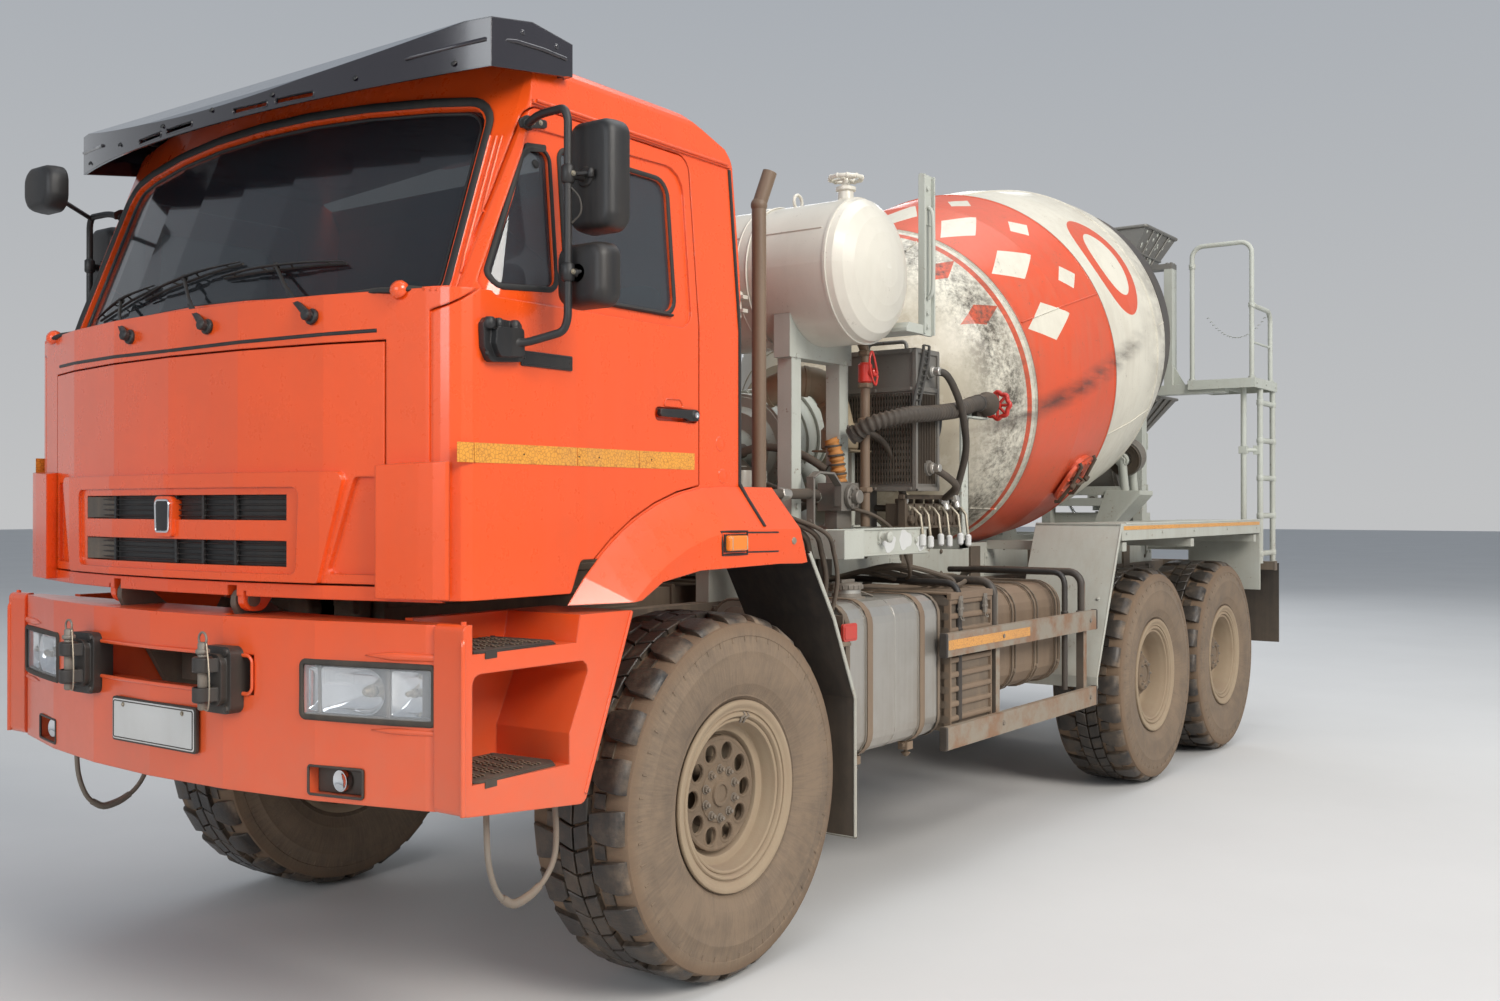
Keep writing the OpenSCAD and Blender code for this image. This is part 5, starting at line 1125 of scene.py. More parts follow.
def mirror_set(side, sign):
    """Two mirror heads on a bent tube, with foot, bracket, bolts and leads; the right side has a third."""
    node = "mirrors_" + side
    body = "door_" + side
    flip = (lambda a, b: (a, b)) if sign > 0 else (lambda a, b: (-b, -a))
    shells = Piece("mirror_shells_" + side)
    faces = Piece("mirror_glass_" + side)
    heads = [(766, (1214, 1390), (2388, 2708), 46, 82), (802, (1200, 1386), (2168, 2352), 44, 78)]
    for x, y, z, r, deep in heads:
        head_shell(shells, x, flip(*y), z, r, deep)
        faces.prism(rectangle((flip(*y)[0] + 10, flip(*y)[1] - 10), (z[0] + 10, z[1] - 10), r - 6, 6), "x",
            x - 1, x + 2)
    fittings = Piece("mirror_fittings_" + side)
    tube_at = (902, sign * 1276)
    tube = bend([(880, sign * 1086, 2712), (892, sign * 1150, 2732), (902, sign * 1262, 2730),
        (*tube_at, 2700), (*tube_at, 2130), (905, sign * 1262, 2095), (975, sign * 1180, 2062),
        (1012, sign * 1150, 2060)], 40, 6)
    fittings.sweep(tube, 12, 12)
    for z, reach in ((2540, 50), (2262, 24)):
        fittings.disc((*tube_at, z - 26), UP, 19, 0, 52, 5, 20)
        fittings.sweep([(*tube_at, z), (902 - reach, sign * 1288, z)], 13, 12)
        fittings.disc((902 - reach - 10, sign * 1292, z), AHEAD, 30, 0, 12, 4, 24)
        fittings.sweep([(896, sign * 1276, z), (870, sign * 1312, z + 4), (862, sign * 1326, z + 4)], 6, 8)
        fittings.disc((862, sign * 1326, z - 8), UP, 10, 0, 26, 3, 12)
    # Foot on the door, with its hinge barrels and bolts
    y = HALF_CAB
    foot = rounded([(950, 2012, 16), (1080, 2002, 20), (1102, 2040, 20), (1106, 2108, 16), (1090, 2126, 10),
        (960, 2122, 12)], 5)
    fittings.prism(foot, "y", *sided(sign, y + 0.5, y + 22))
    fittings.prism(rounded([(968, 2024, 14), (1062, 2016, 18), (1080, 2052, 18), (1076, 2098, 12),
        (972, 2104, 12)], 5), "y", *sided(sign, y + 20, y + 44))
    for x, r in ((1086, 17), (1052, 14), (990, 16)):
        fittings.disc((x, sign * (y + 24), 2092), UP, r, 0, 34, 6, 20)
    fittings.bolts([(1090, sign * (y + 20), 2024), (960, sign * (y + 20), 2030)], LEFT * sign, 7, 6)
    # Plate of the upper bracket, along the window's top
    upper = rounded([(800, 2722, 6), (905, 2700, 8), (912, 2724, 8), (884, 2742, 10), (800, 2744, 6)], 4)
    door = Skin("door_" + side)
    out = door.side(840, 2724, 2, sign).y
    fittings.prism(upper, "y", *sorted((out - sign * 2, out + sign * 6)))
    fittings.sweep([(872, out, 2712), (880, sign * 1100, 2716)], 15, 12)
    if sign < 0:
        fittings.sweep([(902, -1262, 2723), (1040, -1214, 2762), (1125, -1180, 2790)], 9, 10)
        head_shell(shells, 1087, (-1280, -1082), (2702, 2872), 60, 76)
        faces.prism(rectangle((-1270, -1092), (2712, 2862), 52, 6), "x", 1086, 1089)
    shells.end(BLACK, body, bevel=2, replaces=[node], angle=30)
    faces.end(MIRROR, body, replaces=[node])
    fittings.end(BLACK, body, replaces=[node], angle=45)
    bolts = Piece("mirror_bolts_" + side)
    bolts.bolts([(826, out + sign * 5, 2732), (856, out + sign * 5, 2728)], LEFT * sign, 6, 5)
    bolts.bolts([(902, sign * 1296, 2540), (902, sign * 1296, 2262)], LEFT * sign, 6, 6)
    bolts.end(BRASS, body, replaces=[node])
    lead = Piece("mirror_lead_" + side)
    lead.sweep(smooth([(902, sign * 1289, 2500), (886, sign * 1306, 2470), (884, sign * 1308, 2430),
        (900, sign * 1289, 2400)], 5), 3, 8)
    lead.sweep(smooth([(1002, sign * 1158, 2052), (990, sign * 1170, 2040), (985, sign * 1156, 2030),
        (1000, sign * 1140, 2036)], 5), 3, 8)
    lead.end(HOSE, body, replaces=[node])


for make in (window_surrounds, door_handle, door_marks, cab_edges, mirror_set):
    mirrored(make)


# Bumper: headlights, marker pockets, bare plate, towing forks, steps and the wire foothold

BUMPER_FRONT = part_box("bumper")[1].x / MM - AXLE_X / MM
FRONT_R = 3600
LAMP_Y = (665, 1095)
LAMP_Z = (1008, 1164)
STEP_FRONT = 1238
STEP_Y = 1225


def bumper_point(y, z, depth=0.0, sign=1):
    return (BUMPER_FRONT - FRONT_R + math.sqrt(FRONT_R * FRONT_R - y * y) - depth, sign * y, z)


def across_bumper(piece, outline, near, far, sign=1):
    """An outline in (y, z) between two depths under the bumper's curved skin."""
    rings = [[bumper_point(y, z, depth, sign) for y, z in outline] for depth in (far, near)]
    piece.loft(rings)


def headlight(side, sign):
    """Gasket, tray, bowls, bulbs and lens of a headlight, and the lips of the bumper round it."""
    opening = rectangle(LAMP_Y, LAMP_Z, 14, 5)
    gasket = Piece("headlight_gasket_" + side)
    gasket.sweep([bumper_point(y, z, 1, sign) for y, z in spread(opening, 50, True)], 9, 10, closed=True,
        flat=0.7, up=AHEAD)
    gasket.end(RUBBER, replaces=["lamps"])

    tray = Piece("headlight_tray_" + side)
    across_bumper(tray, rectangle((668, 1092), (1011, 1161), 12), 46, 53, sign)
    for y, w in ((716, 5), (944, 5)):
        across_bumper(tray, [(y - w, 1011), (y + w, 1011), (y + w, 1161), (y - w, 1161)], 14, 50, sign)
    for z in ((1011, 1018), (1154, 1161)):
        across_bumper(tray, [(668, z[0]), (880, z[0]), (1092, z[0]), (1092, z[1]), (880, z[1]), (668, z[1])],
            10, 50, sign)
    tray.end(CHASSIS, replaces=["lamps"])

    bowls = Piece("headlight_bowls_" + side)
    # Main bowl with a broad round outer end
    main = rounded([(726, 1022, 12), (936, 1022, 62), (936, 1150, 62), (726, 1150, 12)], 8)
    centre = (866, 1086)
    rings = []
    for share, depth in ((1.0, 12), (0.97, 13), (0.9, 22), (0.74, 34), (0.5, 42), (0.24, 45), (0.14, 44)):
        rings.append([bumper_point(centre[0] + (y - centre[0]) * share, centre[1] + (z - centre[1]) * share,
            depth, sign) for y, z in main])
    bowls.loft(rings, caps=False)
    # Small inner chamber, and the turn lamp's fluted bowl
    for low, high in ((676, 708), (954, 1048)):
        outline = rectangle((low, high), (1024, 1148), 8)
        cy = (low + high) / 2
        bowls.loft([[bumper_point(cy + (y - cy) * s, 1086 + (z - 1086) * s, depth, sign) for y, z in outline]
            for s, depth in ((1, 15), (0.86, 30), (0.6, 40), (0.2, 44))], caps=False)
    for k in range(8):
        foot = bumper_point(1070, 1030 + 16 * k, 30, sign)
        bowls.lathe([(POLE, 10), (4, 9), (6.5, 5), (7, 0)], foot, AHEAD, 14)
    bowls.end(CHROME, replaces=["lamps"], angle=30)

    bulbs = Piece("headlight_bulbs_" + side)
    for y, r in ((866, 14), (1000, 9)):
        foot = bumper_point(y, 1086, 46, sign)
        bulbs.lathe([(POLE, 34), (r * 0.6, 32), (r, 24), (r, 12), (r * 1.3, 10), (r * 1.3, 0)], foot, AHEAD,
            20)
    bulbs.end(BRASS, replaces=["lamps"])

    lens = Piece("headlight_lens_" + side)
    across_bumper(lens, spread(rectangle((669, 1091), (1012, 1160), 11), 50, True), 3, 6, sign)
    for k in range(14):
        y = 735 + 8 * k
        lens.sweep([bumper_point(y, z, 3.2, sign) for z in (1104, 1148)], 2.2, 6)
    lens.end(LENS, replaces=["lamps"])

    # Rounded lips of the bumper over and under the lamp
    lips = Piece("lamp_lips_" + side)
    for z, low, high, r in ((1190, 880, 1190, 11), (985, 900, 1140, 8)):
        line = [bumper_point(y, z, 3, sign) for y in range(low, min(high, 1150), 30)]
        lips.sweep(line, lambda t, r=r: 1 + r * min(1, 3 * t), 10, flat=0.7, up=AHEAD)
    lips.end(ORANGE, angle=60)


def marker_pocket(side, sign):
    """Dark pocket low in the bumper, with its frame and a small round lamp at the back."""
    frame_piece = Piece("bumper_pocket_frame_" + side)
    frame_piece.sweep([bumper_point(y, z, 1, sign) for y, z in spread(rectangle((690, 875), (792, 872), 8),
        50, True)], 4, 8, closed=True)
    across_bumper(frame_piece, rectangle((692, 873), (794, 870), 6), 34, 39, sign)
    frame_piece.end(BLACK)
    lamp = Piece("bumper_pocket_lamp_" + side)
    foot = bumper_point(782, 832, 36, sign)
    lamp.lathe([(POLE, 14), (20, 15), (26, 18), (30, 18), (31, 0)], foot, AHEAD, 32)
    lamp.end(CHROME)


def number_plate():
    """Bare plate in its holder, below the slot."""
    y, z = (-197, 247), (872, 998)
    x = BUMPER_FRONT + 3
    holder = Piece("plate_holder")
    holder.prism(rectangle((y[0] - 6, y[1] + 6), (z[0] - 6, z[1] + 6), 10), "x", x - 10, x + 3)
    holder.end(BLACK, bevel=2)
    plate = Piece("blank_plate")
    plate.prism(rectangle(y, z, 9), "x", x + 3, x + 5)
    plate.end(PLATE, bevel=0.8)
    rim = Piece("plate_rim")
    rim.sweep([(x + 5.4, u, v) for u, v in rectangle((y[0] + 6, y[1] - 6), (z[0] + 6, z[1] - 6), 6, 6)], 1.7,
        6, closed=True)
    rim.end(BLACK)
    screws = Piece("plate_screws")
    screws.bolts([(x + 4, u, z[1] - 16) for u in (y[0] + 60, y[1] - 60)], AHEAD, 6, 5)
    screws.end(BRASS)
    slot = Piece("bumper_slot_lip")
    slot.sweep([(BUMPER_FRONT + 1 - (u * u) / (2 * FRONT_R), u, v) for u, v in spread(rectangle((-478, 478),
        (1058, 1169), 22), 60, True)], 6, 8, closed=True, flat=0.7)
    slot.end(ORANGE, angle=60)


def tow_fork(side, sign):
    """Forged fork with its pin, ring and keeper wire."""
    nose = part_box("tow_forks")[1].x / MM - AXLE_X / MM
    cast = Piece("tow_fork_" + side)
    base = BUMPER_FRONT - 12
    middle = sign * 370
    cast.prism(rectangle((middle - 70, middle + 70), (1000, 1195), 26), "x", base - 40, base + 26)
    cast.prism(rectangle((middle - 54, middle + 54), (1024, 1174), 30), "x", base + 20, base + 46)
    for low, high, lean in ((1040, 1080, -1), (1124, 1164, 1)):
        side_line = [(base + 20, middle - 52, 4), (nose - 46, middle - 38, 20), (nose - 4, middle - 24, 26),
            (nose - 4, middle + 24, 26), (nose - 46, middle + 38, 20), (base + 20, middle + 52, 4)]
        cast.prism(rounded(side_line, 5), "z", low, high)
        cast.disc((nose - 30, middle, low - (4 if lean < 0 else 0)), UP, 29, 0, high - low + 4, 4, 32)
        edge = low if lean > 0 else high
        cast.prism([(base + 40, edge), (nose - 62, edge), (base + 40, edge - lean * 30)], "y", middle - 9,
            middle + 9)
    cast.bolts([(base + 24, middle + u, v) for u in (-52, 52) for v in (1016, 1180)], AHEAD, 11, 9)
    cast.end(BLACK, bevel=6, bevel_steps=3, replaces=["tow_forks"])
    pin = Piece("tow_pin_" + side)
    pin.disc((nose - 30, middle, 1014), UP, 14, 0, 196, 4, 24)
    pin.disc((nose - 30, middle, 1176), UP, 20, 0, 14, 3, 24)
    ring = [(nose - 30, middle + 19 * cos(a), 1219 + 19 * sin(a)) for a in angles(20)]
    pin.sweep(ring, 3.5, 8, closed=True)
    pin.end(GREY_STEEL, replaces=["tow_forks"], angle=50)
    keeper = Piece("tow_keeper_" + side)
    keeper.sweep(smooth([(nose - 30, middle + 18, 1206), (nose - 20, middle + 44, 1150),
        (nose - 18, middle + 52, 1080), (nose - 24, middle + 36, 1020), (nose - 30, middle + 4, 1018)], 6),
        2.2, 6)
    keeper.end(BRASS, replaces=["tow_forks"])


def step_tread(piece, slab, outline, z, sign):
    """Worn plate with four groups of raised teeth and a folded, slotted front edge."""
    slab.prism([(x, sign * y) for x, y in outline], "z", z, z + 7)
    slab.prism([(x, sign * y) for x, y in [(875, 1192), (1160, 1212), (1160, 1218), (870, 1199)]], "z",
        z - 16, z + 4)
    for column in range(4):
        for row in range(7):
            for k in range(3):
                x = 905 + column * 72 + k * 15 + (7 if row % 2 else 0)
                y = 960 + row * 34
                if y > 1196 or x > 1168:
                    continue
                piece.prism([(x - 5, sign * (y - 13)), (x + 2, sign * (y - 11)), (x + 6, sign * (y + 13)),
                    (x - 1, sign * (y + 11))], "z", z + 6.5, z + 11)


def steps(side, sign):
    """Both treads of a step box, its flange, and the wire foothold under it."""
    slab = Piece("step_plates_" + side)
    teeth = Piece("step_teeth_" + side)
    shape = [(856, 930), (1192, 930), (1192, 1205), (1160, 1216), (872, 1196), (838, 1150)]
    for z in (855.5, 1204.5):
        step_tread(teeth, slab, shape, z, sign)
    slab.bolts([(x, sign * 950, z) for x in (880, 1020, 1160) for z in (862, 1211)], UP, 8, 5)
    slab.end(RUBBER, bevel=1.5)
    teeth.end(IRON, bevel=1, bevel_steps=1)
    flange = Piece("step_flange_" + side)
    line = bend([(STEP_FRONT - 2, sign * (STEP_Y - 12), 776), (STEP_FRONT - 2, sign * (STEP_Y - 12), 1240),
        (STEP_FRONT - 24, sign * (STEP_Y - 34), 1262), (STEP_FRONT - 24, sign * (STEP_Y - 34), 1292)], 14, 4)
    flange.sweep(line, 8, 10)
    rear = [(764 - (z - 740) * 0.395 + 6, sign * (STEP_Y - 10), z) for z in range(760, 1281, 52)]
    flange.sweep(rear, 6, 8)
    flange.end(ORANGE, angle=60)
    link = Piece("step_foothold_" + side)
    y = sign * 1100
    loop = smooth([(x, y, z) for x, z in ((1046, 792), (1045, 700), (1036, 590), (1000, 500), (940, 458),
        (880, 466), (815, 500), (772, 560), (765, 640), (772, 720), (782, 792))], 5)
    link.sweep(loop, 9, 10)
    link.sweep(smooth([(x, y, z) for x, z in ((985, 484), (940, 458), (880, 466), (835, 486))], 4),
        lambda t: 12 + 2 * sin(pi * t), 10)
    for x in (1046, 781):
        link.disc((x, y, 762), UP, 14, 0, 34, 3, 16)
    link.end(GREY_STEEL, angle=60)


def fender_details(side, sign):
    """Side lamp in its long pocket, a screw, and the rolled lip of the arch."""
    skin = Skin("fenders")
    pocket = Piece("fender_lamp_pocket_" + side)
    shape = [(-4, 1440), (-4, 1516), (134, 1516), (134, 1440)]
    pocket.sweep([skin.side(x, z, 0.5, sign) for x, z in spread(shape, 40, True)], 4.5, 8, closed=True)
    for ledge in (1512, 1446):
        pocket.sweep([skin.side(x, z, 0, sign) for x, z in spread([(-6, ledge), (-190, ledge - 2)], 30)], 3,
            6)
    foot = skin.side(64, 1478, 0, sign)
    pocket.prism([(4, 1448), (126, 1448), (126, 1508), (4, 1508)], "y", foot.y - sign * 3, foot.y + sign * 4)
    pocket.end(BLACK, "cab")
    lamp = Piece("fender_lamp_" + side)
    y = foot.y + sign * 3
    lamp.loft([[(u, y + sign * h, v) for u, v in rectangle((12 + i, 118 - i), (1452 + i, 1504 - i),
        8 - i * 0.4)] for i, h in ((0, 0), (0, 12), (2, 17), (6, 20))])
    lamp.end(AMBER, "cab", angle=30)
    bars = Piece("fender_lamp_bars_" + side)
    for x in (24, 106):
        bars.sweep([(x, y + sign * 19, 1456), (x, y + sign * 19, 1500)], 2.5, 6)
    spot = skin.side(-288, 1478, 0, sign)
    bars.lathe([(POLE, 3), (5, 4), (11, 4), (13, 1), (13, 0)], spot, LEFT * sign, 20)
    bars.end(BRASS, "cab")


for make in (headlight, marker_pocket, tow_fork, steps, fender_details):
    mirrored(make)
number_plate()


# Chassis: tanks, guards, springs, brake parts, pipes and mud flaps

RAIL_TOP = 1190
RAIL_Y = 405
DECK_Z = 1390
BOGIE_X = (MIDDLE_X + REAR_X) / 2
FUEL_X = (-1540, -772)
OIL_X = (-3000, -2080)
GUARD_Y = 1225
FLAP_Y = 1236
AIR_TANKS = (-700, -780)
CRANK_Z = 1250


def band(piece, x, y, z, r, width=44, thick=7):
    """A flat strap round a tank that lies along the truck."""
    piece.plate([rectangle((y[0] - thick, y[1] + thick), (z[0] - thick, z[1] + thick), r + thick),
        rectangle(y, z, r)], "x", x - width / 2, x + width / 2)


def fuel_tank_details():
    """Pressed end covers in a dark grey that is painted shade of the tank's ends, rolled seams, straps with
    their tension bolts, and the filler.
    """
    body = Piece("fuel_tank_ends_painted_shade")
    for x, sign in ((FUEL_X[1], 1), (FUEL_X[0], -1)):
        rings = []
        for inset, out in ((-4, -26), (-5, -6), (-2, 2), (4, 2), (8, -2), (26, -3), (40, 9), (70, 15),
                (140, 18)):
            rings.append([(x + sign * out, u, v) for u, v in rectangle((520 + inset, 1160 - inset),
                (610 + inset, 1220 - inset), 90 - inset * 0.4)])
        body.loft(rings, caps=False)
        body.add(rings[-1], [tuple(range(len(rings[-1])))])
    # Dark grey as painted shade of the silver tank's ends
    body.end(CHASSIS, angle=30)
    seam = Piece("fuel_tank_seams")
    for x in (-1155, -930, -1380):
        seam.sweep([(x, u, v) for u, v in rectangle((521, 1159), (611, 1219), 89, 8)], 3, 8, closed=True,
            flat=0.5)
    seam.sweep([(x, 840, 1221) for x in range(-1530, -780, 60)], 3, 6)
    seam.end(SILVER, angle=60)
    straps = Piece("fuel_tank_straps")
    bolts = Piece("fuel_tank_strap_bolts")
    for x in (FUEL_X[0] + 170, FUEL_X[1] - 170):
        band(straps, x, (513, 1167), (603, 1227), 97, 40, 3)
        straps.brick((x - 24, x + 24), (1064, 1110), (570, 604))
        bolts.disc((x, 1088, 540), UP, 9, 0, 62, 1, 12)
        bolts.bolts([(x, 1088, 556)], -UP, 15, 12)
        bolts.disc((x - 40, 1088, 590), AHEAD, 11, 0, 80, 2, 16)
    straps.end(BROWN, bevel=1.5)
    bolts.end(IRON, angle=40)
    cap = Piece("fuel_filler_cap")
    at = (FUEL_X[1] - 330, 960, 1219)
    cap.lathe([(78, 0), (78, 6), (62, 9), (58, 36), (66, 38), (67, 58), (60, 64), (30, 67), (POLE, 67)], at,
        UP, 40)
    for a in angles(18):
        x, y = at[0] + 66 * cos(a), at[1] + 66 * sin(a)
        cap.brick((x - 3, x + 3), (y - 3, y + 3), (at[2] + 40, at[2] + 56))
    x, y, z = at
    cap.brick((x - 50, x + 50), (y - 9, y + 9), (z + 64, z + 78))
    cap.sweep(smooth([(x - 40, y + 40, z + 30), (x - 90, y + 70, z + 8), (x - 130, y + 30, z + 5),
        (x - 150, y - 30, z + 4)], 6), 3, 6)
    cap.end(GREY_STEEL, bevel=1.2)


def battery_details():
    """Ribbed cover with a lifting edge, latches and a step rail."""
    cover = Piece("battery_cover_ribs")
    for z in range(655, 1168, 64):
        cover.sweep([(x, 1177, z + 16) for x in (-1996, -1604)], 13, 12, flat=0.5, up=LEFT)
    for x in (-1999, -1601):
        cover.brick((x - 6, x + 6), (1150, 1184), (636, 1200))
    cover.brick((-2006, -1594), (1166, 1188), (1192, 1222))
    cover.brick((-2006, -1594), (540, 1170), (1214, 1224))
    cover.end(BROWN, bevel=4)
    latch = Piece("battery_latches")
    for x in (-1920, -1680):
        latch.brick((x - 16, x + 16), (1186, 1194), (1120, 1206))
        latch.sweep(smooth([(x - 10, 1196, 1112), (x, 1206, 1100), (x + 10, 1196, 1112), (x + 10, 1197, 1180),
            (x - 10, 1197, 1180)], 4), 3, 6)
        latch.disc((x - 18, 1190, 1150), AHEAD, 8, 0, 36, 1, 12)
    latch.end(GREY_STEEL, bevel=1)


def oil_tank_details():
    """Seams, paired straps and cap of the oil tank, and the cables over the tanks."""
    seams = Piece("oil_tank_seams")
    for x in (-2992, -2672, -2412, -2088):
        seams.sweep([(x, u, v) for u, v in rectangle((519, 1091), (699, 1206), 121, 8)], 4, 8, closed=True)
    seams.end(BROWN, angle=60)
    straps = Piece("oil_tank_straps")
    for x in range(-2940, -2100, 260):
        for shift in (-18, 18):
            band(straps, x + shift, (513, 1097), (693, 1212), 127, 9, 5)
        straps.bolts([(x, 1096, 800)], LEFT, 10, 12)
    straps.end(CHASSIS, bevel=1.5)
    cap = Piece("oil_tank_cap")
    at = (OIL_X[1] - 190, 800, 1204)
    cap.lathe([(60, 0), (60, 8), (47, 12), (47, 40), (56, 42), (56, 60), (48, 66), (POLE, 68)], at, UP, 36)
    for a in angles(6):
        cap.disc((at[0] + 52 * cos(a), at[1] + 52 * sin(a), at[2] + 40), UP, 9, 0, 24, 2, 12)
    cap.bolts([(at[0] + 53 * cos(a), at[1] + 53 * sin(a), at[2] + 7) for a in (0.5, 2.1, 3.7, 5.3)], UP, 5, 5)
    cap.end(IRON, bevel=1)
    loops = Piece("tank_top_cables")
    for k in range(4):
        y = 880 + 55 * k
        loops.sweep(smooth([(-1560 - 30 * k, 560, 1260), (-1600, y - 150, 1300 + 12 * k),
            (-1700 - 40 * k, y, 1262 + 6 * k), (-1860, y + 30, 1240), (-2010 - 30 * k, y - 40, 1236 + 8 * k),
            (-2160, y - 180, 1262), (-2240, 560, 1250)], 8), 9 + 2 * (k % 2), 8)
    loops.end(HOSE)


def guard_details(side, sign):
    """Bolts of the side guard, its end caps and the hoops' clamps."""
    fixings = Piece("guard_fixings_" + side)
    for x in (-3080, -2040):
        fixings.bolts([(x, sign * (GUARD_Y - 1), z) for z in (1005, 606)], LEFT * sign, 10, 7)
        fixings.brick((x - 34, x + 34), (sign * (GUARD_Y - 66), sign * (GUARD_Y - 32)), (560, 572))
        for z in (975, 1040):
            fixings.disc((x, sign * (GUARD_Y - 50), z), UP, 27, 0, 14, 3, 20)
    fixings.end(GREY_STEEL, bevel=1.5)
    tape = Piece("guard_tape_" + side)
    tape.prism(rectangle((-2330, -1500), (984, 1026), 4), "y", *sided(sign, GUARD_Y, GUARD_Y + 1.3))
    tape.end(TAPE)
    caps = Piece("guard_end_caps_" + side)
    for z in ((955, 1055), (558, 655)):
        for x in (-3168, -1487):
            span = sided(sign, GUARD_Y - 34, GUARD_Y + 2)
            caps.prism(rectangle(span, (z[0] - 3, z[1] + 3), 8), "x", x - 8, x + 8)
    caps.end(BLACK, bevel=3)
    hoops = Piece("guard_hoops_" + side)
    for x, drop in ((-1690, 660), (-2862, 665)):
        hoops.sweep(bend([(x + 10, sign * 520, 1262), (x, sign * 700, 1266), (x, sign * 1175, 1262),
            (x, sign * 1175, drop)], 70, 6), 15, 12)
        hoops.disc((x, sign * 1175, 1040), UP, 19, 0, 26, 4, 16)
    hoops.end(BLACK)


def spring_details(side, sign):
    """Clamp bolts, clips, shackles, dampers and bump stops."""
    clamps = Piece("spring_clamps_" + side)
    front_y = (RAIL_Y - 20, RAIL_Y + 65)
    rear_y = (RAIL_Y + 15, RAIL_Y + 100)
    for centre, span, y, low, high in ((0, 55, front_y, AXLE_Z - 96, AXLE_Z + 218),
            (BOGIE_X, 80, rear_y, 690, 838)):
        for dx in (-span, span):
            for dy in (y[0] - 11, y[1] + 11):
                clamps.disc((centre + dx, sign * dy, low), UP, 11, 0, high - low, 2, 12)
                clamps.bolts([(centre + dx, sign * dy, low + 22)], -UP, 17, 22)
            clamps.sweep([(centre + dx, sign * (y[0] - 11), high), (centre + dx, sign * (y[1] + 11), high)],
                11, 12)
    for dx in (-330, 330):
        clamps.brick((dx - 16, dx + 16), (sign * (front_y[0] - 6), sign * (front_y[1] + 6)),
            (AXLE_Z + 134, AXLE_Z + 206))
    clamps.end(IRON, bevel=1.5)
    damper = Piece("front_damper_" + side)
    foot, head = Vector((-90, sign * 520, AXLE_Z + 60)), Vector((-330, sign * 505, 1130))
    way = (head - foot).normalized()
    damper.disc(foot, way, 38, 0, 250, 6, 24)
    damper.disc(foot + way * 240, way, 46, 0, 220, 8, 24)
    for end in (foot, head):
        damper.disc(end - Vector((0, 34 * sign, 0)), LEFT * sign, 27, 0, 68, 4, 20)
    damper.end(BLACK)


def brake_parts(side, sign):
    """Brake chambers with their clamps, hoses and slack adjusters at the axles."""
    pots = Piece("brake_chambers_" + side)
    lines = Piece("brake_hoses_" + side)
    for x, ahead in ((0, -1), (MIDDLE_X, 1), (REAR_X, -1)):
        y = 640 if x else 610
        base = Vector((x + ahead * 120, sign * y, AXLE_Z + 130))
        pots.lathe([(POLE, -20), (60, -16), (78, 0), (84, 22), (92, 24), (92, 34), (84, 36), (80, 90),
            (84, 92), (84, 102), (74, 104), (64, 150), (POLE, 158)], base, (ahead, 0, 0.22), 32)
        pots.sweep([base, base + Vector((-ahead * 70, 0, -14))], 12, 10)
        pots.brick((x - 20 + ahead * 34, x + 20 + ahead * 34), (sign * (y - 12), sign * (y + 12)),
            (AXLE_Z - 20, AXLE_Z + 130))
        top = base + Vector((ahead * 110, 0, 80))
        lines.sweep(smooth([top, top + Vector((ahead * 30, -sign * 20, 90)),
            top + Vector((ahead * 10, -sign * 110, 190)), Vector((top.x, sign * (RAIL_Y + 20), 1080))], 8),
            10, 8)
    pots.end(IRON, bevel=1)
    lines.end(HOSE)


def rail_details(side, sign):
    """Bolt heads along the rails, bundled pipes with clips, and valve blocks."""
    heads = Piece("rail_bolts_" + side)
    y = sign * (RAIL_Y - 1)
    heads.bolts([(x, y, z) for x in (1050, 990, 610, -610, -1700, -1760, -3000, -3060, -4700, -4820, -6200)
        for z in (1020, 1130)], LEFT * sign, 11, 8)
    heads.bolts([(x, sign * (RAIL_Y - 9), z) for x in range(-6200, -1000, 400)
        for z in (RAIL_TOP + 40, DECK_Z - 40)], LEFT * sign, 11, 8)
    for x in range(-5800, -1200, 800):
        heads.brick((x - 60, x + 60), (sign * (RAIL_Y - 12), sign * (RAIL_Y + 4)), (1080, DECK_Z - 20))
    heads.end(CHASSIS, bevel=1.2, bevel_steps=1)
    lines = Piece("rail_pipes_" + side)
    for k in range(3):
        v = RAIL_TOP - 30 - 26 * k
        lines.sweep(smooth([(x, sign * (RAIL_Y + 14), v + rise) for x, rise in ((-900, 0), (-1800, -6 * k),
            (-3200, 0), (-4300, 8), (-5300, 0), (-6300, -10))], 10), 9, 8)
    lines.end(HOSE)
    clips = Piece("rail_pipe_clips_" + side)
    for x in range(-6200, -900, 330):
        clips.brick((x - 9, x + 9), (sign * (RAIL_Y - 2), sign * (RAIL_Y + 28)), (1092, 1176))
    clips.end(GREY_STEEL, bevel=2)


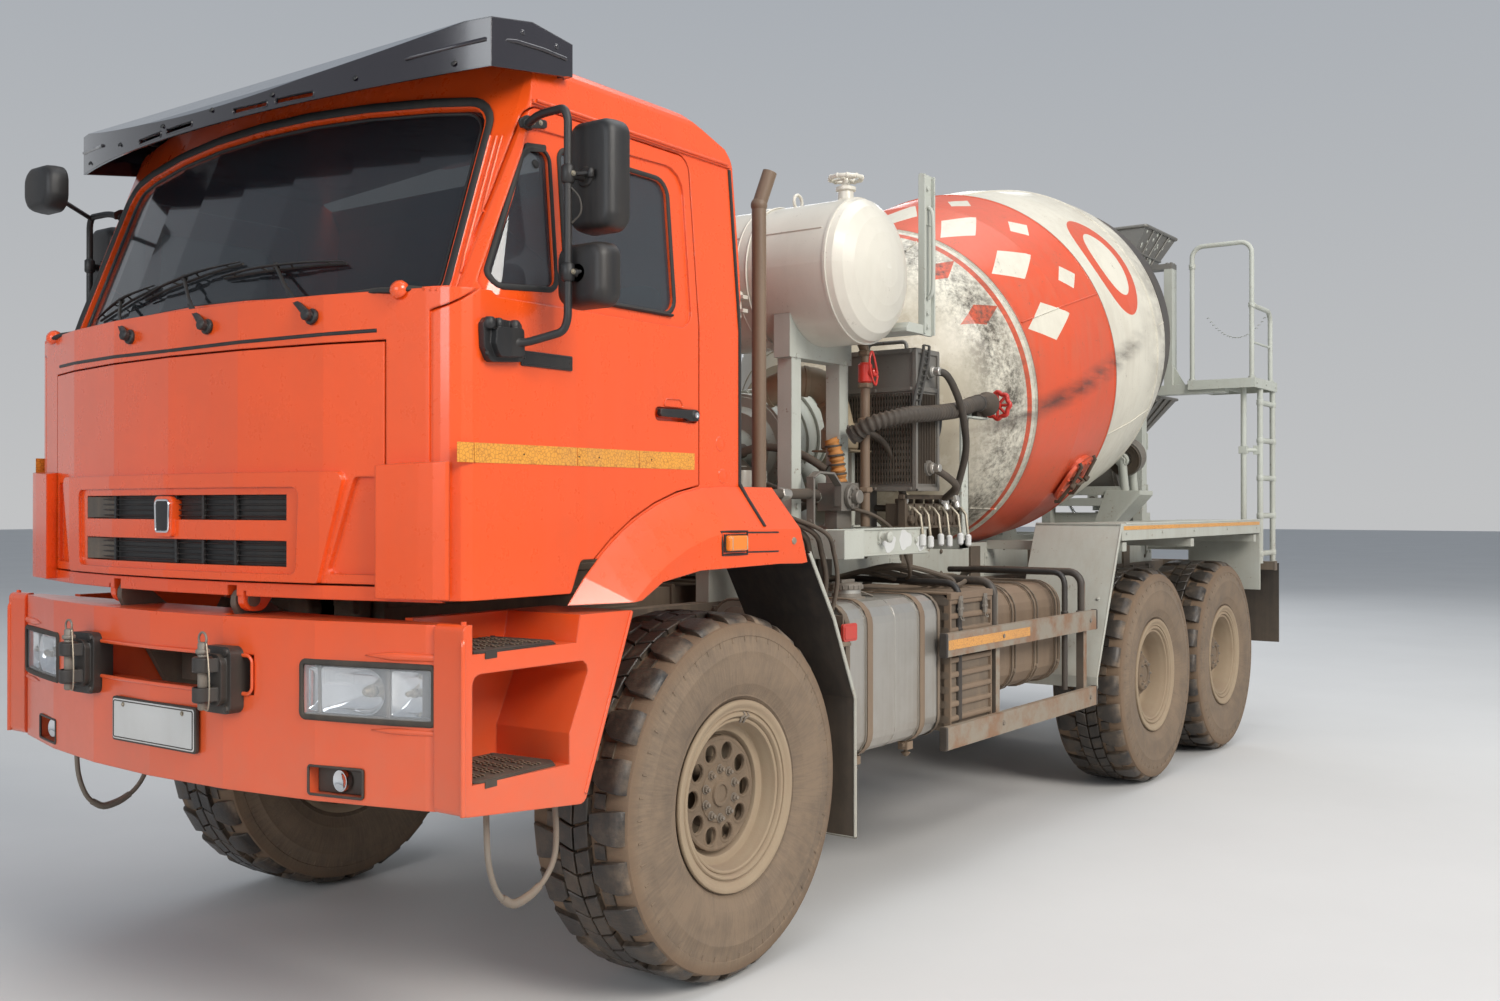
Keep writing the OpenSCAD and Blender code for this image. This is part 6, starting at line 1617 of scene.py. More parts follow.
def axle_details():
    """Drive cases with bolted covers, their ribs, and the joints of the propeller shafts."""
    cases = Piece("axle_covers")
    for x, y, r, face in ((0, -170, 190, 1), (MIDDLE_X, 0, 215, 1), (REAR_X, 0, 215, -1)):
        centre = (x, y, AXLE_Z)
        cases.lathe([(r * 0.80, r * 0.58), (r * 0.84, r * 0.60), (r * 0.84, r * 0.68), (r * 0.72, r * 0.72),
            (r * 0.52, r * 0.98), (r * 0.2, r * 1.06), (POLE, r * 1.08)], centre, AHEAD * face, 40)
        cases.bolts([(x + face * r * 0.66, y + r * 0.78 * cos(a), AXLE_Z + r * 0.78 * sin(a))
            for a in angles(12)], AHEAD * face, 10, 12)
        for side in (-1, 1):
            cases.lathe([(92, 0), (118, 6), (118, 26), (96, 32)], (x, y + side * (r + 8) - side * 30, AXLE_Z),
                LEFT * side, 32)
    cases.end(IRON, bevel=1.5, bevel_steps=1)
    joints = Piece("shaft_joints")
    for x0, x1, y, z in ((-1480, -2170, 0, 940), (-2170, -235, -170, AXLE_Z + 60),
            (MIDDLE_X + 235, -2480, 0, AXLE_Z + 60), (REAR_X + 235, MIDDLE_X - 235, 0, AXLE_Z + 60)):
        for x, way in ((min(x0, x1), 1), (max(x0, x1), -1)):
            joints.disc((x, y, z), AHEAD * way, 74, 4, 22, 3, 28)
            joints.bolts([(x + way * 22, y + 58 * cos(a), z + 58 * sin(a))
                for a in (pi * k / 2 + 0.78 for k in range(4))], AHEAD * way, 8, 9)
            for low in (y - 62, y + 46):
                joints.brick((x + way * 22, x + way * 96), (low, low + 16), (z - 26, z + 26))
            joints.disc((x + way * 78, y - 66, z), LEFT, 17, 0, 132, 3, 18)
            joints.disc((x + way * 78, y, z - 66), UP, 17, 0, 132, 3, 18)
            joints.lathe([(44, 96), (62, 104), (62, 150), (50, 168)], (x, y, z), AHEAD * way, 28)
    joints.end(IRON, bevel=1.5, bevel_steps=1)


def air_tank_details():
    """Bands, end seams and drain taps of the air tanks on the right."""
    bands = Piece("air_tank_bands")
    for z in (760, 1050):
        for x in (-2880, -2500, -2120):
            bands.lathe([(130, -20), (136, -20), (136, 20), (130, 20)], (x, AIR_TANKS[0], z), AHEAD, 40,
                closed=True)
        for x, way in ((-2950, -1), (-2050, 1)):
            bands.lathe([(131, -60), (133, -34), (130, -8), (112, 14), (70, 30), (POLE, 36)],
                (x, AIR_TANKS[0], z), AHEAD * way, 40)
            bands.disc((x + way * 30, AIR_TANKS[0], z), AHEAD * way, 17, 0, 22, 2, 6)
    for x in (-1780, -1400, -1020):
        bands.lathe([(240, -26), (247, -26), (247, 26), (240, 26)], (x, AIR_TANKS[1], 950), AHEAD, 56,
            closed=True)
    for x, way in ((-1900, -1), (-900, 1)):
        bands.lathe([(241, -30), (244, -8), (238, 6), (216, 22), (150, 40), (60, 50), (POLE, 52)],
            (x, AIR_TANKS[1], 950), AHEAD * way, 56)
    bands.end(CHASSIS, angle=30)
    taps = Piece("air_tank_taps")
    for x, y, z in ((-2500, AIR_TANKS[0], 630), (-2250, AIR_TANKS[0], 920), (-1200, AIR_TANKS[1], 710)):
        taps.disc((x, y, z - 26), UP, 11, 0, 34, 1, 6)
        taps.disc((x - 16, y, z - 26), AHEAD, 4, 0, 32, 1, 8)
    taps.end(BRASS)
    lines = Piece("air_tank_pipes")
    for x, z in ((-2960, 1050), (-2960, 760), (-2040, 1050), (-2040, 760)):
        way = -1 if x < -2500 else 1
        lines.sweep(smooth([(x + way * 40, AIR_TANKS[0], z), (x + way * 80, AIR_TANKS[0], z + 20),
            (x + way * 96, -640, z + 60), (x + way * 70, -520, 1110), (x + way * 20, -430, 1140)], 8), 8, 8)
    lines.end(HOSE)
    # A pressed tread over the right-hand tanks
    tread = Piece("right_catwalk")
    tread.brick((-3050, -1900), (-1210, -480), (1262, 1272))
    for x in range(-3030, -1920, 46):
        tread.sweep([(x, -1200, 1275), (x, -490, 1275)], 4, 6)
    for y in (-1212, -478):
        tread.brick((-3050, -1900), (y - 4, y + 4), (1232, 1274))
    tread.end(PALE, bevel=1)


def mudguard_details(side, sign):
    """Worn edge strip and fixings of the flap behind the front wheel, the reflector and the hoses."""
    edge = Piece("mudguard_edge_" + side)
    line = spread([(-402, 1433), (-568, 1182), (-718, 872), (-718, 344)], 60)
    edge.sweep([(x, sign * FLAP_Y, z) for x, z in line], 9, 10, flat=0.6, up=LEFT)
    edge.sweep([(-718, sign * y, 344) for y in range(836, 1241, 50)], 7, 8)
    edge.end(PALE)
    fixing = Piece("mudguard_fixings_" + side)
    for x, z in ((-450, 1355), (-530, 1235), (-620, 1070)):
        fixing.bolts([(x - 10, sign * y, z) for y in (870, 1020, 1190)], (-0.83, 0, 0.55), 9, 10)
    fixing.brick((-700, -640), (sign * 836, sign * 1230), (1072, 1084))
    fixing.brick((-736, -726), (sign * 1040, sign * 1176), (1060, 1180))
    fixing.end(CHASSIS, bevel=1.5)
    reflector = Piece("side_reflector_" + side)
    reflector.prism(rectangle((-800, -700), (1082, 1150), 12), "y", *sided(sign, 1182, 1196))
    reflector.prism(rectangle((-792, -708), (1090, 1142), 8), "y", *sided(sign, 1196, 1199))
    reflector.end(RED, bevel=2)
    hoses = Piece("mudguard_hoses_" + side)
    for k in range(3):
        y = 1040 + 46 * k
        hoses.sweep(smooth([(-560 - 20 * k, sign * (y - 120), 1560), (-640 - 14 * k, sign * y, 1500),
            (-700 - 16 * k, sign * y, 1420), (-745 - 10 * k, sign * (y - 6), 1300),
            (-752, sign * (y - 40), 1160), (-748, sign * (y - 130), 1090)], 8), 13 - 2 * k, 10)
    hoses.end(HOSE)
    flap = Piece("rear_flap_details_" + side)
    flap.brick((-6721, -6716), (sign * 806, sign * 1214), (1120, 1176))
    flap.bolts([(-6717, sign * y, 1148) for y in (840, 950, 1070, 1180)], -AHEAD, 9, 5)
    for k in range(5):
        flap.sweep([(-6716, sign * (850 + 80 * k), z) for z in (640, 760, 880, 1000, 1100)], 6, 6)
    flap.end(RUBBER, bevel=1)


def engine_details():
    """Covers, flanges, filter and exhaust round the plain driveline blocks."""
    block = Piece("engine_parts")
    for x in range(-480, 700, 200):
        for y in (-240, 60):
            block.brick((x, x + 160), (y, y + 180), (1556, 1600))
    for z in range(900, 1540, 90):
        for y in (-316, 296):
            block.brick((-540, 740), (y, y + 10), (z, z + 30))
    block.disc((750, 0, CRANK_Z), AHEAD, 250, 0, 60, 14, 48)
    block.disc((810, 0, CRANK_Z), AHEAD, 60, 0, 60, 8, 32)
    for a in angles(8):
        block.prism([(u * cos(a) - v * sin(a), CRANK_Z + u * sin(a) + v * cos(a))
            for u, v in ((120, 20), (235, 60), (240, -10))], "x", 806, 826)
    block.end(IRON, bevel=5)
    case = Piece("gearbox_parts")
    for x in (-1490, -1200, -900, -560):
        case.brick((x, x + 24), (-212, 212), (862, 1262))
    case.bolts([(-1490, u, v) for u in (-170, -60, 60, 170) for v in (900, 1220)], -AHEAD, 12, 12)
    for x in (-2500, -2330, -2170):
        case.brick((x, x + 20), (-272, 232), (612, 1130))
    for z in (760, 940):
        case.disc((-2150, 0 if z > 800 else -170, z), AHEAD, 120, 0, 36, 8, 40)
    case.end(IRON, bevel=4)
    pipe = Piece("exhaust")
    pipe.sweep(smooth([(-300, -330, 1000), (-700, -380, 900), (-1000, -430, 700), (-1400, -460, 640),
        (-2000, -460, 640), (-2600, -480, 680), (-2980, -620, 720), (-3060, -900, 700)], 8), 52, 20)
    pipe.disc((-1250, -450, 620), (-1, 0, 0.02), 130, 0, 760, 26, 36)
    pipe.end(BROWN)


fuel_tank_details()
battery_details()
oil_tank_details()
for make in (guard_details, spring_details, brake_parts, rail_details, mudguard_details):
    mirrored(make)
axle_details()
air_tank_details()
engine_details()


# Mixer: water tank, pump unit, hoses, cooler, control levers and the drum's own parts

WATER_X = -1130
WATER_R = 300
WATER_Z = 2572
COOLER_X = (-1780, -1580)
COOLER_Y = (620, 1020)
COOLER_Z = (1680, 2290)
MOUTH_S = 2950
OFF_DRUM = 1500  # Further from the axis than the drum's skin
FRONT_DECK = 1505
CLAMP_Y = 620
CRADLE_Y = 780
CRADLE_HALF = 185
VALVE_Y = 940
RISER = (-1352, 900)
HANDWHEEL_X = -2446
HOSE_END = (1002, 2096)
MOTOR_FEET_Y = 190


def ribbed_hose(name, line, radius, pitch, material, depth=0.12):
    """A corrugated hose: its radius swells once for every pitch along its line."""
    path = [Vector(p) for p in smooth(line, 14)]
    length = sum((b - a).length for a, b in zip(path, path[1:]))
    count = max(8, int(length / (pitch / 4)))
    even = []
    travelled, target = 0.0, 0.0
    for a, b in zip(path, path[1:]):
        run = (b - a).length
        while target <= travelled + run and len(even) <= count:
            even.append(a + (b - a) * ((target - travelled) / max(run, 1e-6)))
            target += length / count
        travelled += run
    hose = Piece(name)
    hose.sweep(even, lambda t: radius * (1 + depth * cos(2 * pi * t * count / 4)), 16)
    hose.end(material, angle=60)


def clamp_ring(piece, at, axis, radius):
    """A worm clamp round a hose."""
    piece.lathe([(radius, -9), (radius + 3, -9), (radius + 3, 9), (radius, 9)], at, axis, 28, closed=True)
    w = Vector(axis).normalized()
    up = w.orthogonal().normalized()
    piece.disc(Vector(at) + up * (radius + 6) - w.cross(up) * 12, w.cross(up), 6, 0, 24, 1, 10)


def water_tank_details():
    """Clamps and plate of the water tank, its filling valve, the post beside it and the cradle."""
    seam = Piece("water_tank_fittings")
    for end in (-1, 1):
        for shift in (-25, 25):
            seam.lathe([(WATER_R + 5, -4), (WATER_R + 9, -2), (WATER_R + 9, 2), (WATER_R + 5, 4)],
                (WATER_X, end * CLAMP_Y + shift, WATER_Z), LEFT, 64)
        for z in (WATER_Z - 120, WATER_Z - 176):
            seam.brick((WATER_X + WATER_R - 4, WATER_X + WATER_R + 30),
                (end * CLAMP_Y - 30, end * CLAMP_Y + 30), (z, z + 16))
        seam.disc((WATER_X + WATER_R + 14, end * CLAMP_Y, WATER_Z - 196), UP, 8, 0, 110, 1, 12)
        seam.bolts([(WATER_X + WATER_R + 14, end * CLAMP_Y, WATER_Z - 104)], UP, 14, 14)
    seam.sweep([(WATER_X + (WATER_R + 1) * cos(0.5), y, WATER_Z + (WATER_R + 1) * sin(0.5))
        for y in range(-1010, 1020, 80)], 4, 6)
    seam.end(CREAM, bevel=1.5)
    plate = Piece("water_tank_plate")
    plate.loft([[(WATER_X + (WATER_R + 7 + h) * cos(a), y, WATER_Z + (WATER_R + 7 + h) * sin(a))
        for y, a in ((-210, 0.12), (-90, 0.12), (-90, 0.32), (-210, 0.32))] for h in (-8, 0)])
    plate.end(SILVER, bevel=1)
    valve = Piece("filling_valve")
    top = WATER_Z + WATER_R
    valve.lathe([(58, -18), (58, -4), (46, -2), (34, 6), (32, 40), (42, 44), (42, 58), (30, 62), (16, 70),
        (14, 96), (20, 98), (20, 108), (10, 112), (POLE, 112)], (WATER_X, VALVE_Y, top), UP, 36)
    valve.bolts([(WATER_X + 48 * cos(a), VALVE_Y + 48 * sin(a), top - 4) for a in angles(6)], UP, 5, 7)
    valve.end(CREAM, angle=40)
    wheel = Piece("filling_handwheel")
    for a in angles(10):
        wheel.disc((WATER_X + 66 * cos(a), VALVE_Y + 66 * sin(a), top + 96), (-sin(a), cos(a), 0), 12, -7, 7,
            4, 14)
    wheel.end(CREAM, angle=50)
    post = Piece("tank_post_edges")
    for x in (-1578, -1492):
        post.brick((x - 5, x + 5), (1086, 1118), (2345, 3036))
    post.bolts([(-1535, 1102, z) for z in (2380, 2440, 2980)], LEFT, 11, 9)
    post.brick((-1566, -1504), (1100, 1106), (2820, 2950))
    post.sweep(smooth([(-1535, 1108, 2900), (-1535, 1130, 2860), (-1535, 1134, 2700), (-1535, 1130, 2540),
        (-1535, 1108, 2500)], 6), 9, 10)
    post.end(PALE, bevel=2)
    strap = Piece("cradle_bolts")
    for side in (-1, 1):
        strap.bolts([(WATER_X + dx, side * (CRADLE_Y + 34), z) for dx in (-CRADLE_HALF, CRADLE_HALF)
            for z in (1540, 1600, 2220)], LEFT * side, 12, 10)
        for dx in (-CRADLE_HALF, CRADLE_HALF):
            strap.brick((WATER_X + dx - 52, WATER_X + dx + 52), (side * CRADLE_Y - 52, side * CRADLE_Y + 52),
                (FRONT_DECK, 1517))
            strap.prism([(WATER_X + dx - 4, 1515), (WATER_X + dx + (110 if dx < 0 else -110), 1515),
                (WATER_X + dx - 4, 1640)], "y", side * CRADLE_Y - 5, side * CRADLE_Y + 5)
    strap.end(PALE, bevel=1.5)


def cooler_details():
    """Louvres of the cooler, its frame, handle, ports and the fan guard behind."""
    frame_piece = Piece("cooler_frame")
    for x in COOLER_X:
        for y in COOLER_Y:
            frame_piece.brick((x - 9, x + 9), (y - 9, y + 9), (COOLER_Z[0] - 4, COOLER_Z[1] + 4))
    for z in (COOLER_Z[0], COOLER_Z[1] - 168, COOLER_Z[1]):
        for y in COOLER_Y:
            frame_piece.brick((COOLER_X[0] - 8, COOLER_X[1] + 8), (y - 8, y + 8), (z - 12, z + 8))
        for x in COOLER_X:
            frame_piece.brick((x - 8, x + 8), (COOLER_Y[0] - 8, COOLER_Y[1] + 8), (z - 12, z + 8))
    frame_piece.bolts([(COOLER_X[1] + 9, y, z) for y in (640, 820, 1000) for z in (1678, 2118, 2286)], AHEAD,
        7, 6)
    frame_piece.end(GREY_STEEL, bevel=2)
    fins = Piece("cooler_fins")
    for k in range(26):
        y = 640 + k * 14.4
        fins.brick((COOLER_X[1] - 4, COOLER_X[1] + 7), (y - 2, y + 2), (1700, 2100))
    for k in range(11):
        x = COOLER_X[0] + 26 + 15 * k
        fins.brick((x - 2, x + 2), (COOLER_Y[1] - 4, COOLER_Y[1] + 6), (1700, 2100))
    fins.end(IRON)
    ports = Piece("cooler_ports")
    for z in (2200, 1770):
        ports.lathe([(POLE, 34), (20, 34), (26, 28), (26, 14), (34, 14), (36, 2), (36, 0)],
            (-1690, COOLER_Y[1], z), LEFT, 28)
    ports.sweep(bend([(-1680, 720, 2286), (-1680, 720, 2342), (-1680, 920, 2342), (-1680, 920, 2286)], 24, 5),
        9, 10)
    ports.end(GREY_STEEL, angle=40)
    guard = Piece("cooler_fan_guard")
    for r in range(40, 190, 24):
        guard.lathe([(r - 2.5, 0), (r, 2.5), (r + 2.5, 0), (r, -2.5)], (COOLER_X[0] - 34, 820, 1990), AHEAD,
            48, closed=True)
    for k in range(6):
        a = pi * k / 6
        guard.sweep([(COOLER_X[0] - 36, 820 + r * cos(a), 1990 + r * sin(a)) for r in (-190, 0, 190)], 4, 8)
    guard.lathe([(196, 26), (206, 20), (206, -6), (196, -8)], (COOLER_X[0] - 34, 820, 1990), AHEAD, 48,
        closed=True)
    guard.end(BLACK)
    arch = Piece("cooler_duct_bracket")
    arc_line = [(-1560 - 100 * (1 - cos(a)) / 2, 1032, 1985 + 330 * a / pi)
        for a in (pi * k / 12 for k in range(13))]
    for shift in (-26, 26):
        arch.sweep([(x + shift, y, z) for x, y, z in arc_line], 7, 8)
    for p in arc_line:
        arch.sweep([(p[0] - 26, p[1], p[2]), (p[0] + 26, p[1], p[2])], 4, 6)
    arch.end(CHASSIS)


def hoses():
    """The hoses that the photograph shows between the pump unit, the cooler and the valves."""
    ribbed_hose("ribbed_hose", [(-1300, 860, 1900), (-1320, 960, 1955), (-1440, 1052, 1992),
        (-1640, 1064, 2010), (-1900, 1062, 2040), (-2110, 1030, 2080), (-2240, *HOSE_END)], 34, 26, HOSE)
    ribbed_hose("banded_hose", [(-1262, 790, 1420), (-1286, 800, 1540), (-1296, 806, 1680),
        (-1276, 800, 1820), (-1262, 780, 1890)], 31, 24, RUST_ORANGE)
    rings = Piece("banded_hose_rings")
    for k, z in enumerate((1700, 1740, 1780, 1820, 1860)):
        x = (-1294, -1288, -1283, -1276, -1268)[k]
        rings.lathe([(34, -5), (38, -3), (38, 3), (34, 5)], (x, (805, 803, 801, 800, 790)[k], z),
            (0.1, -0.05, 1), 24, closed=True)
    clamp_ring(rings, (-2225, 1004, 2094), (-1, -0.2, 0.1), 38)
    clamp_ring(rings, (-1306, 880, 1912), (0, 0.8, 0.6), 38)
    rings.end(CHASSIS, angle=40)
    duct = Piece("air_duct")
    line = smooth([(-1290, 430, 2110), (-1330, 540, 2150), (-1400, 620, 2150), (-1460, 660, 2080),
        (-1480, 680, 1990), (-1480, 690, 1940)], 8)
    duct.sweep(line, 66, 28)
    for k in (0.0, 0.3, 0.62, 0.97):
        i = min(int(k * (len(line) - 1)), len(line) - 2)
        way = Vector(line[i + 1]) - Vector(line[i])
        duct.lathe([(66, -10), (71, -8), (71, 8), (66, 10)], line[i], way, 32, closed=True)
    duct.disc((-1480, 690, 1850), UP, 84, 0, 100, 10, 40)
    duct.brick((-1580, -1390), (600, 800), (1842, 1850))
    duct.end(BEIGE, angle=40)
    stand = Piece("duct_stand")
    for x in (-1560, -1410):
        stand.brick((x - 12, x + 12), (690, 714), (FRONT_DECK, 1846))
    stand.brick((-1600, -1380), (640, 760), (FRONT_DECK, 1515))
    stand.end(PALE, bevel=2)
    black = Piece("black_hoses")
    for points, r in (([(-1500, 760, 1950), (-1560, 850, 1900), (-1590, 900, 1820), (-1600, 930, 1700),
            (-1620, 940, 1640)], 16), ([(-1180, 760, 1640), (-1040, 840, 1652), (-860, 890, 1650),
            (-700, 900, 1648), (-565, 900, 1640)], 21), ([(-1240, 850, 1600), (-1360, 940, 1560),
            (-1480, 980, 1480), (-1560, 985, 1380), (-1640, 960, 1300), (-1700, 900, 1262)], 8),
            ([(-1690, 1052, 1770), (-1750, 1090, 1730), (-1850, 1080, 1690), (-1930, 1000, 1650),
            (-1950, 960, 1630)], 17), ([(-1690, 1052, 2200), (-1730, 1100, 2180), (-1840, 1110, 2050),
            (-1990, 1060, 1880), (-2050, 1000, 1740), (-2060, 960, 1640)], 17),
            ([(-1120, 340, 1820), (-1180, 480, 1860), (-1220, 640, 1830), (-1260, 760, 1760)], 18),
            ([(-1690, 250, 1560), (-1740, 420, 1640), (-1760, 560, 1730), (-1780, 640, 1760)], 20),
            ([(-1420, 330, 1700), (-1480, 470, 1640), (-1600, 620, 1600), (-1700, 800, 1590),
            (-1740, 900, 1590)], 15)):
        black.sweep(smooth(points, 8), r, 12)
    black.end(HOSE)
    fittings = Piece("hose_fittings")
    for at, way, r in (((-1180, 760, 1640), (-1, -0.4, 0), 26), ((-700, 900, 1648), -AHEAD, 27),
            ((-1690, 1024, 1770), LEFT, 22), ((-1690, 1024, 2200), LEFT, 22),
            ((-1950, 962, 1640), (0, 0.3, -1), 22), ((-2060, 962, 1650), (0, 0.3, -1), 22),
            ((-1620, 940, 1650), -UP, 22), ((-565, 900, 1640), -AHEAD, 34)):
        fittings.disc(at, way, r, 0, 34, 3, 6)
        fittings.disc(at, way, r * 0.82, 30, 62, 3, 24)
    fittings.end(SILVER, bevel=1)


def valves():
    """Vertical pipe with its red valve, the lobed handwheel on the hose, and the flange block."""
    pipe = Piece("riser_pipe")
    pipe.sweep(bend([(*RISER, 1512), (*RISER, 2300), (-1352, 760, 2420), (-1250, 700, 2420)], 60, 6), 21, 16)
    for z in (1660, 1960, 2110, 2250):
        pipe.disc((*RISER, z), UP, 33, 0, 22, 4, 6)
    pipe.end(BROWN, angle=40)
    red = Piece("riser_valve")
    red.disc((*RISER, 2130), UP, 31, 0, 90, 9, 24)
    red.disc((*RISER, 2175), LEFT, 20, 0, 56, 4, 20)
    red.sweep(smooth([(-1352, 958, 2175), (-1330, 965, 2210), (-1300, 965, 2260), (-1280, 965, 2215),
        (-1300, 965, 2150), (-1330, 965, 2120), (-1352, 962, 2160)], 6), 5, 8)
    red.end(RED, angle=40)
    hose_valve = Piece("hose_valve")
    hose_valve.disc((-2236, *HOSE_END), (-1, -0.02, 0.02), 42, 0, 30, 4, 8)
    hose_valve.lathe([(POLE, -4), (34, 0), (44, 26), (58, 52), (58, 84), (44, 108), (30, 132), (16, 140),
        (13, 200), (POLE, 204)], (-2262, *HOSE_END), -AHEAD, 32)
    hose_valve.brick((-2365, -2260), (955, 985), (2030, 2130))
    hose_valve.end(IRON, bevel=2)
    wheel = Piece("hose_handwheel")
    rim = []
    for a in angles(72):
        r = 62 + 5 * cos(8 * a)
        rim.append((HANDWHEEL_X, HOSE_END[0] + r * cos(a), HOSE_END[1] + r * sin(a)))
    wheel.sweep(rim, 11, 12, closed=True, up=AHEAD)
    for k in range(4):
        a = pi * k / 4
        wheel.sweep([(HANDWHEEL_X, HOSE_END[0] + u * cos(a), HOSE_END[1] + u * sin(a)) for u in (-58, 0, 58)],
            8, 10)
    wheel.disc((-2424, *HOSE_END), -AHEAD, 20, 0, 36, 4, 20)
    wheel.end(RED, angle=50)
    post = Piece("valve_post")
    post.brick((-2165, -2095), (972, 984), (1400, 2060))
    post.brick((-2165, -2155), (944, 984), (1400, 2060))
    post.brick((-2370, -2095), (944, 956), (2022, 2066))
    post.brick((-2370, -2095), (944, 990), (2022, 2032))
    post.brick((-2165, -2095), (395, 984), (1396, 1440))
    post.bolts([(-2130, 984, z) for z in (1460, 1700, 1980)], LEFT, 9, 8)
    post.end(PALE, bevel=1.5)
    block = Piece("flange_block")
    block.brick((-1330, -1190), (760, 880), (1580, 1700))
    block.disc((-1260, 880, 1640), LEFT, 52, 0, 22, 3, 36)
    block.disc((-1260, 902, 1640), LEFT, 30, 0, 30, 4, 24)
    block.bolts([(-1260 + 40 * cos(a), 902, 1640 + 40 * sin(a)) for a in angles(6)], LEFT, 7, 7)
    block.brick((-1318, -1202), (790, 850), (FRONT_DECK, 1582))
    block.end(GREY_STEEL, bevel=3)
    bracket = Piece("strip_bracket")
    strip = [(-960, 1720), (-1010, 1745), (-1120, 1742), (-1180, 1690), (-1180, 1600), (-1172, 1600),
        (-1172, 1686), (-1116, 1733), (-1012, 1736), (-964, 1712)]
    bracket.prism(strip, "y", 856, 892)
    bracket.brick((-970, -958), (856, 892), (FRONT_DECK, 1722))
    bracket.bolts([(-964, 874, 1650), (-964, 874, 1540)], AHEAD, 8, 8)
    bracket.end(GREY_STEEL, bevel=1)


def levers():
    """Bank of control valves with its top bar, levers and knobs."""
    bank = Piece("lever_bank")
    for k in range(6):
        x = -1630 - 92 * k
        bank.brick((x - 40, x + 36), (860, 962), (1512, 1612))
        bank.disc((x, 962, 1540), LEFT, 22, 0, 20, 3, 6)
        bank.disc((x, 910, 1612), UP, 19, 0, 22, 3, 16)
    bank.brick((-2170, -1570), (940, 968), (1632, 1652))
    for x in (-2150, -1590):
        bank.brick((x - 8, x + 8), (930, 968), (1500, 1650))
    bank.brick((-2170, -1570), (850, 975), (1500, 1512))
    bank.brick((-1760, -1700), (395, 860), (1396, 1500))
    bank.brick((-2150, -2110), (395, 860), (1440, 1500))
    bank.end(IRON, bevel=3)
    rods = Piece("control_levers")
    knobs = Piece("lever_knobs")
    for k in range(6):
        x = -1630 - 92 * k
        lean = (-14, 6, 0, 10, -8, 4)[k]
        rods.sweep([(x, 960, 1590), (x, 982, 1592), (x + lean, 1010, 1560),
            (x + lean, 1022, 1470 - 8 * (k % 2))], 7, 10)
        rods.disc((x - 15, 962, 1592), AHEAD, 13, 0, 30, 2, 16)
        knobs.disc((x + lean, 1022, 1420 - 8 * (k % 2)), UP, 15, 0, 56, 7, 18)
    rods.end(BRASS)
    knobs.end(PLATE)
    beam = Piece("side_beam_details")
    beam.brick((-1708, -858), (1008, 1016), (1500, 1508))
    beam.brick((-1708, -858), (1008, 1016), (1392, 1400))
    beam.bolts([(x, 1010, 1450) for x in (-900, -980, -1280, -1600, -1670)], LEFT, 11, 9)
    beam.lathe([(24, 0), (24, 10), (16, 12), (14, 34), (22, 38), (24, 50), (16, 56), (POLE, 57)],
        (-1290, 1010, 1470), LEFT, 28)
    beam.end(PALE, bevel=1)
    patch = Piece("beam_patches")
    for x0, x1, z0, z1 in ((-1420, -1310, 1405, 1478), (-1560, -1450, 1412, 1496),
            (-1690, -1600, 1404, 1470)):
        shape = []
        for a in angles(20):
            r = 1 + 0.13 * sin(3 * a + x0) + 0.08 * cos(5 * a)
            shape.append(((x0 + x1) / 2 + (x1 - x0) / 2 * r * cos(a), (z0 + z1) / 2
                + (z1 - z0) / 2 * r * sin(a)))
        patch.prism(shape, "y", 1009.5, 1011.5)
    patch.end(PLATE)


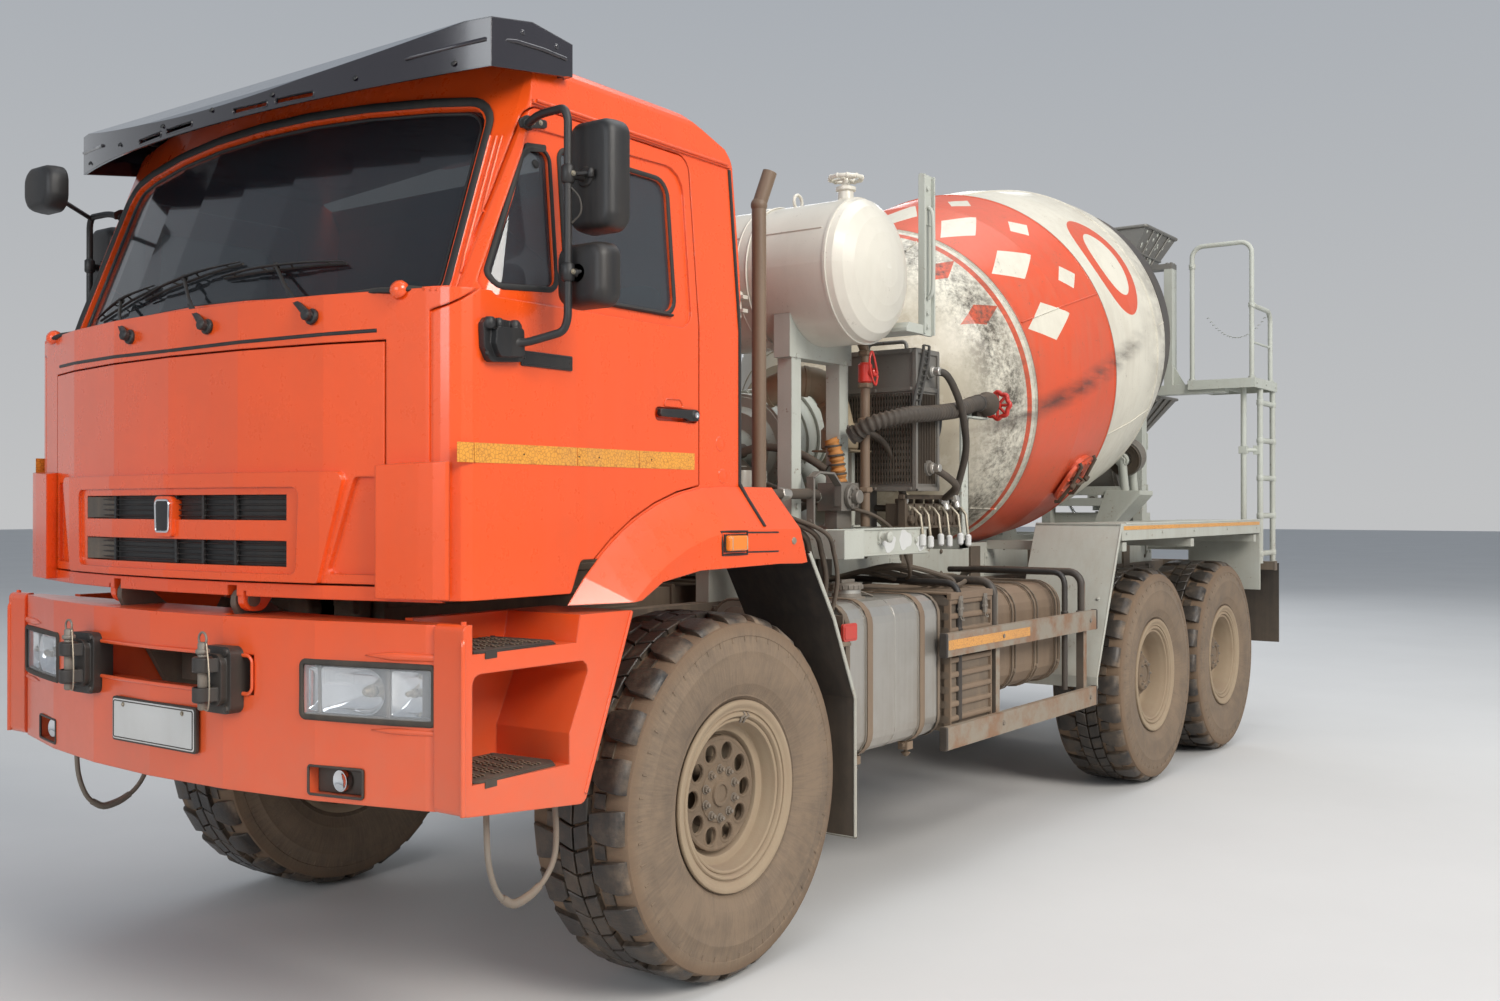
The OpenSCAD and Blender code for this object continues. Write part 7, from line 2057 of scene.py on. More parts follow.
def pump_details():
    """Manifold bolts, pulleys, fan blades, filters and wiring of the drum's motor."""
    motor = Piece("motor_details")
    for x in range(-1450, -1110, 107):
        for y in (-1, 1):
            motor.disc((x, y * 88, 1762), UP, 14, 0, 40, 2, 6)
            motor.disc((x, y * 150, 1860), (0, y, 0), 30, -14, 0, 3, 6)
        motor.lathe([(48, 0), (52, 4), (52, 16), (42, 20), (42, 110), (50, 114), (50, 126), (20, 134),
            (POLE, 134)], (x, 0, 1800), UP, 28)
    for z in range(1560, 1740, 44):
        motor.brick((-1510, -1070), (-178, 178), (z, z + 12))
    motor.bolts([(x, y * 170, 1540) for x in (-1480, -1380, -1280, -1180, -1100) for y in (-1, 1)], UP, 11,
        10)
    for side in (-1, 1):
        motor.brick((-1690, -880), (side * MOTOR_FEET_Y - 44, side * MOTOR_FEET_Y + 44), (1574, 1582))
        motor.bolts([(x, side * MOTOR_FEET_Y, 1580) for x in (-1660, -1400, -1180, -910)], UP, 13, 11)
    motor.end(IRON, bevel=3, bevel_steps=1)
    fan = Piece("motor_fan")
    for a in angles(8):
        c, s = cos(a), sin(a)
        fan.loft([[(-978 + dx, -w * s + r * c, 1740 + w * c + r * s) for dx, w in ((-14, -26), (10, 30),
            (16, 30), (-8, -26))] for r in (40, 120, 192)])
    fan.disc((-990, 0, 1740), AHEAD, 52, 0, 46, 8, 32)
    fan.lathe([(206, -30), (216, -30), (216, 44), (206, 44)], (-985, 0, 1740), AHEAD, 56, closed=True)
    fan.end(BLACK, angle=40)
    belt = Piece("motor_belt")
    for x in (-1040, -1026):
        belt.sweep([(x, 90 * cos(a) * (1.4 if sin(a) < 0 else 1.0), 1690 + 110 * sin(a)) for a in angles(48)],
            7, 8, closed=True)
    for y, z, r in ((0, 1740, 78), (-105, 1610, 52), (110, 1640, 44)):
        belt.lathe([(r - 12, 0), (r, 0), (r - 8, 8), (r, 16), (r - 8, 24), (r, 32), (r - 12, 32)],
            (-1052, y, z), AHEAD, 36)
    belt.end(RUBBER)
    filters = Piece("pump_filters")
    for x in (-1440, -1320):
        filters.lathe([(40, -6), (50, 0), (52, 12), (50, 30), (50, 168), (44, 186), (20, 194), (POLE, 194)],
            (x, 260, 1590), UP, 32)
    filters.lathe([(76, 0), (79, 6), (79, 14), (76, 20), (76, 120), (80, 126), (80, 136), (76, 142),
        (76, 240), (60, 254), (56, 300), (64, 312), (64, 350), (POLE, 356)], (-1120, 275, 1579), UP, 40)
    filters.end(CREAM, angle=35)
    wires = Piece("pump_wiring")
    for k in range(5):
        wires.sweep(smooth([(-1480, 60 - 20 * k, 1985 - 6 * k), (-1400, 120 + 14 * k, 1960),
            (-1280, 175 + 8 * k, 1880 - 12 * k), (-1200, 190 + 6 * k, 1760 - 20 * k),
            (-1220, 220 + 10 * k, 1640)], 7), 6 + k % 3, 8)
        wires.sweep(smooth([(-1500, -120 - 8 * k, 1900 - 22 * k), (-1590, -190 - 14 * k, 1820 - 16 * k),
            (-1620, -230, 1700 - 20 * k), (-1580, -215, 1582)], 7), 7, 8)
    wires.end(HOSE)
    gear = Piece("drum_gearbox_details")
    for s, r, t in ((-1400, 243, 16), (-1320, 248, 20), (-1220, 246, 14), (-1120, 250, 22), (-1040, 246, 14)):
        at = Vector(BAND_AT) + DRUM_U * s
        gear.lathe([(r - 6, -t / 2), (r + 8, -t / 2), (r + 8, t / 2), (r - 6, t / 2)], at, DRUM_U, 56,
            closed=True)
        if t == 20:
            gear.bolts([at + DRUM_U * -10 + drum_out(a) * 244 for a in angles(16)], -DRUM_U, 10, 12)
    end = Vector(BAND_AT) + DRUM_U * -1400
    gear.lathe([(240, 0), (236, 14), (190, 20), (170, 60), (90, 66), (80, 140), (POLE, 146)], end, -DRUM_U,
        48)
    gear.end(PALE, angle=35)


def drum_out(turn):
    """The way out from the drum's axis, turned from the top towards the left."""
    return DRUM_UP * cos(turn) + Vector((0, sin(turn), 0))


def on_drum(s, r, turn):
    """A point s along the drum's axis from its band and r out."""
    return Vector(BAND_AT) + DRUM_U * s + drum_out(turn) * r


def drum_skin(skin, s, turn, stand=0.0):
    """Where the drum's surface lies at a place along its axis and a turn round it."""
    start = on_drum(s, OFF_DRUM, turn)
    return skin.hit(*start, -drum_out(turn), stand)


def drum_details():
    """Welds, hatch, ring edges, mouth and the first turns of the blades."""
    skin = Skin("drum")
    # Weld seams along the shell between the ring seams, and faint ring stiffeners
    seams = Piece("drum_seams")
    for low, high, turns in ((-860, -20, (0.4, 2.4, 4.6)), (20, 800, (1.2, 3.3, 5.2)),
            (840, 1580, (0.2, 2.0, 4.1)), (1620, 2130, (1.5, 3.6, 5.8)), (2280, 2900, (0.9, 3.0, 5.0))):
        for turn in turns:
            seams.sweep([drum_skin(skin, low + (high - low) * k / 10, turn, 1) for k in range(11)], 5, 6)
    for s in (-880, -10, 10, 806, 826, 1590, 1610, 2290):
        seams.sweep([drum_skin(skin, s, 2 * pi * k / 96, 0.5) for k in range(96)], 4, 6, closed=True)
    seams.end(DRUM, "drum", angle=60)
    hatch = Piece("drum_hatch_cover")
    turn = radians(128)
    out = drum_out(turn).normalized()
    side = DRUM_U.cross(out).normalized()
    centre = drum_skin(skin, 600, turn, 0)
    rings = []
    for inset, high in ((-14, -10), (-14, 8), (-6, 12), (20, 12), (34, 6), (60, 6)):
        rings.append([centre + DRUM_U * u + side * v + out * high for v, u in rounded([(-110 + inset,
            -150 + inset, 80), (110 - inset, -150 + inset, 80), (110 - inset, 150 - inset, 80),
            (-110 + inset, 150 - inset, 80)], 6)])
    hatch.loft(rings)
    hatch.bolts([centre + DRUM_U * 158 * cos(a) + side * 118 * sin(a) + out * 8
        for a in (2 * pi * k / 10 + 0.3 for k in range(10))], out, 10, 12)
    hatch.end(DRUM, "drum", angle=40)
    clamps = Piece("drum_hatch_clamps")
    for u in (-105, 105):
        clamps.sweep([centre + DRUM_U * u + side * v + out * h for v, h in ((-142, 4), (-128, 24), (0, 34),
            (128, 24), (142, 4))], 11, 8)
        clamps.disc(centre + DRUM_U * u + out * 30, out, 20, 0, 26, 4, 6)
    clamps.sweep(bend([centre + DRUM_U * -50 + out * 8, centre + DRUM_U * -50 + out * 52,
        centre + DRUM_U * 50 + out * 52, centre + DRUM_U * 50 + out * 8], 16, 4), 8, 10)
    clamps.end(IRON, "drum", angle=40)
    # Edges of the roller ring, the mouth's rim and the first turns of the blades inside
    ring = Piece("drum_ring_edges")
    for s, way in ((2150, -1), (2260, 1)):
        ring.lathe([(812, 0), (820, 4), (884, 5), (893, 2), (895, 0)], on_drum(s, 0, 0), DRUM_U * way, 96)
    for a in angles(16):
        for s, way in ((2150, -1), (2260, 1)):
            foot = on_drum(s, 812, a)
            radial = (foot - on_drum(s, 0, a)).normalized()
            across_way = DRUM_U.cross(radial)
            ring.loft([[foot + radial * u + DRUM_U * way * v + across_way * w
                for u, v in ((-10, 0), (60, 0), (-30, 110))] for w in (-5, 5)])
    ring.end(GREY_STEEL, "drum", angle=35)
    mouth = Piece("drum_mouth_rim")
    edge = (drum_skin(skin, MOUTH_S - 30, 0, 0) - on_drum(MOUTH_S - 30, 0, 0)).length
    mouth.lathe([(edge - 12, 0), (edge + 14, 0), (edge + 16, 8), (edge + 14, 24), (edge - 12, 24)],
        on_drum(MOUTH_S - 26, 0, 0), DRUM_U, 72, closed=True)
    for start in (0, pi):
        strips = []
        for k in range(61):
            share = k / 60
            s = MOUTH_S - 20 - 900 * share
            a = start - 2 * pi * 1.15 * share
            wall = edge - 8 + 0.28 * (MOUTH_S - 30 - s)
            deep = 170 + 120 * share
            strips.append([on_drum(s, wall - deep, a), on_drum(s + 40, wall - 2, a),
                on_drum(s + 48, wall - 2, a), on_drum(s + 8, wall - deep, a)])
        mouth.loft(strips)
    mouth.end(IRON, "drum", angle=50)


water_tank_details()
cooler_details()
hoses()
valves()
levers()
pump_details()
drum_details()


# Rear: ladder, platform, hopper, collector, chute, wings, lamps and the towing jaw

PLATFORM_Z = 2480
LADDER_X = (-6660, -6340)
CHUTE_X = -6480
CHUTE_R = 210
WING_TOP = 1502
BAR_X = -6632
JAW_X = -6560
LADDER_Y = 1190
WING_Y = 1225
REFLECTOR = (1130, 1165)


def rear_lamps(side, sign):
    """Long lamp under the cross bar with four coloured chambers, and its reflector."""
    box = Piece("rear_lamp_" + side)
    y0, y1 = 662, 1028
    box.brick((BAR_X + 2, BAR_X + 58), (sign * y0, sign * y1), (1012, 1133))
    box.sweep([(BAR_X - 2, sign * u, v) for u, v in rectangle((y0 + 4, y1 - 4), (1016, 1129), 12)], 6, 8,
        closed=True)
    for y in (720, 970):
        box.bolts([(BAR_X + 30, sign * y, 1134)], UP, 8, 10)
    box.end(BLACK, bevel=4, replaces=["lamps"])
    for index, (low, high, material) in enumerate(((668, 782, TAIL_RED), (788, 862, PLATE),
            (868, 942, TAIL_RED), (948, 1022, AMBER))):
        lens = Piece("rear_lens_" + side + "_" + str(index + 1))
        rings = [[(BAR_X - out, sign * u, v) for u, v in rectangle((low + inset, high - inset),
            (1022 + inset, 1123 - inset), 9)] for inset, out in ((0, -2), (0, 5), (3, 9), (8, 10.5))]
        lens.loft(rings)
        for k in range(5):
            z = 1036 + 18 * k
            lens.sweep([(BAR_X - 10.5, sign * (low + 9), z), (BAR_X - 10.5, sign * (high - 9), z)], 1.8, 6)
        lens.end(material, replaces=["lamps"])
    extra = Piece("rear_reflector_" + side)
    extra.disc((BAR_X, sign * REFLECTOR[0], REFLECTOR[1]), -AHEAD, 27, 0, 9, 3, 36)
    extra.end(TAIL_RED)
    bar = Piece("rear_bar_details_" + side)
    bar.bolts([(BAR_X - 1, sign * y, 1165) for y in (150, 320, 480, 620, 1060, 1200)], -AHEAD, 11, 8)
    bar.brick((BAR_X - 6, BAR_X + 62), (sign * 1223, sign * 1229), (1131, 1199))
    bar.lathe([(27, 0), (27, 5), (32, 7), (32, 0)], (BAR_X, sign * REFLECTOR[0], REFLECTOR[1]), -AHEAD, 36,
        closed=True)
    bar.end(CHASSIS, bevel=1.5)
    wires = Piece("rear_wires_" + side)
    wires.sweep(smooth([(BAR_X + 56, sign * 760, 1080), (BAR_X + 90, sign * 700, 1050),
        (BAR_X + 110, sign * 560, 1090), (BAR_X + 90, sign * 430, 1120)], 8), 7, 8)
    wires.end(HOSE)


def jaw_details():
    """Backing plate, bolts and pin of the towing jaw, and the rear plate's bare holder."""
    jaw = Piece("towing_jaw_details")
    x = JAW_X
    jaw.bolts([(x - 12, u, v) for u in (-110, 110) for v in (985, 1130)], -AHEAD, 16, 16)
    jaw.prism(rectangle((-150, 150), (955, 1160), 30), "x", x - 26, x - 11)
    for lean in (-1, 1):
        jaw.prism([(x - 26, 1058 + lean * 70), (x - 90, 1058 + lean * 70), (x - 26, 1058 + lean * 100)], "y",
            -8, 8)
    pin = Piece("towing_jaw_pin")
    pin.disc((x - 116, 0, 968), UP, 19, 0, 186, 3, 28)
    pin.disc((x - 116, 0, 1150), UP, 31, 0, 16, 3, 28)
    pin.sweep(smooth([(x - 116, 0, 1166), (x - 116, 0, 1190), (x - 96, 30, 1216), (x - 60, 60, 1200)], 6), 8,
        10)
    pin.end(GREY_STEEL, angle=40)
    jaw.end(IRON, bevel=3)
    plate = Piece("rear_plate_holder")
    plate.brick((-6716, -6708), (-640, -430), (1040, 1160))
    plate.end(BLACK, bevel=2)


def ladder_details():
    """Ribbed rungs and the brackets of the ladder."""
    grips = Piece("ladder_rungs")
    for z in range(1260, 2401, 270):
        grips.sweep([(LADDER_X[0] + 16, LADDER_Y, z), (LADDER_X[1] - 16, LADDER_Y, z)], 17, 16)
        for x in LADDER_X:
            grips.lathe([(20, -22), (25, -16), (25, 16), (20, 22)], (x, LADDER_Y, z), UP, 24)
        for k in range(9):
            x = LADDER_X[0] + 40 + 30 * k
            grips.lathe([(17, -5), (20, 0), (17, 5)], (x, LADDER_Y, z), AHEAD, 16)
    grips.end(PALE, angle=40)
    plates = Piece("ladder_brackets")
    for z in (1300, 2000):
        plates.brick((LADDER_X[1] - 10, LADDER_X[1] + 34), (1150, 1196), (z - 32, z + 32))
        plates.brick((-6280, -6228), (1070, 1126), (z - 26, z + 26))
    plates.brick((-6290, -6210), (398, 408), (1240, 1360))
    plates.bolts([(x, 408, z) for x in (-6274, -6226) for z in (1262, 1338)], LEFT, 10, 8)
    plates.end(PALE, bevel=2)


def platform_details():
    """Open grating with its frame, kick plate, rail clamps and chain."""
    z = PLATFORM_Z
    frame_piece = Piece("platform_frame")
    for y in (744, 1211):
        frame_piece.brick((-6692, -6128), (y - 5, y + 5), (z - 44, z + 24))
    for x in (-6687, -6132):
        frame_piece.brick((x - 5, x + 5), (740, 1215), (z - 44, z + 24))
    frame_piece.brick((-6690, -6130), (960, 972), (z - 40, z))
    frame_piece.bolts([(x, 1216, z - 10) for x in (-6650, -6400, -6170)], LEFT, 9, 7)
    frame_piece.end(PALE, bevel=1.5)
    grating = Piece("platform_grating")
    for k in range(15):
        x = -6670 + 38 * k
        grating.brick((x - 2.5, x + 2.5), (748, 1208), (z + 11, z + 21))
    for k in range(12):
        y = 766 + 39 * k
        grating.brick((-6684, -6136), (y - 2.5, y + 2.5), (z + 12, z + 19))
    grating.end(GREY_STEEL)
    clamps = Piece("platform_rail_clamps")
    for at in ((-6170, 760, z + 22), (-6170, 1180, z + 22), (-6640, 1180, z + 22), (-6170, 1180, 3020),
            (-6170, 760, 3330)):
        clamps.lathe([(17, -18), (24, -16), (24, 16), (17, 18)], at, UP, 24)
        clamps.bolts([(at[0] + 24, at[1], at[2])], AHEAD, 7, 8)
    clamps.sweep([(-6190, 1180, 2760), (-6620, 1180, 2760)], 9, 10)
    for k in range(22):
        t = k / 21
        x, zz = -6640 + 10 * t, 3010 - 160 * 4 * t * (1 - t)
        y = 1175 - 430 * t
        clamps.sweep([(x + (9 if k % 2 else 0), y, zz), (x + (9 if k % 2 else 0), y - 11, zz + 3),
            (x - (0 if k % 2 else 9), y - 22, zz)], 3, 6)
    clamps.end(PALE, angle=45)


def funnel_level(top, foot, share):
    """Span along the truck, half width and height of a funnel's wall, between its top and foot."""
    x0, x1, y, z = (a + (b - a) * share for a, b in zip((*top[0], *top[1:]), (*foot[0], *foot[1:])))
    return (x0, x1), y, z


def funnel_ring(piece, level, out, drop, corner, radius, sides):
    """A rolled edge round a funnel, standing out from its wall."""
    (x0, x1), y, z = level
    piece.sweep([(u, v, z - drop) for u, v in rectangle((x0 - out, x1 + out), (-y - out, y + out), corner)],
        radius, sides, closed=True)


def funnel_ribs(piece, top, foot, inset, side_shares, rear_shares):
    """Ribs down both sides and down the rear wall."""
    def rib(a, b):
        piece.sweep([a, a.lerp(b, 0.5), b], 7, 8)

    for side in (-1, 1):
        for t in side_shares:
            rib(*(Vector((x[0] + (x[1] - x[0]) * t, side * (y + 3), z))
                for x, y, z in ((*top[:2], top[2] - inset), (*foot[:2], foot[2] + inset))))
    for k in rear_shares:
        rib(*(Vector((x[0] - 3, y * k, z)) for x, y, z in ((*top[:2], top[2] - inset),
            (*foot[:2], foot[2] + inset))))


def hopper_details():
    """Rolled rim, ribs and wear plate of the charge hopper, and the collector's flanges."""
    top = ((-6660, -6000), 480, 3640)
    foot = ((-6230, -5975), 235, 3060)
    hopper = Piece("hopper_rim_and_ribs")
    funnel_ring(hopper, top, 2, 4, 14, 13, 12)
    for share in (0.32, 0.66):
        funnel_ring(hopper, funnel_level(top, foot, share), 4, 0, 10, 9, 8)
    funnel_ribs(hopper, top, foot, 12, (0.25, 0.5, 0.75), (-0.6, 0, 0.6))
    funnel_ring(hopper, foot, 3, -4, 8, 8, 8)
    hopper.bolts([(x, side * y, 3370) for x in (-6225, -6175) for side in (-1, 1) for y in (575, 605)], UP,
        11, 10)
    hopper.end(GREY_STEEL, angle=50)
    crust = Piece("hopper_crust")
    rng = random.Random(7)
    for _ in range(70):
        side = rng.choice((-1, 1))
        (low, high), y, z = funnel_level(top, foot, rng.uniform(0.02, 0.5))
        x = rng.uniform(low + 40, high - 40)
        r = rng.uniform(5, 17)
        crust.lathe([(r, 0), (r * 0.8, 2), (r * 0.4, 3.5), (POLE, 4)], (x, side * y, z), (0, side, -0.42), 9)
    crust.end(PALE, angle=60)
    top = ((-6620, -6090), 500, 2410)
    foot = ((-6590, -6370), 120, 2010)
    collector = Piece("collector_edges")
    funnel_ring(collector, top, 2, 3, 14, 11, 12)
    funnel_ring(collector, foot, 3, -4, 14, 10, 10)
    funnel_ribs(collector, top, foot, 10, (0.25, 0.5, 0.75), (-0.5, 0.5))
    collector.end(GREY_STEEL, angle=50)


def chute_details():
    """Rolled lips, stiffeners, hinge washers, handle and dried concrete in the chute."""
    swing = Piece("chute_swing_details")
    swing.bolts([(CHUTE_X + 84 * cos(a), 84 * sin(a), 1600) for a in (2 * pi * k / 8 + 0.39 for k in range(8))
        if 84 * sin(a) > -60], -UP, 9, 8)
    swing.lathe([(61, 0), (72, 4), (72, 22), (61, 26)], (CHUTE_X, 0, 1398), UP, 36)
    for k in (-1, 1):
        swing.disc((CHUTE_X + k * 147, -60, 1650), AHEAD * k, 27, 0, 6, 1, 28)
        swing.disc((CHUTE_X + k * 152, -60, 1650), AHEAD * k, 15, 0, 14, 2, 6)
    swing.end(GREY_STEEL, "chute_swing", bevel=1)
    body = Piece("chute_details")
    top = 1700 + CHUTE_R
    for k in (-1, 1):
        body.sweep([(CHUTE_X + k * (CHUTE_R - 3), y, top + 3) for y in range(-950, 151, 50)], 8, 10)
    for y in (-980, -620, -200, 120):
        body.sweep([(CHUTE_X + (CHUTE_R + 3) * cos(a), y, top + (CHUTE_R + 3) * sin(a))
            for a in (pi + pi * k / 24 for k in range(1, 24))], 6, 8)
    body.sweep(bend([(CHUTE_X + 90, -700, 1725), (CHUTE_X + 90, -700, 1680), (CHUTE_X - 90, -700, 1680),
        (CHUTE_X - 90, -700, 1725)], 24, 4), 8, 10)
    body.end(GREY_STEEL, "chute", angle=50)
    crust = Piece("chute_crust")
    rng = random.Random(11)
    for k in range(60):
        a = pi + rng.uniform(0.2, 0.8) * pi
        y = rng.uniform(-930, 110)
        r = rng.uniform(9, 30)
        at = (CHUTE_X + (CHUTE_R - 9) * cos(a), y, top + (CHUTE_R - 9) * sin(a))
        crust.lathe([(r, 0), (r * 0.75, 3), (r * 0.35, 4.5), (POLE, 5)], at, (-cos(a), 0, -sin(a)), 9)
    crust.end(PALE, "chute", angle=60)


def wing_details(side, sign):
    """Orange tape, folded edges, brackets and bolts of the wings over the tandem."""
    tape = Piece("wing_tape_" + side)
    tape.brick((-6190, -3560), (sign * WING_Y, sign * (WING_Y + 1.4)), (WING_TOP - 34, WING_TOP - 12))
    tape.end(TAPE)
    edge = Piece("wing_edges_" + side)
    edge.sweep([(x, sign * (WING_Y - 4), WING_TOP) for x in range(-6200, -3530, 100)], 7, 8)
    edge.sweep([(x, sign * (WING_Y - 4), z) for x, z in spread([(-3534, WING_TOP), (-3176, 700),
        (-3176, 642)], 80)], 6, 8)
    edge.sweep([(-6208, sign * (WING_Y - 4), z) for z in (WING_TOP, 1300, 1014)], 6, 8)
    edge.bolts([(x, sign * WING_Y, WING_TOP - 52) for x in (-3600, -4180, -4760, -5440, -6120)], LEFT * sign,
        8, 6)
    edge.bolts([(-3350, sign * y, 1100) for y in (800, 980, 1160)], (0.93, 0, 0.4), 8, 8)
    edge.brick((-3544, -3524), (sign * 724, sign * 1224), (WING_TOP - 6, WING_TOP + 4))
    edge.end(PALE, bevel=1.2)


def drum_stand_details(side, sign):
    """Bolted feet of the stands, roller bearings with grease nipples, and gusset plates."""
    feet = Piece("drum_stand_details_" + side)
    for x in (-2500, -3600, -4760):
        feet.brick((x - 62, x + 62), (sign * (RAIL_Y - 22), sign * (RAIL_Y - 6)), (1200, 1330))
        feet.bolts([(x + dx, sign * (RAIL_Y - 6), z) for dx in (-42, 42) for z in (1225, 1305)], LEFT * sign,
            10, 8)
    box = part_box("roller_" + side)
    low = [c / MM for c in box[0]]
    high = [c / MM for c in box[1]]
    centre = Vector(((low[0] + high[0]) / 2 - AXLE_X / MM, (low[1] + high[1]) / 2, (low[2] + high[2]) / 2))
    for way in (-1, 1):
        at = centre + DRUM_U * way * 100
        feet.disc(at, DRUM_U * way, 48, -30, 2, 5, 32)
        feet.disc(at, DRUM_U * way, 30, 0, 12, 3, 24)
        feet.bolts([at + drum_out(a) * 38 for a in (0.8, 2.4, 3.9, 5.5)], DRUM_U * way, 6, 7)
    for z in (1700, 2080):
        feet.brick((-6262, -6246), (sign * 330, sign * 402), (z - 60, z + 60))
        feet.bolts([(-6262, sign * y, z + dz) for y in (350, 384) for dz in (-34, 34)], -AHEAD, 8, 7)
    feet.prism([(sign * 620, 2480), (sign * 620, 2620), (sign * 700, 2480)], "x", -6206, -6194)
    feet.bolts([(-6200, sign * y, 2480) for y in (650, 720, 800, 900)], UP, 9, 8)
    feet.end(PALE, bevel=1.5, bevel_steps=1)
    roller = Piece("roller_edges_" + side)
    for way in (-1, 1):
        roller.lathe([(52, 0), (58, 5), (100, 3), (112, 6), (116, 2), (116, 0)], centre + DRUM_U * way * 55,
            DRUM_U * way, 48)
    roller.end(IRON, "roller_" + side, angle=35)


for make in (rear_lamps, wing_details, drum_stand_details):
    mirrored(make)
jaw_details()
ladder_details()
platform_details()
hopper_details()
chute_details()


# Cab interior: padded seats, steering wheel and dashboard; visor and roof fittings

INSIDE = {"body": "cab", "replaces": ["cab_interior"]}
SEAT_Y = 700
WHEEL_AT = (790, 600, 2080)
WHEEL_RADIUS = 235
DIALS_Y = (510, 600, 690)
ABOVE_ROOF = 3300
OFF_VISOR = 1500  # Further out than the visor


def seat_shape(name, rings):
    """A cushion lofted from rounded rings, with its sewn channels between them."""
    cushion = Piece(name)
    cushion.loft(rings)
    made = cushion.end(SEAT, angle=70, **INSIDE)
    soften = made.modifiers.new("soft", "SUBSURF")
    soften.levels = soften.render_levels = 1
    return made


def cushion_ring(centre, half_u, half_v, power, count=40):
    """A level, rounded outline round a point."""
    ring = []
    for k in range(count):
        a = 2 * pi * k / count
        c, s = cos(a), sin(a)
        u = half_u * math.copysign(abs(c) ** (2 / power), c)
        v = half_v * math.copysign(abs(s) ** (2 / power), s)
        ring.append((centre[0] + u, centre[1] + v, centre[2]))
    return ring


def seat(side, sign):
    """Padded cushion, back and headrest on a bellows base, with the belt."""
    y = sign * SEAT_Y
    rings = []
    for z, size in ((1702, 0.86), (1712, 0.97), (1740, 1.0), (1770, 0.99), (1788, 0.93), (1796, 0.80),
            (1793, 0.74), (1799, 0.62), (1796, 0.56), (1801, 0.35), (1801, 0.12)):
        rings.append(cushion_ring((230, y, z), 248 * size, 226 * size, 4.5))
    seat_shape("seat_cushion_" + side, rings)
    rings = []
    for z, size, depth in ((1785, 0.80, 0.8), (1800, 0.95, 1.0), (1860, 1.0, 1.08), (1900, 0.985, 0.94),
            (1912, 0.97, 0.86), (1924, 0.985, 0.94), (1990, 1.0, 1.04), (2040, 0.985, 0.93),
            (2052, 0.97, 0.85), (2064, 0.98, 0.93), (2120, 0.98, 1.0), (2200, 0.93, 0.92), (2225, 0.82, 0.8),
            (2234, 0.6, 0.55)):
        lean = (z - 1785) * 0.04
        rings.append(cushion_ring((-22 - lean, y, z), 50 * depth, 226 * size, 3.6))
    seat_shape("seat_back_" + side, rings)
    rings = []
    for z, size in ((2250, 0.7), (2262, 0.94), (2300, 1.0), (2350, 0.98), (2384, 0.86), (2396, 0.5)):
        rings.append(cushion_ring((-42, y, z), 38 * size, 132 * size, 3.4))
    seat_shape("headrest_" + side, rings)
    base = Piece("seat_base_" + side)
    for dy in (-60, 60):
        base.disc((-40, y + dy, 2215), UP, 7, 0, 50, 1, 12)
    base.brick((20, 440), (y - 190, y + 190), (1676, 1704))
    rings = []
    for k in range(7):
        z = 1486 + 31 * k
        size = 1.0 if k % 2 else 0.9
        rings.append([(240 + u * size, y + v * size, z) for u, v in rectangle((-140, 140), (-150, 150), 30)])
    base.loft(rings)
    for dy in (-216, 216):
        base.brick((-30, 430), (y + dy - 14, y + dy + 14), (1690, 1716))
    base.end(BLACK, bevel=3, **INSIDE)
    belt = Piece("seat_belt_" + side)
    belt.loft([[(x, yy + dy, z) for dy in (-23, 23)] + [(x + 3, yy + dy, z) for dy in (23, -23)]
        for x, yy, z in ((-118, y + sign * 210, 2420), (-100, y + sign * 180, 2260),
        (34, y + sign * 100, 2120), (40, y + sign * 20, 1980), (42, y - sign * 90, 1860),
        (44, y - sign * 190, 1806))])
    belt.end(HOSE, **INSIDE)


def steering_wheel():
    """Rim with finger grips, three spokes, the column and its stalks."""
    centre = Vector(WHEEL_AT)
    axis = Vector((-sin(radians(60)), 0, cos(radians(60))))
    u = LEFT
    v = axis.cross(u).normalized()
    wheel = Piece("steering_wheel")
    rim = [centre + (u * cos(a) + v * sin(a)) * WHEEL_RADIUS for a in angles(72)]
    wheel.sweep(rim, lambda t: 15 + 1.2 * cos(2 * pi * 18 * t), 14, closed=True)
    for a in (radians(100), radians(215), radians(325)):
        way = u * cos(a) + v * sin(a)
        wheel.sweep([centre + way * r + axis * h for r, h in ((226, 0), (160, -18), (90, -34), (50, -38))],
            lambda t: 13 + 12 * t, 12, flat=0.45, up=axis)
    wheel.lathe([(POLE, 6), (40, 4), (64, -6), (76, -24), (78, -44), (60, -62), (40, -70), (POLE, -72)],
        centre, axis, 40)
    wheel.end(BLACK, angle=45, **INSIDE)
    column = Piece("steering_column")
    foot = Vector((985, 600, 1965))
    column.sweep([centre + axis * -60, centre.lerp(foot, 0.4), foot], lambda t: 36 + 26 * t, 20)
    for side in (-1, 1):
        start = centre + axis * -95 + u * side * 40
        column.sweep(smooth([start, start + u * side * 80 + v * 6, start + u * side * 150 + v * 24], 5),
            lambda t: 9 + 3 * t, 10)
    column.end(BLACK, **INSIDE)


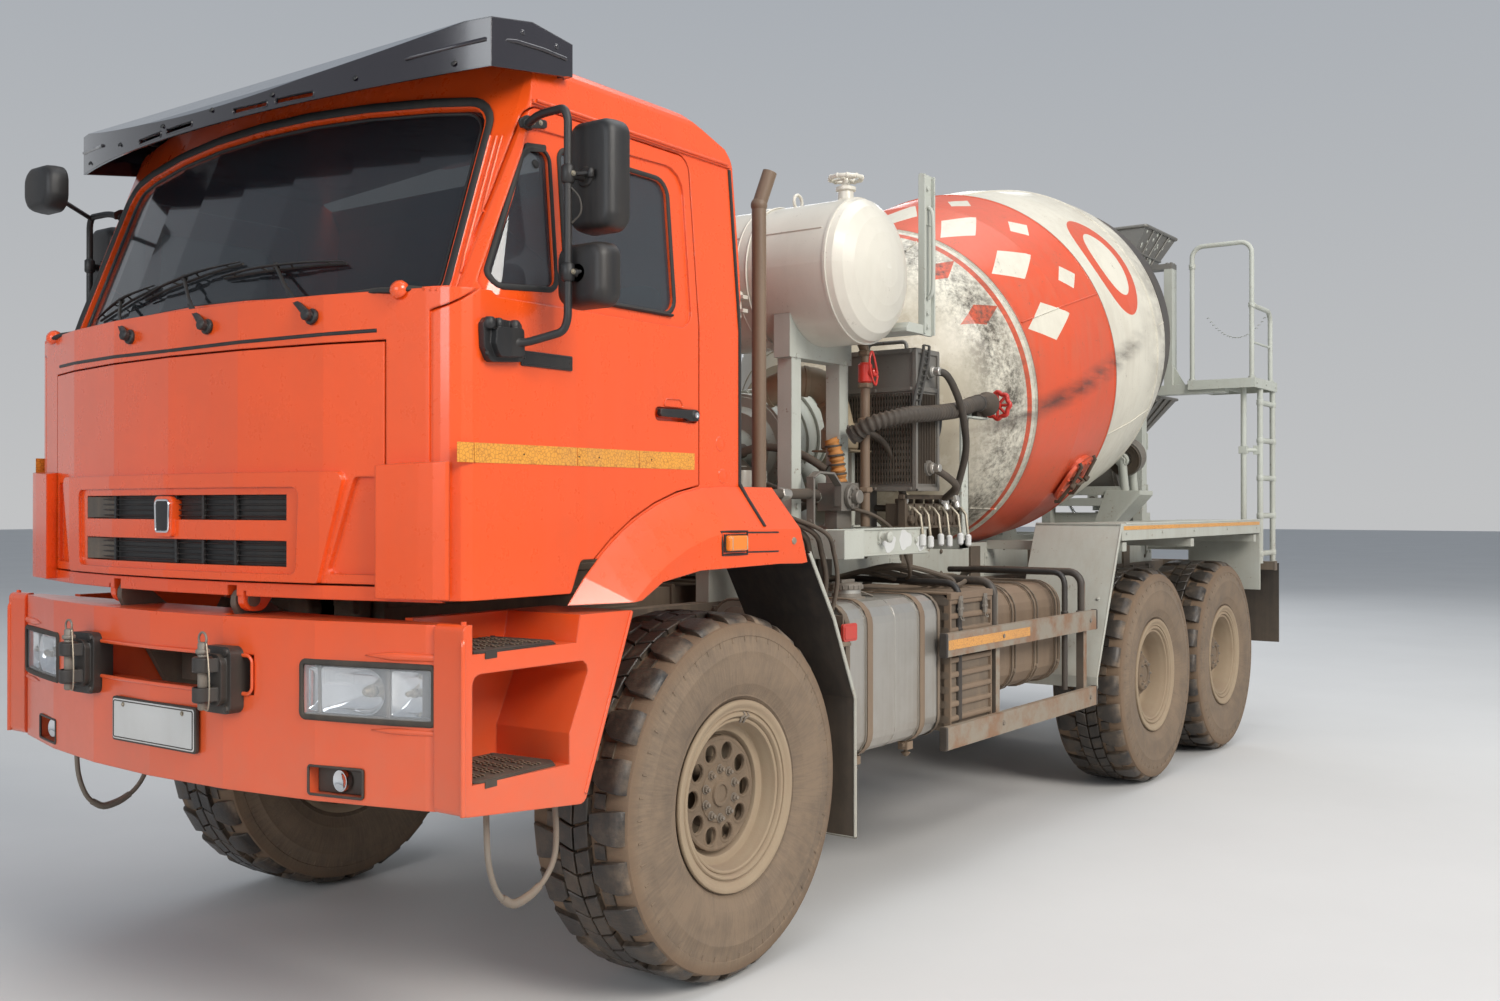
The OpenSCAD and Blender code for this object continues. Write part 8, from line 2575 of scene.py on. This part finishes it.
def dashboard():
    """Moulded top with a cowl, vents, dials, switches and a shelf."""
    body = Piece("dashboard")
    rings = []
    for k in range(21):
        y = -945 + 94.5 * k
        cowl = 34 * math.exp(-((y - 600) / 260) ** 2)
        front = 1180 - 0.00008 * y * y
        rings.append([(900, y, 1855), (front - 40, y, 1855), (front - 24, y, 1870), (front - 20, y, 2076),
            (front - 60, y, 2092), (1010, y, 2106 + cowl), (930, y, 2118 + cowl), (902, y, 2110 + cowl),
            (890, y, 2086 + cowl * 0.5), (898, y, 2040), (920, y, 1990), (912, y, 1920), (902, y, 1880)])
    body.loft(rings)
    body.end(BLACK, angle=50, **INSIDE)
    panel = Piece("dash_panel")
    panel.loft([[(905 - h, y, z) for y, z in rectangle((420, 780), (1985, 2110), 26)] for h in (-12, 0, 2)])
    for y in DIALS_Y:
        panel.lathe([(36, 0), (40, 5), (40, 11), (34, 11), (32, 4), (POLE, 4)], (903, y, 2050), -AHEAD, 36)
    for k in range(8):
        y = -220 + 60 * k
        panel.prism(rectangle((y, y + 40), (1990, 2030), 5), "x", 893, 912)
    for y in (-820, -420, 300, 860):
        for z in range(2046, 2096, 12):
            panel.prism(rectangle((y - 62, y + 62), (z, z + 6), 2.5), "x", 884, 906)
        panel.sweep([(890, u, v) for u, v in rectangle((y - 70, y + 70), (2036, 2104), 10)], 5, 8,
            closed=True)
    panel.brick((880, 900), (-560, -300), (1900, 1980))
    panel.end(CHASSIS, bevel=1, **INSIDE)
    dials = Piece("dash_dials")
    for y in DIALS_Y:
        dials.disc((900, y, 2050), -AHEAD, 31, 0, 1.5, 0.3, 32)
    dials.end(PLATE, **INSIDE)
    gear = Piece("gear_lever")
    gear.lathe([(78, 0), (72, 20), (60, 26), (62, 40), (46, 48), (46, 60), (30, 70), (26, 96), (10, 110)],
        (420, 190, 1492), UP, 28)
    gear.sweep(smooth([(420, 190, 1590), (424, 196, 1700), (440, 214, 1800), (446, 222, 1846)], 6), 9, 10)
    gear.lathe([(POLE, 60), (20, 56), (28, 38), (26, 18), (14, 0)], (446, 222, 1840), (0.06, 0.08, 1), 24)
    gear.end(BLACK, **INSIDE)
    mat = Piece("engine_cover")
    mat.loft([[(150 + u * s + 300, v * s, z) for u, v in rectangle((-520, 520), (-300, 300), 80)]
        for z, s in ((1486, 1.0), (1560, 0.98), (1600, 0.94), (1612, 0.86))])
    mat.end(CHASSIS, angle=40, **INSIDE)


def visor_details():
    """End plates with a rib and rivets, bolts along the blade, slot lips and roof lamps."""
    skin = Skin("sun_visor")
    for side, sign in SIDES.items():
        rib = Piece("visor_end_rib_" + side)
        line = [skin.hit(x, sign * OFF_VISOR, z, LEFT * -sign, 2) for x, z in ((720, 2948), (820, 2950),
            (930, 2944), (1030, 2926), (1100, 2900))]
        rib.sweep(line, 6, 8)
        for x, z in ((760, 2975), (900, 2978)):
            at = skin.hit(x, sign * OFF_VISOR, z, LEFT * -sign, 0)
            rib.lathe([(POLE, 5), (5, 4.5), (8, 2), (9, 0)], at, LEFT * sign, 16)
        rib.end(VISOR, "cab", angle=60)
    bolts = Piece("visor_bolts")
    for y in (-980, -640, -300, 0, 300, 640, 980):
        at = skin.hit(OFF_VISOR, y, 2868, -AHEAD, 0)
        bolts.lathe([(POLE, 6), (6, 5.5), (9, 3), (10, 0)], at, (0.8, 0, 0.6), 16)
    bolts.end(BLACK, "cab", angle=60)
    lips = Piece("visor_slot_lips")
    for sign in (-1, 1):
        for low, high in ((115, 275), (315, 475)):
            edge = rectangle((low - 3, high + 3), (2835, 2855), 8)
            lips.sweep([skin.hit(OFF_VISOR, sign * u, v, -AHEAD, 0) for u, v in spread(edge, 25, True)], 2.6,
                6, closed=True)
    lips.end(VISOR, "cab", angle=60)
    stays = Piece("visor_stays")
    cab = Skin("cab_shell")
    for sign in (-1, 1):
        for y in (350, 880):
            top = cab.hit(760, sign * y, ABOVE_ROOF, -UP, 0)
            stays.brick((top.x - 60, top.x + 40), (top.y - 18, top.y + 18), (top.z - 4, top.z + 6))
            stays.sweep([(top.x, top.y, top.z), (top.x + 70, top.y, top.z + 10), (top.x + 150, top.y, 2962)],
                8, 8)
            stays.bolts([(top.x - 40, top.y, top.z + 5)], UP, 8, 8)
    stays.end(BLACK, "cab", bevel=1)
    roof = Piece("roof_marker_lamps")
    base = Piece("roof_marker_bases")
    for y in (-760, 760):
        top = cab.hit(560, y, ABOVE_ROOF, -UP, 0)
        base.loft([[(top.x + u * s, y + v * s, top.z - 3 + h) for u, v in rectangle((-42, 42), (-24, 24), 14)]
            for h, s in ((0, 1.1), (6, 1.1), (12, 1.0), (20, 0.96))])
        roof.loft([[(top.x + u * s, y + v * s, top.z - 3 + h) for u, v in rectangle((-38, 38), (-21, 21), 12)]
            for h, s in ((19, 1.0), (34, 0.96), (42, 0.8), (45, 0.5))])
    base.end(BLACK, "cab", angle=40)
    roof.end(AMBER, "cab", angle=40)
    hatch = Piece("roof_hatch")
    top = cab.hit(200, 0, ABOVE_ROOF, -UP, 0)
    hatch.loft([[(200 + u * s, v * s, top.z + h) for u, v in rectangle((-260, 260), (-330, 330), 60)]
        for h, s in ((-6, 1.0), (8, 1.0), (18, 0.985), (24, 0.95), (25, 0.6))])
    for x in (90, 200, 310):
        hatch.sweep([(x, y, top.z + 25) for y in (-230, 0, 230)], lambda t: 7 * sin(pi * min(max(t, 0.04),
            0.96)) + 1, 8)
    hatch.end(ORANGE, "cab", angle=40)


mirrored(seat)
steering_wheel()
dashboard()
visor_details()


# Floor, light and camera

PHOTO_WIDTH = 1500
FOCAL_PIXELS = 1369.83
SENSOR = 36.0
CAMERA_AT = (3740.3, 3955.0, 1602.9)
CAMERA_WAY = (-0.8114, -0.5845, 0.0037)
FLOOR_TONES = (0.60, 0.595, 0.585, 1), (0.64, 0.635, 0.625, 1)


def floor():
    """A plain pale floor."""
    bm = bmesh.new()
    material, g, bsdf = shader("studio floor")
    where = g.position()
    tone = g.noise(where, 0.6, 4.0)
    colour = g.mix(g.ramp(tone, 0.3, 0.8), *FLOOR_TONES)
    g.link(colour, bsdf.inputs["Base Color"])
    bsdf.inputs["Roughness"].default_value = 0.75
    verts = [bm.verts.new(p) for p in ((-90, -90, 0), (60, -90, 0), (60, 90, 0), (-90, 90, 0))]
    bm.faces.new(verts)
    bmesh.ops.subdivide_edges(bm, edges=bm.edges, cuts=3, use_grid_fill=True)
    mesh = bpy.data.meshes.new("floor")
    bm.to_mesh(mesh)
    bm.free()
    mesh.materials.append(material)
    made = bpy.data.objects.new("floor", mesh)
    bpy.context.scene.collection.objects.link(made)


def studio():
    """Sky light and four soft lamps."""
    world = bpy.data.worlds.new("studio")
    bpy.context.scene.world = world
    world.use_nodes = True
    g = Graph(world.node_tree)
    back = world.node_tree.nodes["Background"]
    up = g.split(g.node("TexCoord").outputs["Generated"])[2]
    sky = g.mix(g.ramp(up, 0.0, 0.55), (0.86, 0.87, 0.88, 1), (0.52, 0.58, 0.66, 1))
    g.link(sky, back.inputs["Color"])
    back.inputs["Strength"].default_value = 0.62

    def area(name, at, toward, size, power, tint=(1, 1, 1)):
        data = bpy.data.lights.new(name, "AREA")
        data.shape = "RECTANGLE"
        data.size, data.size_y = size
        data.energy = power
        data.color = tint
        made = bpy.data.objects.new(name, data)
        bpy.context.scene.collection.objects.link(made)
        made.location = at
        made.rotation_euler = (Vector(toward) - Vector(at)).to_track_quat("-Z", "Y").to_euler()

    area("key", (5.0, 15.0, 11.0), (-0.5, 0.5, 1.6), (8.0, 8.0), 2750, (1.0, 0.96, 0.90))
    area("front fill", (17.0, 2.0, 6.0), (2.0, 0, 1.6), (9.0, 6.0), 750, (0.92, 0.96, 1.0))
    area("overhead", (-2.0, 2.0, 13.0), (-1.0, 0.0, 1.0), (12.0, 8.0), 640)
    area("rear fill", (-14.0, -9.0, 7.0), (-2.0, 0, 1.5), (8.0, 6.0), 600, (0.92, 0.96, 1.0))


def camera():
    """The photograph's view, solved from the wheels, the bumper and the cab's edges."""
    data = bpy.data.cameras.new("camera")
    data.sensor_width = SENSOR
    data.lens = FOCAL_PIXELS / PHOTO_WIDTH * SENSOR
    data.clip_end = 400
    made = bpy.data.objects.new("camera", data)
    bpy.context.scene.collection.objects.link(made)
    made.location = place(*CAMERA_AT)
    made.rotation_euler = Vector(CAMERA_WAY).to_track_quat("-Z", "Y").to_euler()
    bpy.context.scene.camera = made


floor()
studio()
camera()
bpy.context.scene.view_settings.view_transform = "Standard"
